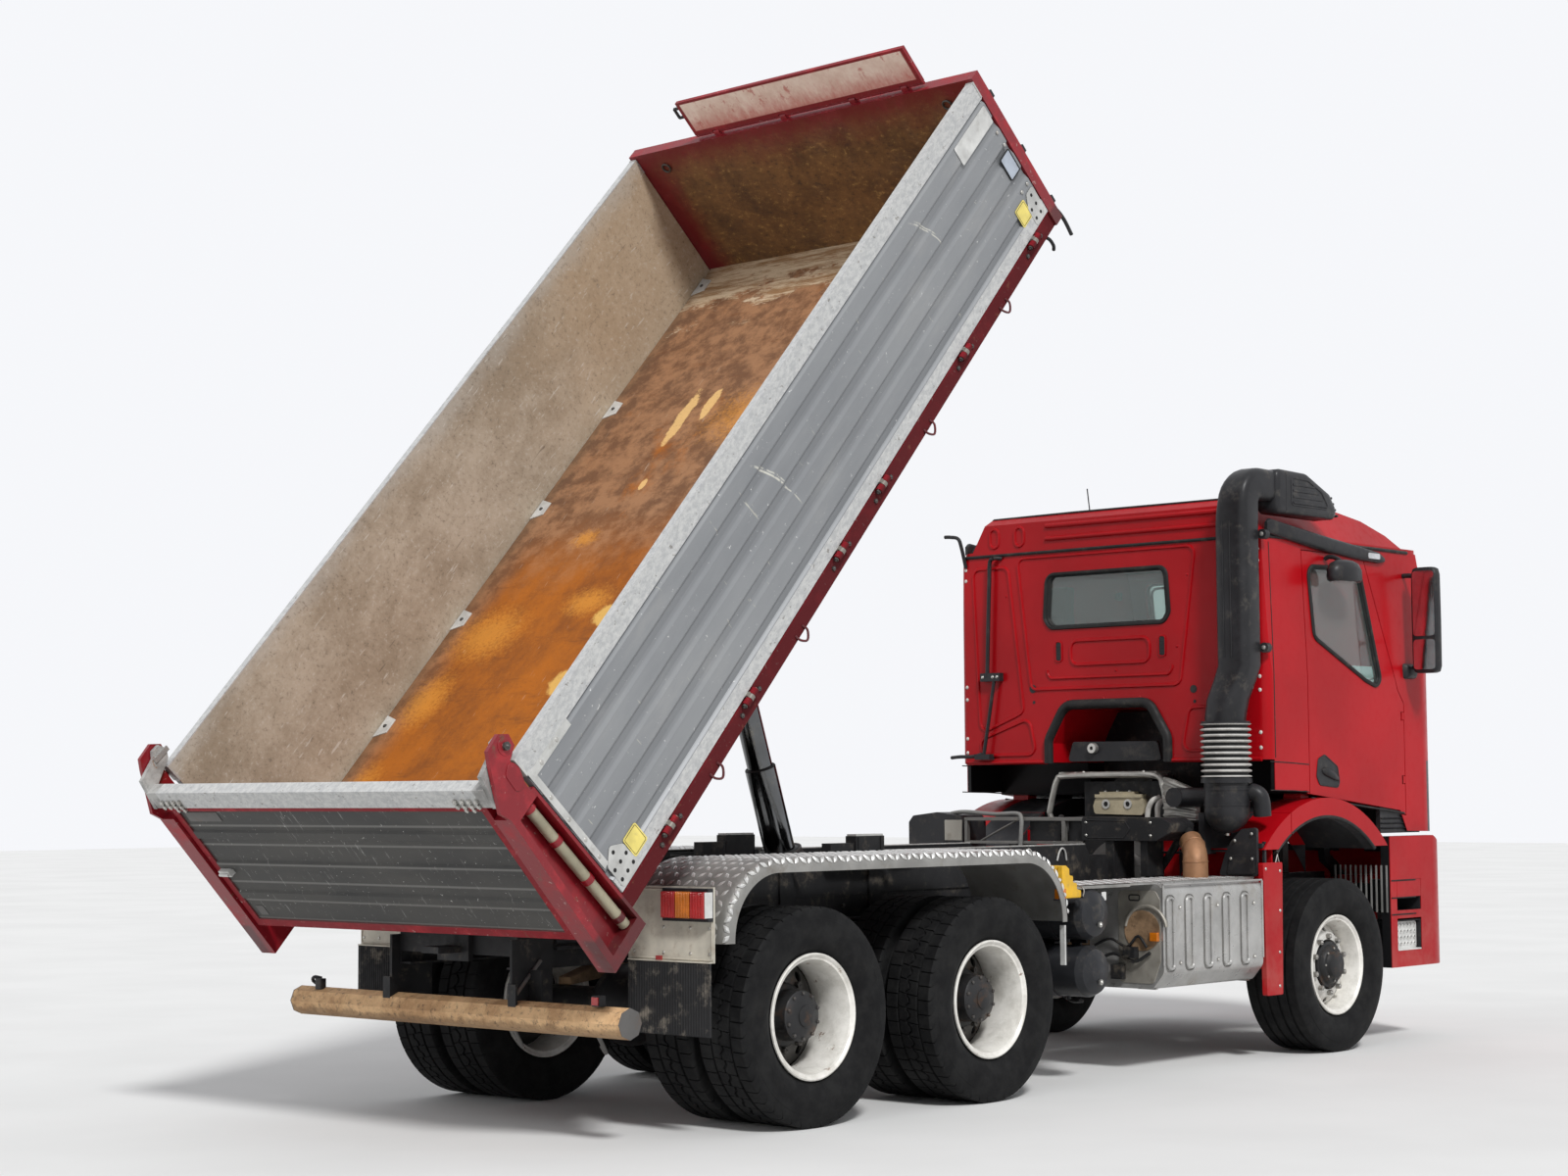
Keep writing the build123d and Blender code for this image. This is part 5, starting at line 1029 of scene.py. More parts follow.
def makeLight(s):
    for name, (source, strength, size) in s["suns"].items():
        data = bpy.data.lights.new(name, "SUN")
        data.energy, data.angle = strength, radians(size)
        lamp = bpy.data.objects.new(name, data)
        lamp.rotation_mode = "QUATERNION"
        lamp.rotation_quaternion = Vector(source).to_track_quat("Z", "Y")
        scene.collection.objects.link(lamp)
    world = bpy.data.worlds.new("studio")
    world.use_nodes = True
    scene.world = world
    tree = world.node_tree
    back = tree.nodes["Background"]
    ray = tree.nodes.new("ShaderNodeLightPath").outputs
    seen = mathNode(tree, "MAXIMUM", ray["Is Camera Ray"], ray["Is Transmission Ray"])
    glossy = mathNode(tree, "MULTIPLY", ray["Is Glossy Ray"], s["reflected"])
    most = mathNode(tree, "MAXIMUM", seen, glossy)
    strength = tree.nodes.new("ShaderNodeMapRange")
    tree.links.new(most, strength.inputs["Value"])
    strength.inputs["To Min"].default_value = s["lit"]
    strength.inputs["To Max"].default_value = s["seen"]
    tree.links.new(strength.outputs["Result"], back.inputs["Strength"])
    back.inputs["Color"].default_value = (*s["room"], 1)


def makeFloor():
    size = 60.0
    mesh = bpy.data.meshes.new("floor")
    mesh.from_pydata([(-size, -size, 0), (size, -size, 0), (size, size, 0), (-size, size, 0)], [], [(0, 1, 2, 3)])
    floor = bpy.data.objects.new("floor", mesh)
    scene.collection.objects.link(floor)
    f = Finish("floorPaint", (0.74, 0.74, 0.73), 0.85)
    f.colour(f.tones((0.72, 0.72, 0.71), (0.76, 0.76, 0.75), (0.3, 0.7), 0.6, 3))
    mesh.materials.append(f.material)


scene.view_settings.view_transform = "Standard"
makeCamera(cameraSetting)
makeLight(lightSetting)
makeFloor()
print("camera and light done")

# Tyres

tyreForm = {
    "radius": 0.515,
    "rimRadius": 0.292,
    "front": {"width": 0.38, "centres": [1.045], "rows": 0, "ribs": (-0.52, -0.18, 0.18, 0.52), "depth": 0.011},
    "twin": {"width": 0.308, "centres": [1.089, 0.741], "rows": 46, "ribs": (-0.4, 0.0, 0.4), "depth": 0.01},
}


def tyreShape(centre, axleY, form, start):
    # radius = section profile minus the groove depth where a cross groove or a rib groove runs;
    # the cross grooves shift sideways as a zigzag of the place across the tread, from a start angle on
    half, top = form["width"] / 2, tyreForm["radius"]
    bead = tyreForm["rimRadius"]
    side = np.array([(-0.72, bead - 0.01), (-0.735, bead + 0.012), (-0.86, bead + 0.03), (-0.95, bead + 0.06),
                     (-0.985, bead + 0.085), (-0.988, bead + 0.088), (-1.0, bead + 0.108), (-0.998, top - 0.08),
                     (-0.985, top - 0.058), (-0.975, top - 0.056), (-0.955, top - 0.036)])
    shoulder = [(-0.935, top - 0.022, 0.55), (-0.9, top - 0.008, 1.0), (-0.86, top - 0.001, 1.0)]
    edge = 0.035  # half the width of a rib groove
    tread = [(place + shift, groove) for place in form["ribs"] for shift, groove in ((-edge * 1.5, 0), (-edge, 1),
                                                                                     (edge, 1), (edge * 1.5, 0))]
    columns = [(x, r, 0.0, 0.0) for x, r in side]
    columns += [(x, r, mask, 0.0) for x, r, mask in shoulder]
    columns += [(x, top - 0.004 * x * x, 1.0, groove) for x, groove in tread]
    columns += [(-x, r, mask, 0.0) for x, r, mask in shoulder[::-1]]
    columns += [(-x, r, 0.0, 0.0) for x, r in side[::-1]]
    inner = bead - 0.016
    columns += [(0.7, inner, 0, 0), (-0.7, inner, 0, 0)]
    x, r, mask, rib = np.array(columns).T
    rows = form["rows"] or 60
    phases = np.array([0.0, 0.055, 0.065, 0.135, 0.145, 0.45, 0.75]) if form["rows"] else np.array([0.0, 0.34, 0.67])
    cross = np.array([0, 0, 1, 1, 0, 0, 0.0]) if form["rows"] else np.zeros(3)
    t = (np.arange(rows)[:, None] + phases).reshape(-1) / rows * 2 * pi + start
    deep = np.tile(cross, rows)[:, None]
    zigzag = 0.34 * np.sign(x) * np.minimum(abs(x) * 1.2, 0.7) + 0.22 * ((abs(x) > 0.4) & (abs(x) < 0.95))
    angle = t[:, None] + (zigzag * mask if form["rows"] else 0 * x) * 2 * pi / rows
    depth = np.maximum(deep * mask, rib * (mask > 0)) * form["depth"]
    radius = r - depth
    wave = 0.01 * np.sign((np.floor(t / (2 * pi) * rows * 2) % 2) - 0.5)[:, None] * (abs(x) < 0.3) * mask
    points = np.stack([centre + x * half + wave * (form["rows"] > 0), axleY + radius * np.cos(angle),
                       top + radius * np.sin(angle)], -1)
    return points.reshape(-1, 3), gridFaces(len(t), len(x), True, True)


def makeTyres():
    for place in ("front", "mid", "rear"):
        axleY = joints[f"roll_{place}_right"]["pos_m"][1]
        form = tyreForm["front" if place == "front" else "twin"]
        for side, sign in (("right", 1), ("left", -1)):
            shapes = []
            for index, centre in enumerate(form["centres"]):
                shape = tyreShape(centre, axleY, form, 0.02 + 0.05 * index + 0.03 * (place == "rear"))
                shapes.append(shape if sign > 0 else mirrored(shape))
            piece(f"tyre_tread_{place}_{side}", [(shapes, "tyreRubber")], f"wheel_{place}_{side}",
                  smooth=28, replace=(f"tyre_{place}_{side}",))


makeTyres()
print("tyres done")

# Wheels: rolled band, dished disc with hand holes, hub, studs and nuts

wheelForm = {
    "front": {"centre": 1.045, "half": 0.19, "disc": [(0.15, 0.088), (0.185, 0.08), (0.225, 0.052), (0.256, 0.02)],
              "holes": 10, "holeRing": 0.212, "hole": 0.019, "nutX": 0.09, "hub": "front"},
    "twin": {"centre": 1.089, "half": 0.154,
             "disc": [(0.135, -0.07), (0.19, -0.076), (0.235, -0.098), (0.256, -0.108)],
             "holes": 10, "holeRing": 0.213, "hole": 0.025, "nutX": -0.068, "hub": "twin"},
    "nuts": 10, "nutRing": 0.1675, "nut": 0.0165,
}
hubProfiles = {  # closed (along, radius) profiles from the axle's middle outwards, measured from the tyre's middle
    "front": [(-0.02, 0.0), (-0.02, 0.135), (0.088, 0.138), (0.096, 0.136), (0.1, 0.118), (0.12, 0.112),
              (0.128, 0.106), (0.131, 0.088), (0.138, 0.084), (0.152, 0.078), (0.158, 0.066), (0.159, 0.0)],
    "twin": [(-0.1, 0.0), (-0.1, 0.15), (-0.06, 0.15), (-0.052, 0.144), (-0.046, 0.122), (0.03, 0.117),
             (0.036, 0.12), (0.048, 0.12), (0.053, 0.115), (0.058, 0.1), (0.062, 0.094), (0.07, 0.06),
             (0.073, 0.052), (0.08, 0.05), (0.083, 0.044), (0.084, 0.0)],
}


def bandProfile(half):
    # the flange curls over the tyre's bead on both sides, and a drop centre joins the two bead seats
    seat = half * 0.72
    side = [(seat + 0.0015, 0.277), (seat + 0.002, 0.291), (seat + 0.009, 0.298), (seat + 0.017, 0.2975),
            (seat + 0.021, 0.291), (seat + 0.017, 0.284), (seat + 0.009, 0.278), (seat + 0.006, 0.268),
            (seat - 0.012, 0.262), (seat * 0.48, 0.247)]
    outer = [(seat * 0.48, 0.256), (seat - 0.012, 0.2735)]
    left = [(-x, r) for x, r in side[::-1]]
    return side + left + [(-x, r) for x, r in outer[::-1]] + outer


def rimShapes(form, axleY):
    centre = (form["centre"], axleY, tyreForm["radius"])
    band = lathe(bandProfile(form["half"]), centre, 72)
    disc = holedDisc(form["disc"], form["holes"], form["holeRing"], form["hole"], centre, 0.011)
    hub = lathe(hubProfiles[form["hub"]], centre, 40)
    ringPlace = (centre[0] + form["nutX"], axleY, centre[2] + wheelForm["nutRing"])
    nuts = around(nut(ringPlace, (1, 0, 0), wheelForm["nut"], 0.02), wheelForm["nuts"], centre)
    return band, disc, hub, nuts, centre


def makeWheels():
    for place in ("front", "mid", "rear"):
        axleY = joints[f"roll_{place}_right"]["pos_m"][1]
        form = wheelForm["front" if place == "front" else "twin"]
        band, disc, hub, nuts, centre = rimShapes(form, axleY)
        if place == "front":
            ring = around(nut((centre[0] + 0.127, axleY, centre[2] + 0.097), (1, 0, 0), 0.008, 0.007), 8, centre)
            parts = [(band, "rimPaint"), (disc, "discPaint"), (hub, "hubBlack"), (nuts, "nutSteel"),
                     (ring, "nutSteel")]
        else:
            bolts = around(nut((centre[0] + 0.0535, axleY, centre[2] + 0.107), (1, 0, 0), 0.009, 0.01), 10, centre)
            inner = lathe(bandProfile(form["half"]), (0.741, axleY, centre[2]), 60)
            innerDisc = lathe([(0.098, 0.12), (0.098, 0.255), (0.086, 0.255), (0.086, 0.12)],
                              (0.741, axleY, centre[2]), 48)
            parts = [([band, inner], "rimPaint"), ([disc, innerDisc], "discDark"), (hub, "hubBlack"),
                     (nuts, "nutDark"), (bolts, "nutDark")]
        for side in ("right", "left"):
            made = parts if side == "right" else [(mirrored(shape), finish) for shape, finish in parts]
            piece(f"wheel_rim_{place}_{side}", made, f"wheel_{place}_{side}", smooth=32,
                  replace=(f"rim_{place}_{side}",))


makeWheels()
print("wheels done")

# Load bed fittings. Places are x, u along the floor and w up from it, in metres from the tipping pivot


def toGate(points):
    # a point of the upright tailgate is turned by its lean about the pin line, then carried with the bed
    x, u, w = np.moveaxis(np.asarray(points, float), -1, 0)
    lean = radians(-gateForm["lean"])
    du, dw = u - gateForm["pinU"], w - gateForm["pinW"]
    return toBed(np.stack([x, gateForm["pinU"] + du * cos(lean) - dw * sin(lean),
                           gateForm["pinW"] + du * sin(lean) + dw * cos(lean)], -1))


def inGate(shapes):
    points, faces = joined(shapes)
    return toGate(points), faces


sideFittings = {  # on the drop side's outer face: outlines and places in u and w
    "face": 1.255,
    "rearPlate": [(-0.24, 0.9), (-0.24, 0.3), (-0.205, 0.3), (-0.205, 0.862), (0.085, 0.862), (0.085, 0.9)],
    "lowPlate": [(-0.225, 0.155), (-0.225, 0.29), (-0.15, 0.345), (-0.085, 0.29), (-0.085, 0.155)],
    "frontPlate": [(4.33, 0.155), (4.33, 0.26), (4.38, 0.33), (4.455, 0.33), (4.455, 0.155)],
    "holes": [(-0.205, 0.19), (-0.205, 0.25), (-0.155, 0.19), (-0.155, 0.25), (-0.155, 0.31), (-0.105, 0.19),
              (-0.105, 0.25), (4.355, 0.19), (4.355, 0.245), (4.41, 0.19), (4.41, 0.245), (4.41, 0.3)],
    "bolts": [(-0.222, 0.36), (-0.222, 0.47), (-0.222, 0.6), (-0.222, 0.74), (-0.15, 0.881), (-0.02, 0.881),
              (4.43, 0.62), (4.43, 0.7), (4.36, 0.36), (4.43, 0.36)],
    "labels": [(-0.025, 0.245), (4.285, 0.275)], "labelHalf": 0.055, "labelEdge": 0.047,
    "namePlate": (4.075, 0.76, 4.445, 0.868),
    "bluePlate": (4.335, 0.455, 4.435, 0.59),
    "railEnds": [(-0.2475, -0.236), (4.456, 4.4675)],
}


def makeSideFittings():
    f, face = sideFittings, sideFittings["face"]

    def onBoard(outline, thick=0.003):
        return plate(outline, face - 0.0005, thick, "x")

    def square(u, w, half, radius):
        return roundedBox(u - half, w - half, u + half, w + half, radius)

    metal = [onBoard(f["rearPlate"]), onBoard(roundedOutline(f["lowPlate"], 0.02)),
             onBoard(roundedOutline(f["frontPlate"], 0.02))]
    caps = [box((1.208, rear, 0.905), (1.2575, front, 1.002)) for rear, front in f["railEnds"]]
    holes = [plate(circle(0.01, 12) + place, face + 0.0024, 0.0006, "x") for place in f["holes"]]
    bolts = [dome((face + 0.002, u, w), (1, 0, 0), 0.011, 0.006) for u, w in f["bolts"]]
    labels = [onBoard(square(u, w, f["labelHalf"], 0.012), 0.0022) for u, w in f["labels"]]
    edges = [ringOfLine(square(u, w, f["labelEdge"], 0.008), face + 0.0012, 0.0016, "x") for u, w in f["labels"]]
    pale = onBoard(roundedBox(*f["namePlate"], 0.01), 0.0022)
    blue = onBoard(roundedBox(*f["bluePlate"], 0.01), 0.004)
    frame = ringOfLine(roundedBox(*f["bluePlate"], 0.01), face + 0.003, 0.004, "x")
    parts = [(metal + caps, "railMetal"), (holes, "holeDark"), (bolts, "boltSteel"), (labels, "labelYellow"),
             (edges, "holeDark"), (frame, "holeDark")]
    onlyRight = [(pale, "platePale"), (blue, "plateBlue")]
    piece("side_fittings_right", [(inBed(shape), finish) for shape, finish in parts + onlyRight], "side_right",
          smooth=30)
    piece("side_fittings_left", [(inBed(mirrored(shape)), finish) for shape, finish in parts], "side_left",
          smooth=30)


bedFittings = {
    "feet": (0.78, 1.55, 2.4, 3.22, 4.3),  # u of the wear plates along the foot of both walls
    "foot": [(0, -0.075), (0.085, -0.045), (0.085, 0.045), (0, 0.075)],
    "hinges": (0.16, 0.94, 1.9, 2.37, 3.35, 4.24),
    "eyes": (0.55, 1.42, 2.86, 3.8),
    "clamps": (0.16, 0.5, 0.86),  # w of the blocks on the locking bar
    "collars": (0.05, 0.3, 0.55, 0.76),
    "horn": [(-0.335, 0.885), (-0.275, 0.885), (-0.245, 0.96), (-0.262, 1.02), (-0.325, 0.99)],
}


def makeFeetAndEyes():
    f = bedFittings
    plates = [plate([(1.2045 - x, u + du) for x, du in f["foot"]], 0.1755, 0.006, "z") for u in f["feet"]]
    bolts = [dome((1.165, u, 0.182), (0, 0, 1), 0.012, 0.008) for u in f["feet"]]
    piece("floor_foot_plates", [(inBedPair(plates), "platePale"), (inBedPair(bolts), "nutDark")], "bed",
          bevel=0.001)
    # perimeter rail: bolts beside each hinge, lashing eyes between them
    nuts, eyes = [], []
    for u in f["hinges"]:
        nuts += [nut((1.24, u + du, 0.095), (1, 0, 0), 0.012, 0.009) for du in (-0.085, 0.085)]
        nuts.append(nut((1.262, u - 0.054, 0.124), (0, -1, 0), 0.013, 0.006))
    for u in f["eyes"]:
        eyes.append(bentPipe([(1.24, u - 0.035, 0.075), (1.2545, u - 0.035, 0.045), (1.2545, u, 0.012),
                              (1.2545, u + 0.035, 0.045), (1.24, u + 0.035, 0.075)], 4, 0.006, 8))
    piece("rail_bolts_and_eyes", [(inBedPair(nuts), "nutDark"), (inBedPair(eyes), "bedRed")], "bed")


def makeFrontLocks():
    # black locking bars with their levers in front of the side walls, tie rings high on the headboard's inside
    bar = [pipe([(1.236, 4.545, 0.1), (1.236, 4.545, 0.94)], 0.013, 10)]
    bar += [box((1.205, 4.526, w - 0.022), (1.252, 4.566, w + 0.022)) for w in bedFittings["clamps"]]
    lever = bentPipe([(1.236, 4.545, 0.115), (1.24, 4.556, 0.06), (1.24, 4.56, 0.0), (1.236, 4.556, -0.085)], 4,
                     0.011, 8)
    hook = bentPipe([(1.2, 4.38, 0.05), (1.235, 4.38, 0.03), (1.24, 4.38, -0.015), (1.225, 4.38, -0.045)], 4, 0.01, 8)
    claw = box((1.226, 4.47, 0.92), (1.252, 4.545, 0.945))
    ring = ringOfLine(circle(0.026, 24) + (1.03, 0.905), 4.462, 0.006, "y")
    piece("front_locks", [(inBedPair(bar + [claw]), "blackPlastic"), (inBedPair([lever, hook]), "hubBlack"),
                          (inBedPair(ring), "nutDark")], "bed", bevel=0.0015)


def makePosts():
    # rear posts: a pale tube in the channel with its collars, horn reinforcement and pin head
    f, pinU, pinW = bedFittings, gateForm["pinU"], gateForm["pinW"]
    channel = pipe([(1.208, -0.312, 0.01), (1.208, -0.312, 0.8)], 0.0262, 18)
    collars = [pipe([(1.208, -0.312, w), (1.208, -0.312, w + 0.03)], 0.031, 18) for w in f["collars"]]
    boss = pipe([(1.2495, pinU, pinW), (1.253, pinU, pinW)], 0.04, 24)
    horn = plate(roundedOutline(f["horn"], 0.03), 1.2495, 0.004, "x")
    piece("post_tubes", [(inBedPair(channel), "postTube"), (inBedPair(collars), "bedRed"),
                         (inBedPair([boss, horn]), "bedRed")], "bed", bevel=0.001)


def makeGateFittings():
    # nuts on the tailgate's bar ends, pin heads, bare plates and a catch
    nuts = [nut((x, -0.417, w), (0, -1, 0), 0.0135, 0.012) for x in (0.985, 1.03, 1.075, 1.12)
            for w in (0.905, 0.932)]
    nuts += [nut((x, -0.4035, 0.872), (0, -1, 0), 0.012, 0.011) for x in (1.005, 1.055)]
    plates = [plate(roundedBox(*place, 0.006), -0.3955, -0.002, "y")
              for place in ((-1.05, 0.79, -0.8, 0.848), (-1.045, 0.175, -0.985, 0.235))]
    catch = [box((-1.085, -0.425, 0.452), (-1.005, -0.395, 0.487)), pipe([(-1.08, -0.43, 0.47), (-1.01, -0.43, 0.47)],
                                                                         0.008, 8)]
    arm = box((1.19, -0.285, 1.062), (1.198, -0.185, 1.088))
    pin = nut((1.259, gateForm["pinU"], gateForm["pinW"]), (1, 0, 0), 0.02, 0.01)
    piece("tailgate_nuts", [(inGate(bothSides(nuts)), "boltSteel"), (inGate(plates), "castGrey"),
                            (inGate(catch), "platePale"), (inGate(bothSides(arm)), "galvanised"),
                            (inGate(bothSides(pin)), "nutDark")], "gate", bevel=0.0008)


makeSideFittings()
makeFeetAndEyes()
makeFrontLocks()
makePosts()
makeGateFittings()
print("bed fittings done")

# Cab fittings. Places are row x, y, z in metres

cabForm = {"rear": 2.08, "half": 1.15, "roofHalf": 1.118, "waist": 2.25, "top": 3.06}


def sideX(z):
    # the cab's side leans inwards above its waist
    lean = (cabForm["half"] - cabForm["roofHalf"]) / (cabForm["top"] - cabForm["waist"])
    return cabForm["half"] - lean * np.maximum(np.asarray(z, float) - cabForm["waist"], 0)


def onSide(outline, proud=0.0):
    # points of the right side given in y and z
    y, z = np.asarray(outline, float).T
    return np.stack([sideX(z) + proud, y, z], -1)


def wallBead(outline):
    # a soft pressed line on the rear wall: a thin closed tube half sunk into it
    return ringOfLine(roundedOutline(outline, 0.05, 5), cabForm["rear"], 0.0105, "y")


def wallLine(points, radius):
    # an open pressed line on the rear wall, given in x and z
    return pipe(standing(points, cabForm["rear"], "y"), radius, 8)


rearWall = {  # outlines and places in x and z
    "window": [(-0.43, 2.58), (0.43, 2.58), (0.47, 2.64), (0.45, 2.92), (-0.45, 2.92), (-0.47, 2.64)],
    "vents": [(-0.362, 2.432), (0.413, 2.437)], "slots": 5, "slotPitch": 0.02,
    "beads": [
        [(-0.27, 2.345), (0.32, 2.345), (0.32, 2.495), (-0.27, 2.495)],
        [(-0.68, 3.035), (0.66, 3.035), (0.54, 2.2), (-0.58, 2.2)],
        [(-1.035, 2.985), (-0.755, 2.985), (-0.64, 2.06), (-0.985, 1.93)],
        [(-0.99, 1.89), (-0.6, 2.02), (-0.545, 1.79), (-0.975, 1.79)],
        [(0.6, 2.06), (0.79, 2.06), (0.79, 1.8), (0.545, 1.8)],
    ],
    "crease": [(-0.47, 2.33), (-0.43, 2.265), (0.46, 2.265), (0.5, 2.33)],
    "roofBeads": (3.148, 3.228), "roofPads": (-0.86, -0.66),
    "holes": [(-0.568, 2.205, 0.026), (0.633, 2.169, 0.024), (-0.56, 2.12, 0.01), (0.64, 2.095, 0.01)],
    "plugs": [(-0.3, 2.128), (-0.03, 2.132), (0.24, 2.13), (-0.77, 2.8), (0.6, 2.86), (0.52, 2.43), (0.07, 2.3)],
    "cornerPlugs": (2.985, 2.915, 2.23, 2.15, 1.9, 1.81),
}


def makeRearWall():
    f, y, back = rearWall, cabForm["rear"], (0, -1, 0)
    seal = ringOfLine(roundedOutline(f["window"], 0.06, 8), y - 0.001, 0.011, "y")
    dark = ringOfLine(roundedOutline(np.array(f["window"]) * (0.965, 1), 0.06, 8), y + 0.016, 0.02, "y")
    vents, rims = [], []
    for x, z in f["vents"]:
        outline = roundedBox(x - 0.024, z - 0.062, x + 0.024, z + 0.062, 0.018)
        vents.append(plate(outline, y + 0.001, -0.005, "y"))
        rims.append(ringOfLine(outline, y - 0.004, 0.0045, "y"))
        for slot in z + np.arange(f["slots"]) * f["slotPitch"]:
            vents.append(plate(rectangle(x - 0.019, slot - 0.05, x + 0.019, slot - 0.043), y - 0.003, -0.004, "y"))
    beads = [wallBead(outline) for outline in f["beads"]]
    beads.append(wallLine(roundedOutline(f["crease"], 0.03)[2:-2], 0.009))
    holes = [plate(circle(r, 20) + (x, z), y + 0.001, -0.003, "y") for x, z, r in f["holes"]]
    plugs = [dome((x, y, z), back, 0.009, 0.004) for x, z in f["plugs"]]
    corner = [dome((x, y + 0.0005, z), back, 0.012, 0.005) for z in f["cornerPlugs"] for x in (-1.095, 1.095)]
    # gutter round the roof joint and the dark edge above the roof's rear face
    half = cabForm["roofHalf"] + 0.002
    gutter = ringOfLine(roundedOutline(rectangle(-half, y - 0.002, half, 3.84), 0.05, 6), cabForm["top"] + 0.004,
                        0.011, "z")
    upper = pipe([(-0.905, y + 0.058, 3.3), (-0.3, y + 0.06, 3.305), (0.905, y + 0.06, 3.303)], 0.009, 8)
    slope = [pipe([(s * 1.04, y + 0.006, 3.098), (s * 0.905, y + 0.058, 3.3)], 0.009, 8) for s in (-1, 1)]
    roofBeads = [wallLine([(-0.45, z), (0.93, z)], 0.016) for z in f["roofBeads"]]
    roofBeads += [wallBead(rectangle(x - 0.035, 3.115, x + 0.035, 3.235)) for x in f["roofPads"]]
    flange = [wallLine([(x, 1.744), (x + 0.64, 1.744)], 0.014) for x in (-1.1, 0.46)]
    piece("rear_wall_trim", [([seal, dark], "sealRubber"), (vents + holes, "blackPlastic"),
                             (rims + beads + roofBeads + flange, "cabRed"), (plugs, "cabRed"), (corner, "plugWhite"),
                             ([gutter, upper] + slope, "sealRubber")], "cab", smooth=50)


tunnelForm = {  # outlines in x and z
    "arch": [(-0.445, 1.6), (-0.445, 1.885), (-0.315, 2.098), (0.315, 2.098), (0.445, 1.885), (0.445, 1.6)],
    "half": 0.445, "foot": 1.735,
    "shield": [(-0.42, 1.3), (0.42, 1.3), (0.42, 1.86), (0.3, 2.06), (-0.3, 2.06), (-0.42, 1.86)],
    "cover": [(-0.34, 1.745), (0.36, 1.745), (0.33, 1.862), (-0.3, 1.868)],
    "cap": (-0.14, 1.825),
    "capProfile": [(-0.03, 0.012), (-0.03, 0.03), (-0.022, 0.034), (0.0, 0.034), (0.0, 0.012)],
}


def makeTunnel():
    # thick rubber round the tunnel's mouth, the dark shield inside it and the oil filler
    f, y = tunnelForm, cabForm["rear"]
    arch = roundedOutline(f["arch"], 0.1, 8)
    arch = np.concatenate([[(-f["half"], f["foot"])], arch[arch[:, 1] > f["foot"]], [(f["half"], f["foot"])]])
    seal = pipe(standing(arch, y - 0.004, "y"), 0.031, 12)
    shield = plate(f["shield"], 2.62, 0.01, "y")
    cover = plate(roundedOutline(f["cover"], 0.02), y + 0.05, 0.02, "y")
    capX, capZ = f["cap"]
    cap = lathe(f["capProfile"], (capX, y + 0.05, capZ), 24, "y")
    hole = plate(circle(0.013, 16) + f["cap"], y + 0.028, -0.001, "y")
    piece("tunnel_seal", [(seal, "sealRubber"), (shield, "chassisBlack"), (cover, "blackPlastic"), (cap, "boltSteel"),
                          (hole, "holeDark")], "cab", smooth=50)


def makeRearRods():
    # grab rod and linkage at the left of the rear wall, a stubby mast at the roof's left corner
    y, wall = 2.045, cabForm["rear"]
    rod = bentPipe([(-0.8, 2.078, 3.045), (-0.84, y, 3.045), (-0.872, y, 3.02), (-0.878, y, 2.9), (-0.893, y, 2.55),
                    (-0.903, y, 2.29)], 6, 0.013, 10)
    lower = pipe([(-0.845, y, 2.285), (-0.885, y - 0.004, 2.05), (-0.93, y - 0.008, 1.8)], 0.011, 10)
    mast = bentPipe([(-1.09, 2.075, 3.0), (-1.105, 2.05, 3.13), (-1.125, 2.04, 3.19), (-1.19, 2.04, 3.205),
                     (-1.232, 2.04, 3.208)], 6, 0.012, 10)
    clip = box((-0.955, y - 0.01, 2.262), (-0.8, wall - 0.002, 2.314))
    foot = bentPipe([(-0.95, y, 1.8), (-1.02, y - 0.01, 1.785), (-1.12, y - 0.01, 1.785), (-1.2, y, 1.78)], 5, 0.012,
                    8)
    block = box((-1.0, y - 0.02, 1.765), (-0.88, wall - 0.002, 1.8))
    bolts = [dome((x, y - 0.01, 2.288), (0, -1, 0), 0.011, 0.006) for x in (-0.935, -0.855, -0.82)]
    piece("rear_rods", [([rod, lower, mast, clip, foot, block], "blackPlastic"), (bolts, "boltSteel")], "cab",
          smooth=50)


def makeAntenna():
    base = lathe([(0, 0), (0, 0.058), (0.014, 0.055), (0.022, 0.03), (0.03, 0.012), (0.03, 0)], (-0.31, 2.36, 3.309),
                 28, "z")
    whip = pipe([(-0.31, 2.36, 3.33), (-0.312, 2.35, 3.4), (-0.314, 2.34, 3.475)], 0.004, 8)
    piece("roof_antenna", [([base, whip], "blackPlastic")], "cab", smooth=50)


sideTrim = {
    # the air rail under the roof: y, middle's z, half height, half thickness
    "rail": [(2.13, 3.118, 0.03, 0.01), (2.16, 3.122, 0.045, 0.024), (2.7, 3.062, 0.048, 0.03),
             (3.2, 3.022, 0.042, 0.03), (3.42, 3.008, 0.034, 0.026), (3.5, 3.0, 0.014, 0.01)],
    "railX": 1.128,
    "lamp": (3.26, 2.995, 3.4, 3.03),
    # panel joints and the corner strip, in y and z
    "lines": [[(2.092, 1.728), (2.3, 1.722), (2.522, 1.712)], [(2.092, 1.56), (2.35, 1.556), (2.522, 1.548)],
              [(2.15, 1.75), (2.15, 2.25), (2.165, 3.03)]],
}


def makeSideTrim():
    f = sideTrim
    rail = layers([(y, roundedBox(-thick, -high, thick, high, min(thick, high) * 0.8, 4) + (f["railX"], z))
                   for y, z, high, thick in f["rail"]], "y")
    lamp = plate(roundedBox(*f["lamp"], 0.012), 1.155, 0.006, "x")
    lines = [pipe(onSide(line), 0.0035, 6) for line in f["lines"]]
    piece("side_trim", [(bothSides(rail), "blackPlastic"), (bothSides(lamp), "lampClear"),
                        (bothSides(lines), "sealRubber")], "cab", smooth=50)


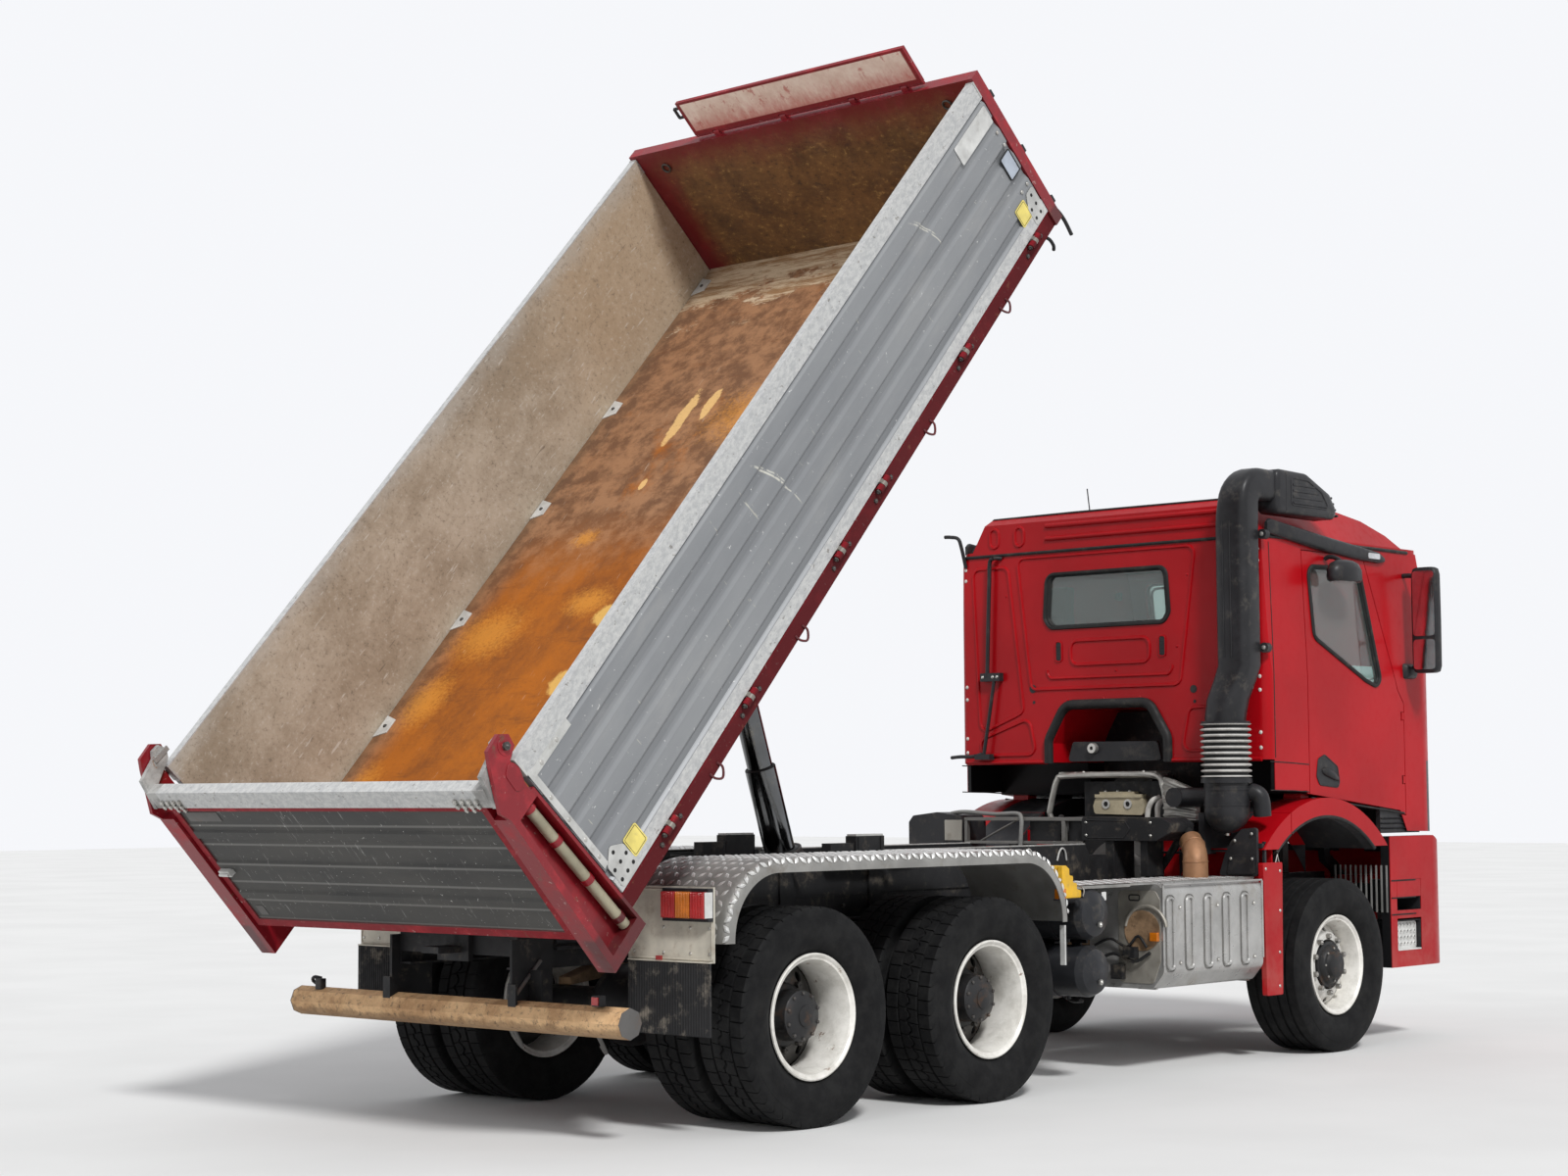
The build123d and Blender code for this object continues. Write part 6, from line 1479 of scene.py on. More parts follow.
doorForm = {  # outlines in y and z
    "window": [(2.62, 2.48), (2.585, 2.91), (3.195, 2.925), (3.4, 2.18), (3.2, 2.235)],
    "handle": [(2.605, 1.64), (2.625, 1.745), (2.7, 1.77), (2.845, 1.7), (2.865, 1.61), (2.85, 1.575), (2.64, 1.59)],
    # the grip's sections: y, z, half width and how much taller than wide
    "grip": [(2.665, 1.672, 0.008, 1), (2.69, 1.672, 0.02, 1.25), (2.78, 1.65, 0.022, 1.25), (2.84, 1.626, 0.016, 1),
             (2.85, 1.622, 0.006, 1)],
    "crease": [(2.545, 1.512), (3.05, 1.466), (3.645, 1.412)],
    "face": 1.1515,
}


def makeDoorTrim():
    f, face = doorForm, doorForm["face"]
    window, handle = roundedOutline(f["window"], 0.07, 8), roundedOutline(f["handle"], 0.03)
    seals = [loop(onSide(window, 0.002), 0.013, 8), loop(onSide(window, -0.014), 0.017, 8)]
    recess = plate(handle, face - 0.002, 0.003, "x")
    grip = layers([(y, circle(r, 16, tall) + (face, z)) for y, z, r, tall in f["grip"]], "y")
    rim = ringOfLine(handle, face, 0.0045, "x")
    crease = pipe(onSide(f["crease"]), 0.006, 8)
    parts = [(seals, "sealRubber"), ([recess, grip], "blackPlastic"), (rim, "blackPlastic"), (crease, "sealRubber")]
    piece("door_trim_right", parts, "door_right", smooth=50)
    piece("door_trim_left", [(mirrored(shape), finish) for shape, finish in parts], "door_left",
          smooth=50)


kerbMirror = {  # an oval case over the passenger's window that looks down
    "place": (1.262, 2.79), "half": (0.078, 0.165),
    "sections": [(2.815, 0.86), (2.822, 0.95), (2.845, 1.0), (2.89, 0.98), (2.925, 0.82), (2.945, 0.5), (2.95, 0.15)],
    "arm": [(1.13, 2.79, 2.965), (1.165, 2.79, 2.975), (1.215, 2.79, 2.96), (1.25, 2.79, 2.925)],
}


def makeKerbMirror():
    f, t = kerbMirror, np.linspace(0, 2 * pi, 20, endpoint=False)
    (x, y), (halfX, halfY) = f["place"], f["half"]
    case = layers([(z, np.stack([x + halfX * scale * np.cos(t), y + halfY * scale * np.sin(t)], -1))
                   for z, scale in f["sections"]], "z")
    arm = bentPipe(f["arm"], 5, 0.014, 10)
    glass = plate(circle(0.06, 20) * (1, 2.2) + f["place"], 2.8165, -0.002, "z")
    piece("kerb_mirror", [([case, arm], "blackPlastic"), (glass, "mirrorGlass")], "door_right",
          smooth=50)


mirrorForm = {
    "rear": 3.648, "inner": 1.226, "outer": 1.4075,
    # the case's sections: z and how much they shrink
    "sections": [(2.288, 0.03), (2.296, 0.01), (2.33, 0.0), (2.62, -0.002), (2.905, 0.0), (2.942, 0.01),
                 (2.952, 0.03)],
    "glasses": [(2.52, 2.93), (2.31, 2.498)],
    "arms": [[(1.075, 3.745, 2.9), (1.13, 3.74, 2.912), (1.2, 3.735, 2.908), (1.262, 3.725, 2.89)],
             [(1.15, 3.745, 2.31), (1.2, 3.742, 2.33), (1.265, 3.725, 2.345)]],
    # the foot at the waist: x, then the rectangle about its middle and its corner radius
    "foot": [(1.146, -0.075, -0.05, 0.07, 0.048, 0.02), (1.17, -0.068, -0.044, 0.064, 0.042, 0.02),
             (1.19, -0.04, -0.026, 0.04, 0.026, 0.015)],
    "footPlace": (3.745, 2.305),
}


def makeMirrors():
    # tall case with a rounded back, two glasses set in its rear face, arms to the pillar and the foot at the waist
    f, y = mirrorForm, mirrorForm["rear"]

    def plan(shrink):
        low, high, back = f["inner"] + shrink, f["outer"] - shrink, y + 0.112 - shrink
        corner = 0.045 + shrink * 0.4
        return roundedOutline([(low, y), (high, y), (high, y + 0.055), (f["outer"] - corner, back),
                               (f["inner"] + corner, back), (low, y + 0.055)], 0.022, 4)

    case = layers([(z, plan(shrink)) for z, shrink in f["sections"]], "z")
    glasses = [plate(roundedBox(f["inner"] + 0.016, low, f["outer"] - 0.016, high, 0.022), y + 0.002, -0.004, "y")
               for low, high in f["glasses"]]
    arms = [bentPipe(line, 5, 0.0155, 10) for line in f["arms"]]
    foot = layers([(x, roundedBox(*form) + f["footPlace"]) for x, *form in f["foot"]], "x")
    lever = box((1.058, 3.718, 2.872), (1.106, 3.772, 2.926))
    piece("mirror_cases", [(bothSides([case, foot, lever] + arms), "blackPlastic"),
                           (bothSides(glasses), "mirrorGlass")], "cab", smooth=45,
          replace=("mirrors",))


ductForm = {
    # upright rings: middle, half across, half along, corner radius
    "column": [((0.96, 1.915, 1.952), 0.119, 0.119, 0.112), ((0.96, 1.915, 1.985), 0.119, 0.119, 0.11),
               ((0.972, 1.926, 2.09), 0.117, 0.113, 0.09), ((1.003, 1.955, 2.2), 0.112, 0.102, 0.062),
               ((1.025, 1.974, 2.29), 0.11, 0.097, 0.052), ((1.025, 1.974, 3.1), 0.11, 0.097, 0.052),
               ((1.028, 1.974, 3.18), 0.108, 0.097, 0.05), ((1.036, 1.974, 3.258), 0.102, 0.097, 0.048)],
    # the hood's sections: x and how far each grows outwards
    "hood": [(1.01, -0.03), (1.016, -0.01), (1.03, 0.0), (1.148, 0.0), (1.162, -0.008), (1.169, -0.028)],
    "frame": [(2.355, 3.262), (2.355, 3.425), (2.545, 3.42), (2.7, 3.36), (2.79, 3.262)],
    "slats": 4, "slatPitch": 0.036,
    "noseSlats": (3.235, 3.27, 3.305, 3.34),
    "lugs": [(0.893, 0.893, 0.94), (1.157, 1.11, 1.157)],  # the ear's x, and from where to where its web runs
    "lugHeights": (2.395, 3.065),
}


def ductRing(centre, halfX, halfD, corner, phi=0.0):
    # a rounded rectangle across the duct; phi turns its depth direction from forward to up
    outline = roundedBox(-halfX, -halfD, halfX, halfD, corner)
    depth = np.array([0, cos(phi), -sin(phi)])
    return np.asarray(centre) + outline[:, :1] * np.array([1.0, 0, 0]) + outline[:, 1:] * depth


def ductColumn():
    rings = [ductRing(*ring) for ring in ductForm["column"]]
    for phi in np.linspace(0, pi / 2, 8)[1:]:
        part = phi / (pi / 2)
        place = (1.036 + 0.03 * part, 2.083 - 0.109 * cos(phi), 3.262 + 0.106 * sin(phi))
        rings.append(ductRing(place, 0.102 - 0.02 * part, 0.097, 0.046, phi))
    return skin(rings + [ductRing((1.068, y, 3.368), 0.082, 0.094, 0.04, pi / 2) for y in (2.16, 2.24)])


def ductHood():
    # a flat-sided hood, with slats in a shallow recess on its outer face and on its nose
    f = ductForm

    def face(grow):
        low, high = 3.205 - grow, 3.464 + grow
        return roundedOutline([(2.2 - grow, low), (2.205 - grow, 3.47 + grow), (2.54, high),
                               (2.81 + grow, 3.362 + grow), (2.925 + grow, low)], 0.045)

    slats = []
    for k in range(f["slats"]):
        z = 3.285 + k * f["slatPitch"]
        slats.append(along([(0, 0), (0.01, 0.004), (0.01, 0.014), (0, 0.02)], (1.163, 2.375, z),
                           (1.163, 2.755 - k * 0.045, z), (1, 0, 0)))
    for z in f["noseSlats"]:
        y = 2.925 - (z - 3.23) * 0.62
        slats.append(pipe([(1.035, y, z), (1.145, y, z)], 0.008, 8))
    frame = ringOfLine(roundedOutline(f["frame"], 0.02), 1.167, 0.007, "x")
    return [layers([(x, face(grow)) for x, grow in f["hood"]], "x"), frame] + slats


def ductSleeve():
    # the flexible joint: its radius swings between valley and crest along z, r = radius + wave cos(2 pi s)
    f = sleeveForm
    s = np.linspace(0, f["folds"], f["folds"] * 8 + 1)
    radius = f["radius"] + f["wave"] * np.cos(2 * pi * s)
    z = f["low"] + s * (f["high"] - f["low"]) / f["folds"]
    return lathe([(f["low"], 0.0)] + list(zip(z, radius)) + [(f["high"], 0.0)], f["place"], 40, "z")


def makeSnorkel():
    f = ductForm
    seam = pipe([(1.168, 2.3, 3.225), (1.168, 2.3, 3.452)], 0.004, 6)
    ribs = [pipe([(x, 1.8765, 2.34), (x, 1.8765, 3.14)], 0.0045, 8) for x in (0.985, 1.035)]
    lugs, bolts = [], []
    for z in f["lugHeights"]:
        for x, low, high in f["lugs"]:
            lugs.append(lathe([(0.0, 0.0), (0.0, 0.03), (0.045, 0.03), (0.045, 0.0)], (x, 2.033, z), 20, "y"))
            lugs.append(box((low, 2.04, z - 0.02), (high, 2.066, z + 0.02)))
            bolts.append(dome((x, 2.033, z), (0, -1, 0), 0.014, 0.01))
    clamps = [lathe([(z, 0.12), (z, 0.144), (z + 0.016, 0.144), (z + 0.016, 0.12)], sleeveForm["place"], 40, "z")
              for z in (1.622, 1.948)]
    piece("intake_duct", [([ductColumn()] + ductHood() + [seam] + ribs + lugs, "ductPlastic"), (bolts, "boltSteel"),
                          (ductSleeve(), "bellows"), (clamps, "blackPlastic")], "cab", smooth=40,
          replace=("snorkel",))


makeRearWall()
makeTunnel()
makeRearRods()
makeAntenna()
makeSideTrim()
makeDoorTrim()
makeKerbMirror()
makeMirrors()
makeSnorkel()
print("cab fittings done")

# Chassis fittings. Places are row x, y, z in metres


wingForm = {"y": 2.64, "z": 0.5231, "outer": 0.99, "inner": 0.878, "rear": 1.935, "split": 2.23, "front": 3.35,
            "steps": 40}


def wheelArc(radius, lowY, highY, x):
    # points of a circle about the wing's middle, between two places along the truck: the angle is acos(dy / radius)
    w = wingForm
    first, last = np.arccos((highY - w["y"]) / radius), np.arccos((lowY - w["y"]) / radius)
    t = np.linspace(first, last, w["steps"])
    return np.stack([np.full(w["steps"], x), w["y"] + radius * np.cos(t), w["z"] + radius * np.sin(t)], -1)


def arcSheet(radius, thick, x0, x1, lowY, highY):
    # a thin curved sheet: the outline of its cross-section is carried round the arc
    inner, outer = wheelArc(radius, lowY, highY, x0), wheelArc(radius + thick, lowY, highY, x0)
    return skin([np.array([a, (x1, *a[1:]), (x1, *b[1:]), b]) for a, b in zip(inner, outer)])


splashForm = {  # outlines in x and z, boxes by two opposite corners
    "cover": [(0.9, 1.062), (0.945, 1.19), (0.985, 1.262), (1.06, 1.335), (1.163, 1.345), (1.163, 1.062)],
    "inner": [(0.96, 1.075), (0.985, 1.18), (1.04, 1.19), (1.15, 1.18), (1.15, 1.075)],
    "bolts": [(1.135, 1.163), (0.99, 1.163), (1.02, 1.268), (1.135, 1.308)],
    "posts": [((1.168, 1.955, 1.135), (1.185, 1.973, 1.262)), ((1.168, 2.085, 1.135), (1.185, 2.103, 1.262)),
              ((1.1, 1.93, 1.225), (1.185, 2.11, 1.252))],
    "panelBolts": [(2.098, 1.09), (2.092, 0.86), (2.08, 0.62), (2.075, 0.425), (1.945, 1.105)],  # y and z
    "clip": [(1.19, 2.06, 1.138), (1.194, 2.075, 1.185), (1.19, 2.1, 1.138)],
}


def makeWings():
    # liners under the wings: one part tilts with the cab, one stays on the frame
    w = wingForm
    for name, body, lowY, highY in (("wing_liner_cab", "cab", w["split"] + 0.008, w["front"] - 0.001),
                                    ("wing_liner_frame", "chassis", w["rear"] + 0.001, w["split"] - 0.001)):
        liner = arcSheet(w["outer"] - 0.0135, 0.005, 0.622, 1.118, lowY, highY)
        cover = arcSheet(w["outer"] + 0.0004, 0.0025, 0.611, 0.955, lowY, highY)
        wall = arcSheet(w["inner"], w["outer"] - w["inner"], 0.6055, 0.6095, lowY, highY)
        low, high = max(lowY, 2.075), min(highY, 3.2)
        flange = arcSheet(w["inner"] - 0.004, 0.0036, 1.121, 1.19, low, high)
        back = arcSheet(w["inner"] + 0.001, 0.094, 1.1145, 1.1185, low, high)
        lip = pipe(wheelArc(w["inner"] + 0.001, low, high, 1.186), 0.0135, 10)
        parts = [(bothSides([liner, cover, wall, flange, back]), "blackPlastic"), (bothSides(lip), "sealRubber")]
        piece(name, parts, body, smooth=40)


def makeSplashCovers():
    # black cover behind the wing with its bolts, bracket posts over the red panel, the panel's bolts
    f = splashForm
    cover = plate(roundedOutline(f["cover"], 0.018), 1.906, 0.022, "y")
    inner = plate(roundedOutline(f["inner"], 0.015), 1.897, 0.012, "y")
    bolts = [dome((x, 1.896, z), (0, -1, 0), 0.01, 0.007) for x, z in f["bolts"]]
    posts = [box(*corners) for corners in f["posts"]]
    panelBolts = [dome((1.197, y, z), (1, 0, 0), 0.01, 0.005) for y, z in f["panelBolts"]]
    clip = pipe(f["clip"], 0.004, 6)
    piece("splash_covers", [(bothSides([cover, inner] + posts), "blackPlastic"),
                            (bothSides(bolts + panelBolts + [clip]), "boltSteel")], "chassis",
          bevel=0.001, smooth=45)


guardForm = {"front": -0.03, "rear": -2.66, "top": 1.26, "radius": 0.37, "low": 0.881, "inner": 0.6, "outer": 1.242,
             "pitch": 0.054, "lipPitch": 0.046, "depth": 0.066}


def guardPoint(s, depth):
    # a place on the guard's outline after a length s from its rear foot, moved inwards by depth, and its normal:
    # straight up, a quarter turn, the flat top, a quarter turn and straight down
    g = guardForm
    rise, arc = g["top"] - g["radius"] - g["low"], pi / 2 * g["radius"]
    flat = g["front"] - g["rear"] - 2 * g["radius"]
    s = np.asarray(s, float)
    ends = np.cumsum([rise, arc, flat, arc, rise])
    turn = pi / 2 * np.clip((s - ends[0]) / arc, 0, 1) + pi / 2 * np.clip((s - ends[2]) / arc, 0, 1)
    # the normal points back at first, then up, then forward
    ny, nz = -np.cos(turn), np.sin(turn)
    baseY = np.where(s < ends[1], g["rear"] + g["radius"],
                     np.where(s < ends[2], g["rear"] + g["radius"] + s - ends[1], g["front"] - g["radius"]))
    baseZ = np.where(s < ends[0], g["low"] + s, np.where(s > ends[3], g["top"] - g["radius"] - (s - ends[3]),
                                                         g["top"] - g["radius"]))
    r = g["radius"] - depth
    return baseY + r * ny, baseZ + r * nz, ny, nz


def guardLength():
    g = guardForm
    return 2 * (g["top"] - g["radius"] - g["low"]) + pi * g["radius"] + g["front"] - g["rear"] - 2 * g["radius"]


def quilt(place, across, count, pitch, long=0.025, wide=0.0115, high=0.0034):
    # raised lozenges, every second one turned a quarter: place(s, t) gives a point, two directions and the normal
    lengths = np.arange(count) * pitch + pitch / 2
    s, t = np.meshgrid(lengths, across, indexing="ij")
    s, t = s.ravel(), t.ravel()
    index = np.arange(len(s))
    odd = ((index // len(across)) + index % len(across)) % 2
    angle = np.where(odd == 0, pi / 4, -pi / 4)
    centre, one, two, normal = place(s, t)
    a = np.linspace(0, 2 * pi, 8, endpoint=False)
    squash = np.array([1.0, 0.8, 1.0, 0.8, 1.0, 0.8, 1.0, 0.8])
    u = long * np.cos(a) * squash
    v = wide * np.sin(a) * squash
    du = u[None] * np.cos(angle)[:, None] - v[None] * np.sin(angle)[:, None]
    dv = u[None] * np.sin(angle)[:, None] + v[None] * np.cos(angle)[:, None]
    ring = centre[:, None] + du[..., None] * one[:, None] + dv[..., None] * two[:, None] - 0.0005 * normal[:, None]
    spread = du[..., None] * one[:, None] + dv[..., None] * two[:, None]
    top = centre[:, None] + 0.45 * spread + high * normal[:, None]
    points = np.concatenate([ring, top], 1)
    base = (np.arange(len(s)) * 16)[:, None]
    faces = [base + np.array([[k, (k + 1) % 8, 8 + (k + 1) % 8, 8 + k]]) for k in range(8)]
    sides = np.stack(faces, 1).reshape(-1, 4).tolist()
    caps = (base + np.arange(15, 7, -1)).tolist() + (base + np.arange(8)).tolist()
    return points.reshape(-1, 3), sides + caps


def guardTop(s, t):
    # a place on the guard's top at x = t, with the directions along it and across it, and its normal
    y, z, ny, nz = guardPoint(s, 0.0)
    zero = np.zeros_like(s)
    return (np.stack([t, y, z], -1), np.stack([zero, nz, -ny], -1), np.stack([zero + 1, zero, zero], -1),
            np.stack([zero, ny, nz], -1))


def guardLip(s, t):
    # the same on the lip's own band, which faces outwards and up: t is the inward depth
    y, z, ny, nz = guardPoint(s, t)
    zero, tilt = np.zeros_like(s), 0.5
    normal = np.stack([zero + cos(tilt), ny * sin(tilt), nz * sin(tilt)], -1)
    down = np.stack([zero + sin(tilt), -ny * cos(tilt), -nz * cos(tilt)], -1)
    return np.stack([zero + 1.2345, y, z], -1), np.stack([zero, nz, -ny], -1), down, normal


def makeGuards():
    g, total = guardForm, guardLength()
    depth, bend = g["depth"], 0.62  # the guard is cut finer within a bend of both ends
    s = np.unique(np.concatenate([np.linspace(0, total, 30), np.linspace(0.0, bend, 26),
                                  np.linspace(total - bend, total, 26)]))
    # the section's x and depth: flat, turned down in a soft edge outside, 5 mm thick
    section = [(g["inner"], 0.0), (1.19, 0.0), (1.212, 0.003), (1.229, 0.012), (1.239, 0.026), (1.2415, 0.042),
               (1.2415, depth), (1.2365, depth), (1.2365, 0.043), (1.2345, 0.029), (1.226, 0.016), (1.211, 0.008),
               (1.19, 0.0052), (g["inner"], 0.0052)]
    guard = skin([np.array([(x, *guardPoint(length, inward)[:2]) for x, inward in section]) for length in s])
    across = np.arange(g["inner"] + 0.03, 1.19, g["pitch"])
    top = quilt(guardTop, across, int(total / g["pitch"]), g["pitch"])
    lip = quilt(guardLip, np.array([0.012]), int(total / g["lipPitch"]), g["lipPitch"], 0.024, 0.0125, 0.006)
    bolts = [dome((x, float(guardPoint(total / 2 + d, 0)[0]), g["top"]), (0, 0, 1), 0.01, 0.006)
             for d in (-0.695, 0.0, 0.695) for x in (0.66, 1.13)]
    strip = box((1.195, -0.062, 0.655), (1.225, -0.05, 0.862))  # pale, in front of the guard's foot
    # the guard's plate is painted shade and its lozenges painted highlight, through treadBase and treadRaised
    piece("tread_guards", [(bothSides(guard), "treadBase"), (bothSides([top, lip]), "treadRaised"),
                           (bothSides(bolts), "boltSteel"), (bothSides(strip), "platePale")], "chassis",
          smooth=30, replace=("rear_mudguards",))
    shelf = [box((0.94, -0.038, 0.992), (1.2, 0.145, 0.998)), box((0.94, -0.034, 0.88), (1.2, -0.0285, 0.998)),
             box((0.94, 0.139, 0.998), (1.2, 0.145, 1.006))]
    piece("chock_shelf", [(shelf, "chassisBlack")], "chassis", bevel=0.001)


chockForm = {  # outlines in y and in z over the shelf
    "side": [(-0.024, 0.0), (0.142, 0.0), (0.142, 0.04), (0.106, 0.044), (0.106, 0.078), (0.072, 0.082),
             (0.072, 0.116), (0.04, 0.12), (0.04, 0.154), (0.01, 0.172), (-0.024, 0.172)],
    "core": [(-0.016, 0.004), (0.096, 0.004), (0.03, 0.11), (-0.016, 0.15)],
    "shelf": 0.9985, "wedges": (0.95, 1.075), "slices": 3, "slicePitch": 0.041,
    "wire": [(0.945, 0.152, 1.0), (0.945, 0.15, 1.05), (1.06, 0.15, 1.075), (1.19, 0.15, 1.05), (1.19, 0.152, 1.0)],
}


def makeChocks():
    # a wedge has a stepped slope of four rounded treads; a bent wire keeps the pair on its shelf
    f, wedges = chockForm, []
    side = roundedOutline([(y, f["shelf"] + z) for y, z in f["side"]], 0.008, 3)
    core = [(y, f["shelf"] + z) for y, z in f["core"]]
    for x in f["wedges"]:
        wedges += [plate(side, x + k * f["slicePitch"], 0.03, "x") for k in range(f["slices"])]
        wedges.append(plate(core, x + 0.002, 0.106, "x"))
    wire = bentPipe(f["wire"], 5, 0.004, 6)
    piece("chocks_ribbed", [(wedges, "chockYellow"), (wire, "boltSteel")], "chassis", bevel=0.003,
          replace=("wheel_chocks",))
    marker = box((1.2, -0.112, 1.0), (1.232, -0.052, 1.052))
    foot = [box((1.196, -0.12, 0.992), (1.228, -0.045, 1.0)), box((1.196, -0.045, 0.96), (1.2, -0.02, 1.05))]
    piece("side_marker_right", [(marker, "lampAmber"), (foot, "blackPlastic")], "chassis",
          bevel=0.004)


boxForm = {  # silencer cover and walkway
    "rear": 0.165, "top": 1.0595, "low": 0.722, "high": 1.13, "length": 1.74, "pitch": 0.046,
    "sheets": [((0.7, 0.165, 1.0562), (1.14, 1.908, 1.0595)), ((0.7, 0.165, 1.049), (1.136, 0.652, 1.0562)),
               ((1.137, 0.165, 1.04), (1.14, 0.66, 1.0595))],
    "bolts": [(y, z) for y in (1.052, 1.429, 1.806) for z in (0.915, 0.61)],
    "panels": 0.958 + 0.1885 * np.arange(5),
    # lines and radius of the cover's rounded edges
    "edges": [([(1.196, 0.892, 0.6), (1.196, 0.892, 1.04)], 0.0065),
              ([(1.196, 1.9, 0.6), (1.196, 1.9, 1.04)], 0.0065),
              ([(1.1945, 0.892, 1.044), (1.1945, 1.9, 1.044)], 0.0055)],
}


def walkwayTop(s, t):
    # a place on the flat walkway, its two directions and its normal
    zero = np.zeros_like(s)
    return (np.stack([t, boxForm["rear"] + s, zero + boxForm["top"]], -1), np.stack([zero, zero + 1, zero], -1),
            np.stack([zero + 1, zero, zero], -1), np.stack([zero, zero, zero + 1], -1))


def makeBoxFittings():
    # tread plate walkway over the silencer cover and the air tanks, bolts in recesses, the cover's pressed panels
    f = boxForm
    sheets = [box(*corners) for corners in f["sheets"]]
    raised = quilt(walkwayTop, np.arange(f["low"], f["high"], f["pitch"]), int(f["length"] / f["pitch"]), f["pitch"],
                   0.021, 0.008, 0.0026)
    rings = [lathe([(1.1955, 0.013), (1.1975, 0.019), (1.1955, 0.025)], (0, y, z), 20, "x") for y, z in f["bolts"]]
    bolts = [nut((1.196, y, z), (1, 0, 0), 0.011, 0.006) for y, z in f["bolts"]]
    frames = [ringOfLine(roundedBox(y - 0.032, 0.58, y + 0.032, 0.97, 0.026), 1.2005, 0.0085, "x")
              for y in f["panels"]]
    grooves = [ringOfLine(roundedBox(y - 0.0465, 0.566, y + 0.0465, 0.984, 0.036), 1.1955, 0.004, "x")
               for y in f["panels"]]
    edges = [pipe(line, radius, 8) for line, radius in f["edges"]]
    straps = [box((1.0, y - 0.012, 0.466), (1.12, y + 0.012, 0.47)) for y in (0.93, 1.858)]
    # the walkway's plate is painted shade and its lozenges painted highlight, through treadBase and treadRaised
    piece("box_walkway", [(sheets, "treadBase"), (raised, "treadRaised"), (rings + frames + edges, "boxSilver"),
                          (grooves, "railDull"), (bolts + straps, "boltSteel")], "chassis",
          smooth=30)


silencerForm = {  # outline in x and z
    "shield": [(0.9, 0.5), (0.9, 1.01), (1.15, 1.01), (1.178, 0.96), (1.178, 0.62), (1.13, 0.5)],
    "cables": [([(0.74, 0.882, 0.7), (0.86, 0.865, 0.74), (0.97, 0.862, 0.7), (1.04, 0.87, 0.76),
                 (1.1, 0.868, 0.7)], 0.008),
               ([(0.74, 0.88, 0.6), (0.88, 0.86, 0.66), (1.02, 0.858, 0.62), (1.12, 0.87, 0.67)], 0.01)],
    "sensors": [((0.955, 0.842, 0.64), (1.035, 0.884, 0.7)), ((0.87, 0.846, 0.52), (0.945, 0.884, 0.6))],
}


def makeSilencerEnd():
    # the heat shield at the cover's open rear end, with cables and sensor boxes
    f, t = silencerForm, np.linspace(0.1, pi - 0.1, 20)
    shield = plate(roundedOutline(f["shield"], 0.03), 0.8895, -0.004, "y")
    arc = pipe(standing(np.stack([1.085 + 0.135 * np.cos(t), 0.8 + 0.125 * np.sin(t)], -1), 0.884, "y"), 0.011, 8)
    bowl = plate(circle(0.118, 28) * (1, 0.95) + (1.06, 0.79), 0.8845, -0.003, "y")
    handle = ringOfLine(roundedBox(0.975, 0.955, 1.045, 0.985, 0.01), 0.884, 0.004, "y")
    cables = [bentPipe(points, 5, radius, 8) for points, radius in f["cables"]]
    sensors = [box(*corners) for corners in f["sensors"]]
    marker = box((1.125, 0.86, 0.735), (1.172, 0.886, 0.782))
    piece("silencer_end", [([shield, arc], "engineAlloy"), (bowl, "rustySteel"),
                           (cables + sensors + [handle], "chassisBlack"), (marker, "lampAmber")], "chassis",
          bevel=0.001, smooth=45)


tankForm = {
    "heights": (0.905, 0.6), "brackets": (0.53, 0.93),
    # points and radius of the hoses up to the frame
    "hoses": [([(0.6, 0.3, 1.045), (0.595, 0.31, 1.1), (0.53, 0.36, 1.13), (0.44, 0.42, 1.08)], 0.01),
              ([(0.62, 0.3, 0.745), (0.6, 0.2, 0.752), (0.52, 0.16, 0.8), (0.43, 0.16, 0.86)], 0.01),
              ([(1.05, 0.3, 0.452), (1.045, 0.33, 0.435), (0.9, 0.42, 0.43), (0.7, 0.47, 0.52)], 0.008)],
    "valves": [((0.62, 0.452, 0.7), (0.78, 0.545, 0.8)), ((0.8, 0.452, 0.56), (0.88, 0.52, 0.66)),
               ((0.46, 0.452, 0.56), (0.6, 0.5, 0.64))],
}


def makeTankFittings():
    # drain plugs, studs, hoses and the valve block on the bracket
    f, tanks = tankForm, tankForm["heights"]
    plugs = [nut((1.19, 0.3, z - 0.055), (1, 0, 0), 0.016, 0.01) for z in tanks]
    studs = [pipe([(x, 0.437, z + 0.12), (x, 0.452, z + 0.12)], 0.01, 8) for x in f["brackets"] for z in tanks]
    hoses = [bentPipe(points, 6, radius, 8) for points, radius in f["hoses"]]
    valves = [box(*corners) for corners in f["valves"]]
    label = plate(roundedBox(0.372, 0.975, 0.412, 1.02, 0.004), 1.1535, 0.003, "x")
    piece("tank_fittings", [(plugs + studs, "boltSteel"), (hoses + valves, "chassisBlack"), (label, "platePale")],
          "chassis", bevel=0.0015, smooth=45)


railForm = {  # the side plate's outline is row y and z
    "face": 0.4175, "plate": [(-0.61, 1.04), (-0.61, 1.256), (1.235, 1.256), (1.3, 1.16), (1.27, 1.04)],
    "bows": (0.682, 1.0), "nutRows": (0.815, 0.975), "nuts": (-3.0, 3.7, 0.3),
    "cradle": [((0.428, -1.075, 1.19), (0.49, -0.89, 1.3)), ((0.428, -0.886, 1.19), (0.5, -0.658, 1.335)),
               ((0.428, -0.56, 1.19), (0.47, -0.38, 1.25))],
    "hoses": [(0.43, 0.905), (0.434, 0.88), (0.438, 0.85)],  # x and z
    "liftHose": [(0.4, -0.42, 1.08), (0.31, -0.5, 1.16), (0.25, -0.6, 1.1), (0.23, -0.66, 0.98)],
}


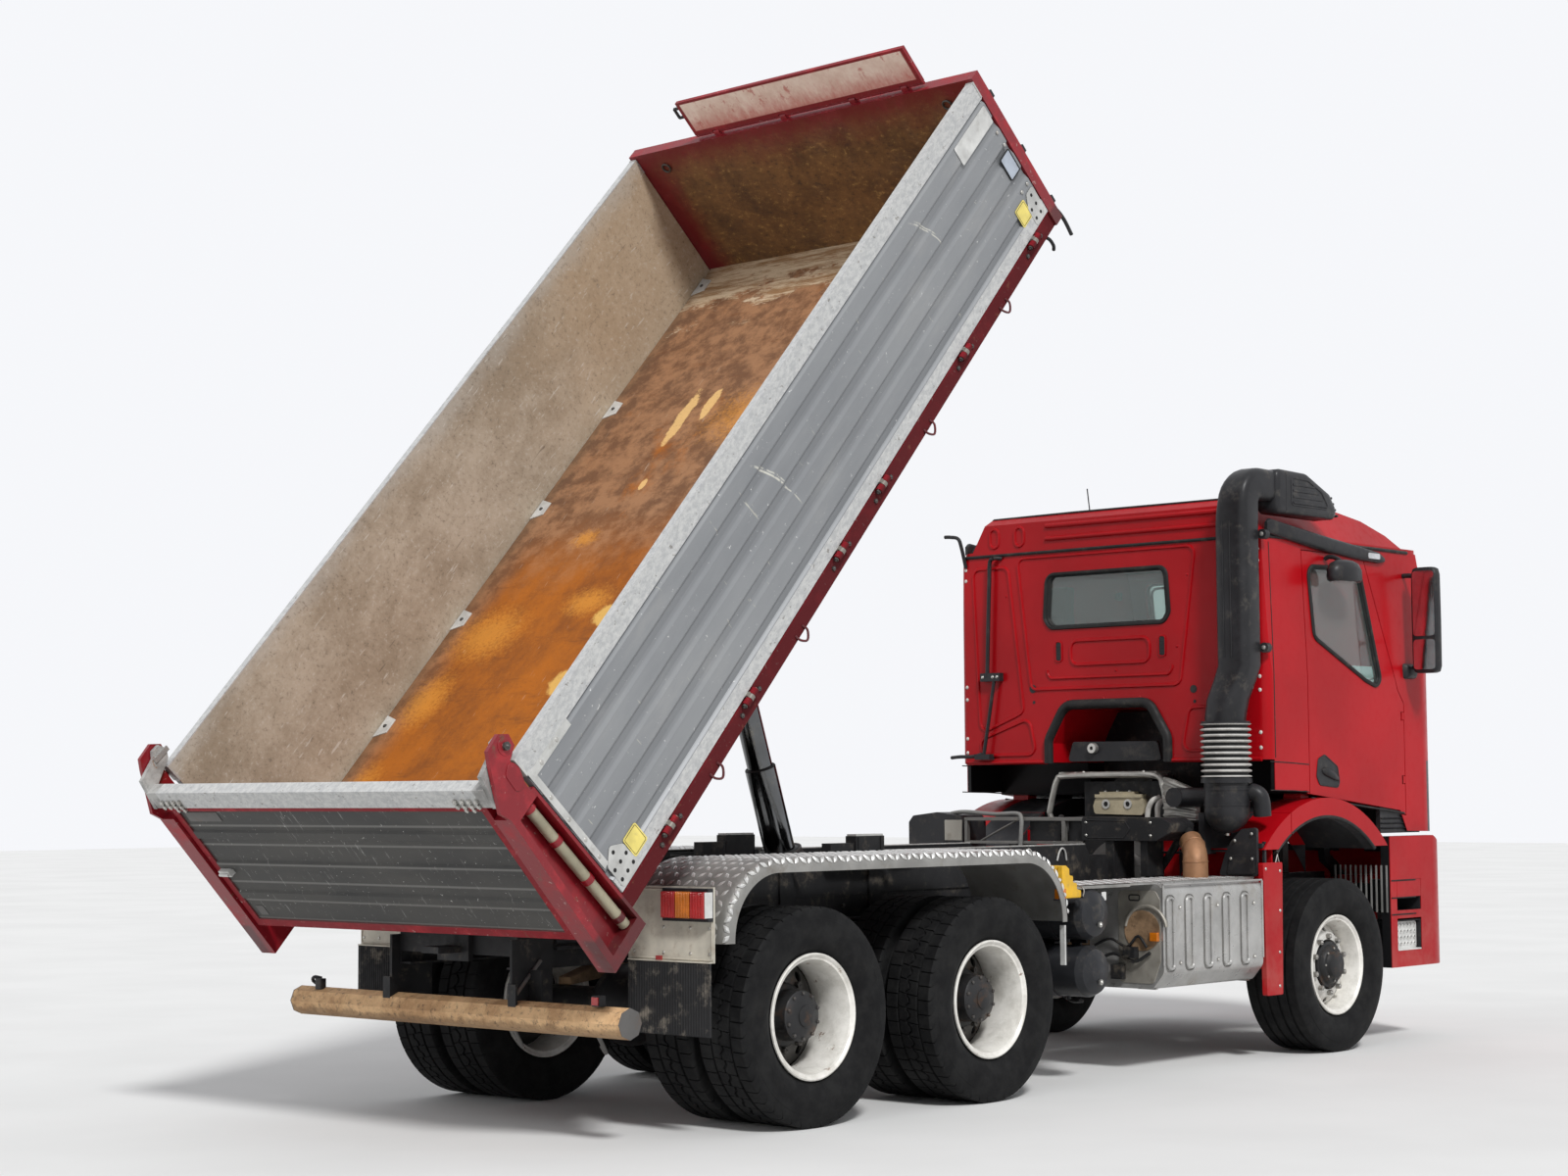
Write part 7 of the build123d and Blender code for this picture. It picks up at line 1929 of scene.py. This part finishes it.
def makeFrameFittings():
    # side plates beside the subframe with bright top edges and two bow handles, bolts along the frame's rails,
    # guide shoes and the cradle beside the lift cylinder
    f, face = railForm, railForm["face"]
    plates = plate(f["plate"], face, 0.01, "x")
    edge = pipe([(face + 0.005, -0.61, 1.2535), (face + 0.005, 1.235, 1.2535)], 0.0055, 8)
    bows = [bentPipe([(0.432, y - 0.045, 1.165), (0.436, y - 0.028, 1.215), (0.437, y, 1.235),
                      (0.436, y + 0.028, 1.215), (0.432, y + 0.045, 1.165)], 4, 0.006, 8) for y in f["bows"]]
    nuts = [nut((0.417, y, z), (1, 0, 0), 0.012, 0.009) for y in np.arange(*f["nuts"]) for z in f["nutRows"]]
    cradle = [box(*corners) for corners in f["cradle"]]
    pad = box((0.432, -0.88, 1.335), (0.496, -0.664, 1.345))
    ribs = [box((0.5, y, 1.192), (0.505, y + 0.012, 1.33)) for y in (-0.87, -0.69)]
    piece("subframe_plates", [(bothSides([plates] + cradle + ribs), "chassisBlack"),
                              (bothSides([edge] + bows + [pad]), "railMetal"), (bothSides(nuts), "nutDark")],
          "chassis", bevel=0.0015, smooth=45)


def makeFrameHoses():
    # hoses and cables along the right rail and down to the lift's foot, drawn once and mirrored
    lines = [bentPipe([(x, -2.95, z), (x, -1.9, z + 0.006), (x, -0.1, z), (x, 0.62, z + 0.004), (x, 1.55, z)], 6,
                      0.009, 8) for x, z in railForm["hoses"]]
    lines.append(bentPipe(railForm["liftHose"], 8, 0.016, 10))
    piece("frame_hoses", [(bothSides(lines), "blackPlastic")], "chassis", smooth=60)


crossForm = {  # outlines in x and z, boxes by two opposite corners
    "rear": 1.56,
    "tank": [(0.17, 1.268), (0.7, 1.268), (0.8, 1.318), (0.805, 1.368), (0.745, 1.402), (0.17, 1.407)],
    "emboss": [(0.2, 1.285), (0.47, 1.285), (0.515, 1.335), (0.48, 1.385), (0.2, 1.388)],
    "legs": [((0.33, 1.575, 1.03), (0.39, 1.785, 1.268)), ((-0.39, 1.575, 1.03), (-0.33, 1.785, 1.255)),
             ((0.56, 1.6, 1.062), (0.61, 1.76, 1.268))],
    "bars": [((-0.72, 1.56, 1.384), (0.172, 1.59, 1.404)), ((-0.72, 1.56, 1.244), (0.172, 1.59, 1.262)),
             ((-0.72, 1.56, 1.262), (-0.698, 1.59, 1.384)), ((0.02, 1.56, 1.262), (0.045, 1.59, 1.384)),
             ((-0.72, 1.765, 1.384), (0.172, 1.79, 1.404))],
    "panels": [((-0.245, 1.6, 1.262), (-0.015, 1.612, 1.384)), ((0.05, 1.594, 1.262), (0.165, 1.604, 1.384))],
    "case": [(-1.165, 1.095), (-1.165, 1.375), (-1.13, 1.415), (-0.94, 1.436), (-0.76, 1.415), (-0.735, 1.38),
             (-0.735, 1.095)],
    "greyHose": [(-0.88, 1.64, 1.428), (-0.74, 1.6, 1.438), (-0.5, 1.585, 1.424), (-0.33, 1.575, 1.428),
                 (-0.275, 1.555, 1.4), (-0.275, 1.55, 1.3), (-0.29, 1.56, 1.2)],
    # points, radius and sides of the black hoses
    "hoses": [([(0.1, 1.7, 1.1), (0.02, 1.66, 1.3), (-0.08, 1.7, 1.4), (-0.2, 1.9, 1.35), (-0.26, 2.05, 1.2)], 0.02,
               10),
              ([(0.86, 1.66, 1.1), (0.84, 1.7, 1.28), (0.74, 1.8, 1.33), (0.62, 1.86, 1.22), (0.5, 1.9, 1.1)], 0.024,
               12),
              ([(0.44, 1.84, 1.06), (0.47, 1.88, 1.25), (0.4, 1.95, 1.38), (0.3, 2.02, 1.36)], 0.018, 10)],
}


def makeBehindCab():
    # transverse tank and open frame behind the cab, box over the fuel tank, hoses between them
    f, y = crossForm, crossForm["rear"]
    tank = plate(roundedOutline(f["tank"], 0.015), y, 0.24, "y")
    emboss = ringOfLine(roundedOutline(f["emboss"], 0.012), y, 0.004, "y")
    legs, bars, panels = ([box(*corners) for corners in f[key]] for key in ("legs", "bars", "panels"))
    brace = pipe([(-0.6, 1.575, 1.262), (-0.33, 1.575, 1.384)], 0.007, 8)
    pale = box((-0.87, 1.552, 1.262), (-0.735, y, 1.388))
    case = plate(roundedOutline(f["case"], 0.02), y + 0.002, 0.235, "y")
    greyHose = bentPipe(f["greyHose"], 6, 0.013, 10)
    hoses = [bentPipe(points, 8, radius, sides) for points, radius, sides in f["hoses"]]
    bolts = [dome((x, y, z), (0, -1, 0), 0.009, 0.006) for x in (0.2, 0.66) for z in (1.3, 1.375)]
    piece("cross_frame", [([tank] + legs + [emboss] + panels, "chassisBlack"), (bars + [brace], "railDull"),
                          (pale, "engineAlloy"), (case, "blackPlastic"), (greyHose, "hoseGrey"),
                          (hoses, "sealRubber"), (bolts, "boltSteel")], "chassis", bevel=0.003,
          smooth=45)


engineForm = {
    "y": 2.15,
    "arch": [(-0.505, 1.425), (-0.475, 1.54), (-0.44, 1.632), (-0.38, 1.655), (0.0, 1.66), (0.3, 1.652),
             (0.352, 1.59), (0.372, 1.5), (0.392, 1.4)],
    "legs": [[(-0.505, 2.15, 1.43), (-0.44, 2.2, 1.18), (-0.4, 2.22, 0.95)],
             [(0.392, 2.15, 1.405), (0.398, 2.19, 1.2), (0.395, 2.21, 0.98)]],
    "top": [(-0.445, 2.145), (0.33, 2.145), (0.21, 2.42), (-0.44, 2.42)],
    "knobs": [(-0.25, 2.17), (0.2, 2.17), (-0.02, 2.4)],
    "bracket": [(-0.19, 1.42), (-0.2, 1.47), (-0.18, 1.52), (0.165, 1.52), (0.185, 1.47), (0.17, 1.412)],
    "bracketY": 2.195, "eyes": [(-0.1, 1.48), (0.063, 1.48)],
    "pipes": [[(0.236, 2.15, 1.395), (0.246, 2.15, 1.455), (0.272, 2.155, 1.5), (0.292, 2.2, 1.52)],
              [(0.312, 2.15, 1.395), (0.312, 2.15, 1.45), (0.316, 2.16, 1.482), (0.318, 2.2, 1.5)]],
    # the heat shield's places: x, y, low and high
    "shield": [(0.4, 2.09, 1.385, 1.64), (0.54, 1.99, 1.38, 1.62), (0.72, 1.955, 1.385, 1.56)],
    "shieldThick": 0.04, "shieldRibs": 6,
}


def engineShield():
    # a bent plate, and ribs on it that fan out from the frame's corner
    f = engineForm
    sheet = skin([np.array([(x, y, high), (x, y, low), (x, y + f["shieldThick"], low),
                            (x, y + f["shieldThick"], high)]) for x, y, low, high in f["shield"]])
    ribs = []
    for k in range(f["shieldRibs"]):
        a, b = 1.632 - 0.044 * k, 1.552 - 0.03 * k
        middle = (0.54, 1.988, (a + b) / 2 + 0.01)
        ribs.append(bentPipe([(0.405, 2.088, a), middle, (0.72, 1.955, b)], 5, 0.0115, 8))
    return [sheet] + ribs


def makeEngineTop():
    # cast frame round the engine's rear end, a bracket with two eyes inside it, pipes and the ribbed heat shield
    f, y, back = engineForm, engineForm["bracketY"], (0, -1, 0)
    arch = pipe(smoothLine(standing(f["arch"], f["y"], "y"), 6), 0.019, 8)
    legs = [pipe(line, 0.017, 8) for line in f["legs"]]
    top = plate(roundedOutline(f["top"], 0.03), 1.655, 0.014, "z")
    ribs = [pipe([(x, 2.15, 1.672), (x * 0.86 - 0.03, 2.41, 1.676)], 0.0085, 8) for x in np.linspace(-0.42, 0.3, 7)]
    ribs += [pipe([(-0.43, d, 1.674), (0.29 - (d - 2.18) * 0.42, d, 1.674)], 0.0085, 8) for d in (2.185, 2.3, 2.4)]
    knobs = [dome((*place, 1.672), (0, 0, 1), 0.014, 0.016) for place in f["knobs"]]
    bracket = plate(roundedOutline(f["bracket"], 0.02), y, 0.055, "y")
    shelf = [box((-0.18, y - 0.01, 1.52), (0.165, 2.26, 1.54)), box((-0.15, y, 1.54), (0.11, 2.255, 1.556))]
    eyes = [lathe([(-0.006, 0.016), (-0.006, 0.03), (0.004, 0.03), (0.004, 0.016)], (x, y, z), 24, "y")
            for x, z in f["eyes"]]
    holes = [plate(circle(0.017, 20) + place, y - 0.001, -0.001, "y") for place in f["eyes"]]
    studs = [dome((x, y, 1.532), back, 0.008, 0.006) for x in (-0.15, -0.02, 0.1)]
    studs += [dome((x, 2.22, 1.556), (0, 0, 1), 0.011, 0.012) for x in (-0.12, -0.03, 0.06)]
    pipes = [bentPipe(line, 6, 0.017, 12) for line in f["pipes"]]
    block = box((-0.3, 2.245, 1.16), (0.3, 2.3, 1.62))
    piece("engine_top", [([arch, top] + legs + ribs, "engineSilver"), (knobs + eyes + studs, "boltSteel"),
                         ([bracket] + shelf, "engineCream"), (holes, "holeDark"), (pipes, "plugWhite"),
                         (engineShield(), "engineSilver"), (block, "chassisBlack")], "chassis",
          bevel=0.0015, smooth=45)


def makeFilterFittings():
    # filter's second elbow and its clamps
    bend = bentPipe([(1.0, 1.975, 1.545), (1.075, 1.985, 1.55), (1.12, 2.0, 1.535), (1.135, 2.01, 1.49),
                     (1.135, 2.02, 1.41)], 7, 0.052, 20)
    clamp = lathe([(-0.008, 0.05), (-0.008, 0.057), (0.008, 0.057), (0.008, 0.05)], (1.062, 1.983, 1.549), 24, "x")
    bands = [lathe([(z, 0.128), (z, 0.1355), (z + 0.014, 0.1355), (z + 0.014, 0.128)], (0.96, 1.915, 0), 40, "z")
             for z in (1.47, 1.56)]
    nipple = lathe([(1.296, 0.0), (1.296, 0.014), (1.325, 0.017), (1.325, 0.0)], (0.96, 1.915, 0), 16, "z")
    piece("filter_fittings", [(bend, "blackPlastic"), (clamp, "boltSteel"), (bands, "blackPlastic"),
                              (nipple, "boltSteel")], "chassis", smooth=50)


elbowRings = [  # middle, tilt in radians, radius
    ((0.902, 1.66, 1.0565), 0.0, 0.074), ((0.902, 1.66, 1.15), 0.0, 0.073), ((0.899, 1.664, 1.176), 0.3, 0.072),
    ((0.888, 1.676, 1.205), 0.7, 0.071), ((0.868, 1.694, 1.232), 0.95, 0.07), ((0.818, 1.738, 1.268), 0.98, 0.069),
]


def makeElbow():
    # the outlet is two bent brown sleeves with a seam between them: its rings lean over from upright by the tilt
    rings, t = [], np.linspace(0, 2 * pi, 28, endpoint=False)
    for centre, tilt, radius in elbowRings:
        lean = np.array([-0.74, 0.6, 0.0]) * sin(tilt) + np.array([0, 0, 1.0]) * cos(tilt)
        side = np.cross(lean, [0.6, 0.74, 0.0])
        side /= np.linalg.norm(side)
        other = np.cross(lean, side)
        rings.append(np.asarray(centre) + radius * (np.cos(t)[:, None] * side + np.sin(t)[:, None] * other))
    bend = skin(rings)
    seams = [loop(rings[k], 0.004, 6) for k in (1, 4)]
    piece("outlet_elbow", [([bend] + seams, "brassBrown")], "chassis", smooth=40,
          replace=("exhaust_elbow",))


tailForm = {"lamps": [(0.968, "lampRed"), (1.06, "lampAmber"), (1.152, "lampRed")], "ribs": 9, "ribPitch": 0.0095}


def makeTail():
    # lamps with ribbed lenses
    f, lenses = tailForm, {"lampRed": [], "lampAmber": []}
    rib = [(0.0, -0.0042), (0.0034, -0.0028), (0.0048, 0.0), (0.0034, 0.0028), (0.0, 0.0042)]
    for x, name in f["lamps"]:
        lenses[name].append(along(roundedBox(0, 0, 0.086, 0.026, 0.006), (x, -2.7985, 1.0), (x, -2.7985, 1.12)))
        for place in x + 0.005 + f["ribPitch"] * np.arange(f["ribs"]):
            lenses[name].append(along(rib, (place, -2.7975, 1.003), (place, -2.7975, 1.117), (0, -1, 0)))
    case = box((0.955, -2.774, 0.985), (1.245, -2.7405, 1.134))
    cap = box((1.24, -2.795, 1.002), (1.2455, -2.745, 1.118))
    piece("tail_lenses", [(bothSides(case), "blackPlastic"), (bothSides(lenses["lampRed"]), "lampRed"),
                          (bothSides(lenses["lampAmber"]), "lampAmber"), (bothSides(cap), "platePale")], "chassis",
          bevel=0.0012, smooth=35, replace=("tail_lamps",))


flapForm = {"face": -2.762, "low": 0.475, "high": 0.795, "from": 0.735, "to": 1.225, "pitch": 0.0165}


def makeTailTrim():
    # reflectors, the boards' rims and bolts, ribbed flaps
    f = flapForm
    reflectors = box((0.905, -2.768, 0.806), (0.945, -2.764, 0.826))
    rims = ringOfLine(roundedBox(0.722, 0.812, 1.236, 1.126, 0.01), -2.7405, 0.0045, "y")
    boltRow = [dome((x, -2.7405, z), (0, -1, 0), 0.008, 0.005) for x in (0.74, 0.93, 1.1, 1.22)
               for z in (0.84, 0.955)]
    flapRibs = [along([(0.0, -0.003), (0.0035, 0.0), (0.0, 0.003)], (x, f["face"], f["low"]),
                      (x, f["face"], f["high"]), (0, -1, 0)) for x in np.arange(f["from"], f["to"], f["pitch"])]
    piece("tail_trim", [(bothSides(reflectors), "lampRed"), (bothSides(rims), "creamPaint"),
                        (bothSides(boltRow), "boltSteel"), (bothSides(flapRibs), "flapRubber")], "chassis",
          smooth=35)


def makeUnderrunBar():
    # the eight-sided bar with its end caps, hangers, lamp, camera and hooks
    y, z = -3.18, 0.555
    bar = plate(circle(0.07, 8) + (y, z), -1.156, 2.312, "x")
    caps = [plate(circle(0.0705, 8) + (y, z), x, 0.005, "x") for x in (-1.16, 1.155)]
    hangers = [box((0.4173, -3.22, 0.56), (0.433, -2.97, 0.9)), box((0.4173, -3.232, 0.56), (0.47, -3.22, 0.7))]
    bracket = box((0.425, -3.12, 0.6), (0.52, -3.108, 0.76))
    lamp = box((0.962, y - 0.045, z + 0.07), (1.01, y - 0.005, z + 0.118))
    lens = box((0.966, y - 0.052, z + 0.076), (1.006, y - 0.045, z + 0.112))
    camera = [along(roundedBox(-0.022, -0.02, 0.022, 0.02, 0.008), (-0.985, y - 0.02, z + 0.06),
                    (-0.985, y - 0.02, z + 0.112), (1, 0, 0)),
              bentPipe([(-1.02, y, z + 0.075), (-1.045, y - 0.02, z + 0.1), (-1.02, y - 0.03, z + 0.118),
                        (-0.99, y - 0.01, z + 0.112)], 4, 0.009, 8)]
    stays = [pipe([(s * 0.44, -3.215, 0.64), (s * 0.44, -3.05, 0.8)], 0.01, 8) for s in (-1, 1)]
    hooks = [bentPipe([(x, -3.1, 0.5), (x, -3.06, 0.44), (x - 0.02, -3.02, 0.4), (x - 0.05, -3.02, 0.43)], 5, 0.01, 8)
             for x in (0.3, 0.86)]
    piece("underrun_rail",
          [(bar, "underrunBrown"), (caps, "castGrey"), (bothSides(hangers + [bracket]), "chassisBlack"),
           ([lamp] + camera, "blackPlastic"), (lens, "lampRed"), (stays + hooks, "castGrey")], "chassis",
          bevel=0.002, bevelSteps=1, smooth=25, replace=("underrun_bar",))


def makeBumperSteps():
    # liners and perforated treads in the two step recesses, pale fins behind the arch's end, grooves in the side
    rear, front, inner, face = 3.461, 3.759, 1.0012, 1.189
    edge, sheet, parts = face - 0.004, 0.004, []
    for low, high in ((0.5605, 0.7475), (0.8105, 0.9995)):
        parts += [box((inner, rear, low), (inner + sheet, front, high)),
                  box((inner, rear, low), (edge, rear + sheet, high)),
                  box((inner, front - sheet, low), (edge, front, high)),
                  box((inner, rear, high - sheet), (edge, front, high))]
    places = [(y, z) for y in rear + 0.045 + 0.042 * np.arange(6) for z in (0.602, 0.64, 0.678, 0.716)]
    collar = [(0.0, 0.008), (0.0, 0.0145), (0.006, 0.0115), (0.006, 0.008)]
    treads = [plate(roundedBox(rear + 0.012, 0.57, front - 0.012, 0.738, 0.02), 1.15, 0.008, "x")]
    treads += [lathe(collar, (1.158, y, z), 12, "x") for y, z in places]
    holes = [plate(circle(0.0085, 10) + place, 1.1582, 0.001, "x") for place in places]
    treads.append(box((1.1, rear + 0.006, 0.561), (face, front - 0.006, 0.57)))
    cover = plate(roundedBox(rear + 0.002, 0.892, front - 0.002, 0.9985, 0.008), 1.178, 0.012, "x")
    band = [pipe([(1.1905, 3.392, z), (1.1905, 3.69, z)], 0.0045, 8) for z in (0.995, 0.888, 0.785)]
    fins = [box((x, 3.3775, 0.8), (x + 0.01, 3.3848, 1.09)) for x in np.arange(0.8, 1.17, 0.036)]
    piece("step_inserts", [(bothSides(parts), "blackPlastic"), (bothSides(treads), "platePale"),
                           (bothSides(holes + band), "holeDark"), (bothSides(fins), "hoseGrey"),
                           (bothSides(cover), "cabRed")], "chassis", bevel=0.001, smooth=40)


ramForm = {"way": (0.0, -0.3257, 0.945473), "foot": (0.0, -0.83, 0.98)}


def makeRam():
    # rubber skirt at the cylinder's foot and a dark wiper ring at the top of every stage, as rings round its axis
    way, foot = np.array(ramForm["way"]), np.array(ramForm["foot"])
    side = np.cross(way, [1.0, 0.0, 0.0])

    def ringAt(s, radius, steps=40):
        t = np.linspace(0, 2 * pi, steps, endpoint=False)[:, None]
        return foot + way * s + radius * (np.cos(t) * np.array([1.0, 0.0, 0.0]) + np.sin(t) * side)

    def sleeve(profile):
        rings = np.array([ringAt(s, r) for s, r in profile])
        return rings.reshape(-1, 3), gridFaces(len(rings), rings.shape[1], True, True)

    skirt = sleeve([(0.12, 0.1), (0.12, 0.14), (0.14, 0.152), (0.17, 0.152), (0.19, 0.144), (0.215, 0.136),
                    (0.24, 0.128), (0.262, 0.121), (0.285, 0.116), (0.297, 0.108), (0.297, 0.1)])
    clamps = [sleeve([(s, r), (s, r + 0.005), (s + 0.01, r + 0.005), (s + 0.01, r)])
              for s, r in ((0.15, 0.15), (0.284, 0.112))]
    piece("ram_skirt", [(skirt, "sealRubber"), (clamps, "nutDark")], "ram_barrel", smooth=60)
    for k in (1, 2, 3):
        # each ring stands on its stage's end face, between its own wall and the next stage, so that all can nest
        top, outer, inner = 0.2955 + 0.45162 * k, 0.0968 - 0.015 * k, 0.0838 - 0.015 * k
        ring = sleeve([(top, inner), (top, outer), (top + 0.01, outer), (top + 0.014, outer - 0.004),
                       (top + 0.014, inner + 0.001), (top + 0.012, inner)])
        piece("ram_wiper_%d" % k, [(ring, "sealRubber")], "ram_stage_%d" % k, smooth=50)


def makeSkirts():
    # black skirt under the cab's side, over the bumper
    outline = [(3.372, 1.289), (3.86, 1.289), (3.86, 1.4285), (3.6, 1.4285), (3.372, 1.4515)]
    skirts = plate(outline, 1.105, 0.03, "x")
    ribs = [along([(0.0, -0.006), (0.01, 0.0), (0.0, 0.006)], (1.1345, 3.38, z), (1.1345, 3.85, z), (1, 0, 0))
            for z in (1.32, 1.35, 1.38)]
    piece("cab_skirts", [(bothSides([skirts] + ribs), "blackPlastic")], "cab", smooth=30)


makeWings()
makeSplashCovers()
makeGuards()
makeChocks()
makeBoxFittings()
makeSilencerEnd()
makeTankFittings()
makeFrameFittings()
makeFrameHoses()
makeBehindCab()
makeEngineTop()
makeFilterFittings()
makeElbow()
makeTail()
makeTailTrim()
makeUnderrunBar()
makeBumperSteps()
makeRam()
makeSkirts()
print("chassis fittings done")

# Front of the cab. Places are row x, y, z in metres

frontForm = {  # outlines in x and z
    "face": 4.15, "lean": 0.232, "leanFrom": 2.08, "leanOver": 0.98, "corner": 0.25, "cornerX": 0.9,
    "screen": [(-1.01, 2.12), (1.01, 2.12), (0.955, 2.985), (-0.955, 2.985)],
    "band": [(-0.985, 2.15), (0.985, 2.15), (0.93, 2.955), (-0.93, 2.955)],
    # a wiper's places after its pivot's x
    "wipers": (-0.62, 0.1), "pivotZ": 2.105, "elbow": (0.12, 2.14), "middle": (0.34, 2.205), "tip": (0.62, 2.3),
    "heel": (0.02, 2.165), "sillLine": 2.075,
}


def frontY(x, z):
    # the cab's front: a flat face that leans back above the sill, and an arc in plan at each corner,
    # y = face - r + sqrt(r^2 - (x - cornerX)^2)
    f = frontForm
    x, z = np.abs(np.asarray(x, float)), np.asarray(z, float)
    flat = f["face"] - f["lean"] * np.maximum(z - f["leanFrom"], 0) / f["leanOver"]
    past = np.maximum(x - f["cornerX"], 0)
    arc = f["face"] - f["corner"] + np.sqrt(np.maximum(f["corner"] ** 2 - past ** 2, 0))
    return np.minimum(flat, arc)


def onFront(outline, proud=0.0):
    # points given in x and z, laid on the cab's front
    x, z = np.asarray(outline, float).T
    return np.stack([x, frontY(x, z) + proud, z], -1)


def denser(outline, step=0.05):
    # a closed outline with points added along its long edges
    p = np.asarray(outline, float)
    rows = []
    for a, b in zip(p, np.roll(p, -1, 0)):
        count = max(1, int(np.linalg.norm(b - a) / step))
        rows.append(a + (b - a) * np.linspace(0, 1, count, endpoint=False)[:, None])
    return np.concatenate(rows)


def makeScreenTrim():
    f = frontForm
    seal = loop(onFront(denser(roundedOutline(f["screen"], 0.06, 6)), 0.002), 0.013, 8)
    band = loop(onFront(denser(roundedOutline(f["band"], 0.05, 6)), 0.001), 0.009, 6)
    wipers = []
    for x in f["wipers"]:
        elbow, middle, tip, heel = ((x + d, z) for d, z in (f["elbow"], f["middle"], f["tip"], f["heel"]))
        wipers.append(pipe(onFront([(x, f["pivotZ"]), elbow, middle], 0.016), 0.007, 6))
        wipers.append(pipe(onFront([heel, middle, tip], 0.01), 0.006, 6))
        wipers.append(dome((x, float(frontY(x, f["pivotZ"])), f["pivotZ"]), (0, 1, 0), 0.022, 0.02))
    line = pipe(onFront([(-0.86, f["sillLine"]), (0.86, f["sillLine"])]), 0.006, 6)
    piece("windscreen_trim", [([seal, band], "sealRubber"), (wipers + [line], "blackPlastic")], "cab",
          smooth=50)


def makeNoseTrim():
    # the panel's edge and two grab recesses
    grips = [ringOfLine(roundedBox(x - 0.07, 1.985, x + 0.07, 2.015, 0.012), 4.1665, 0.005, "y")
             for x in (-0.62, 0.62)]
    edge = ringOfLine(roundedBox(-0.857, 1.303, 0.857, 2.037, 0.03), 4.1645, 0.006, "y")
    piece("nose_trim", [(grips, "blackPlastic"), (edge, "cabRed")], "cab", smooth=50)


lampForm = {
    "lamps": [(0.78, 0.078), (0.95, 0.07)], "z": 0.8,  # x and radius
    # profiles: y and how much the radius differs
    "bezel": [(4.15, -0.001), (4.154, 0.001), (4.155, 0.006), (4.14, 0.008), (4.139, -0.001)],
    "bowl": [(4.1525, -0.028), (4.1535, -0.022), (4.1525, -0.016)],
    "filler": [(-1.08, -0.62), (-0.42, 0.42), (0.62, 1.08)],
}


def makeLampTrim():
    # bright bowls behind the round lenses and a dark surround, the bare plate, black filler behind the bumper's top
    f = lampForm
    bezels = [lathe([(y, r + grow) for y, grow in f["bezel"]], (x, 0, f["z"]), 36, "y") for x, r in f["lamps"]]
    bowls = [lathe([(4.1525, 0.0)] + [(y, r + grow) for y, grow in f["bowl"]] + [(4.1522, 0.0)], (x, 0, f["z"]), 32,
                   "y") for x, r in f["lamps"]]
    plateBlank = box((-0.255, 4.1565, 0.706), (0.255, 4.1595, 0.814))
    rim = ringOfLine(roundedBox(-0.258, 0.703, 0.258, 0.817, 0.006), 4.158, 0.004, "y")
    filler = [box((low, 4.06, 1.16), (high, 4.085, 1.205)) for low, high in f["filler"]]
    hooks = [plate(circle(0.03, 20) + (x, 0.69), 4.1605, 0.002, "y") for x in (-0.52, 0.52)]
    piece("lamp_trim", [(bothSides(bezels), "boltSteel"), (bothSides(bowls), "mirrorGlass"),
                        (plateBlank, "platePale"), ([rim] + filler, "blackPlastic"), (hooks, "blackPlastic")],
          "chassis", smooth=50)


makeScreenTrim()
makeNoseTrim()
makeLampTrim()
print("front done")
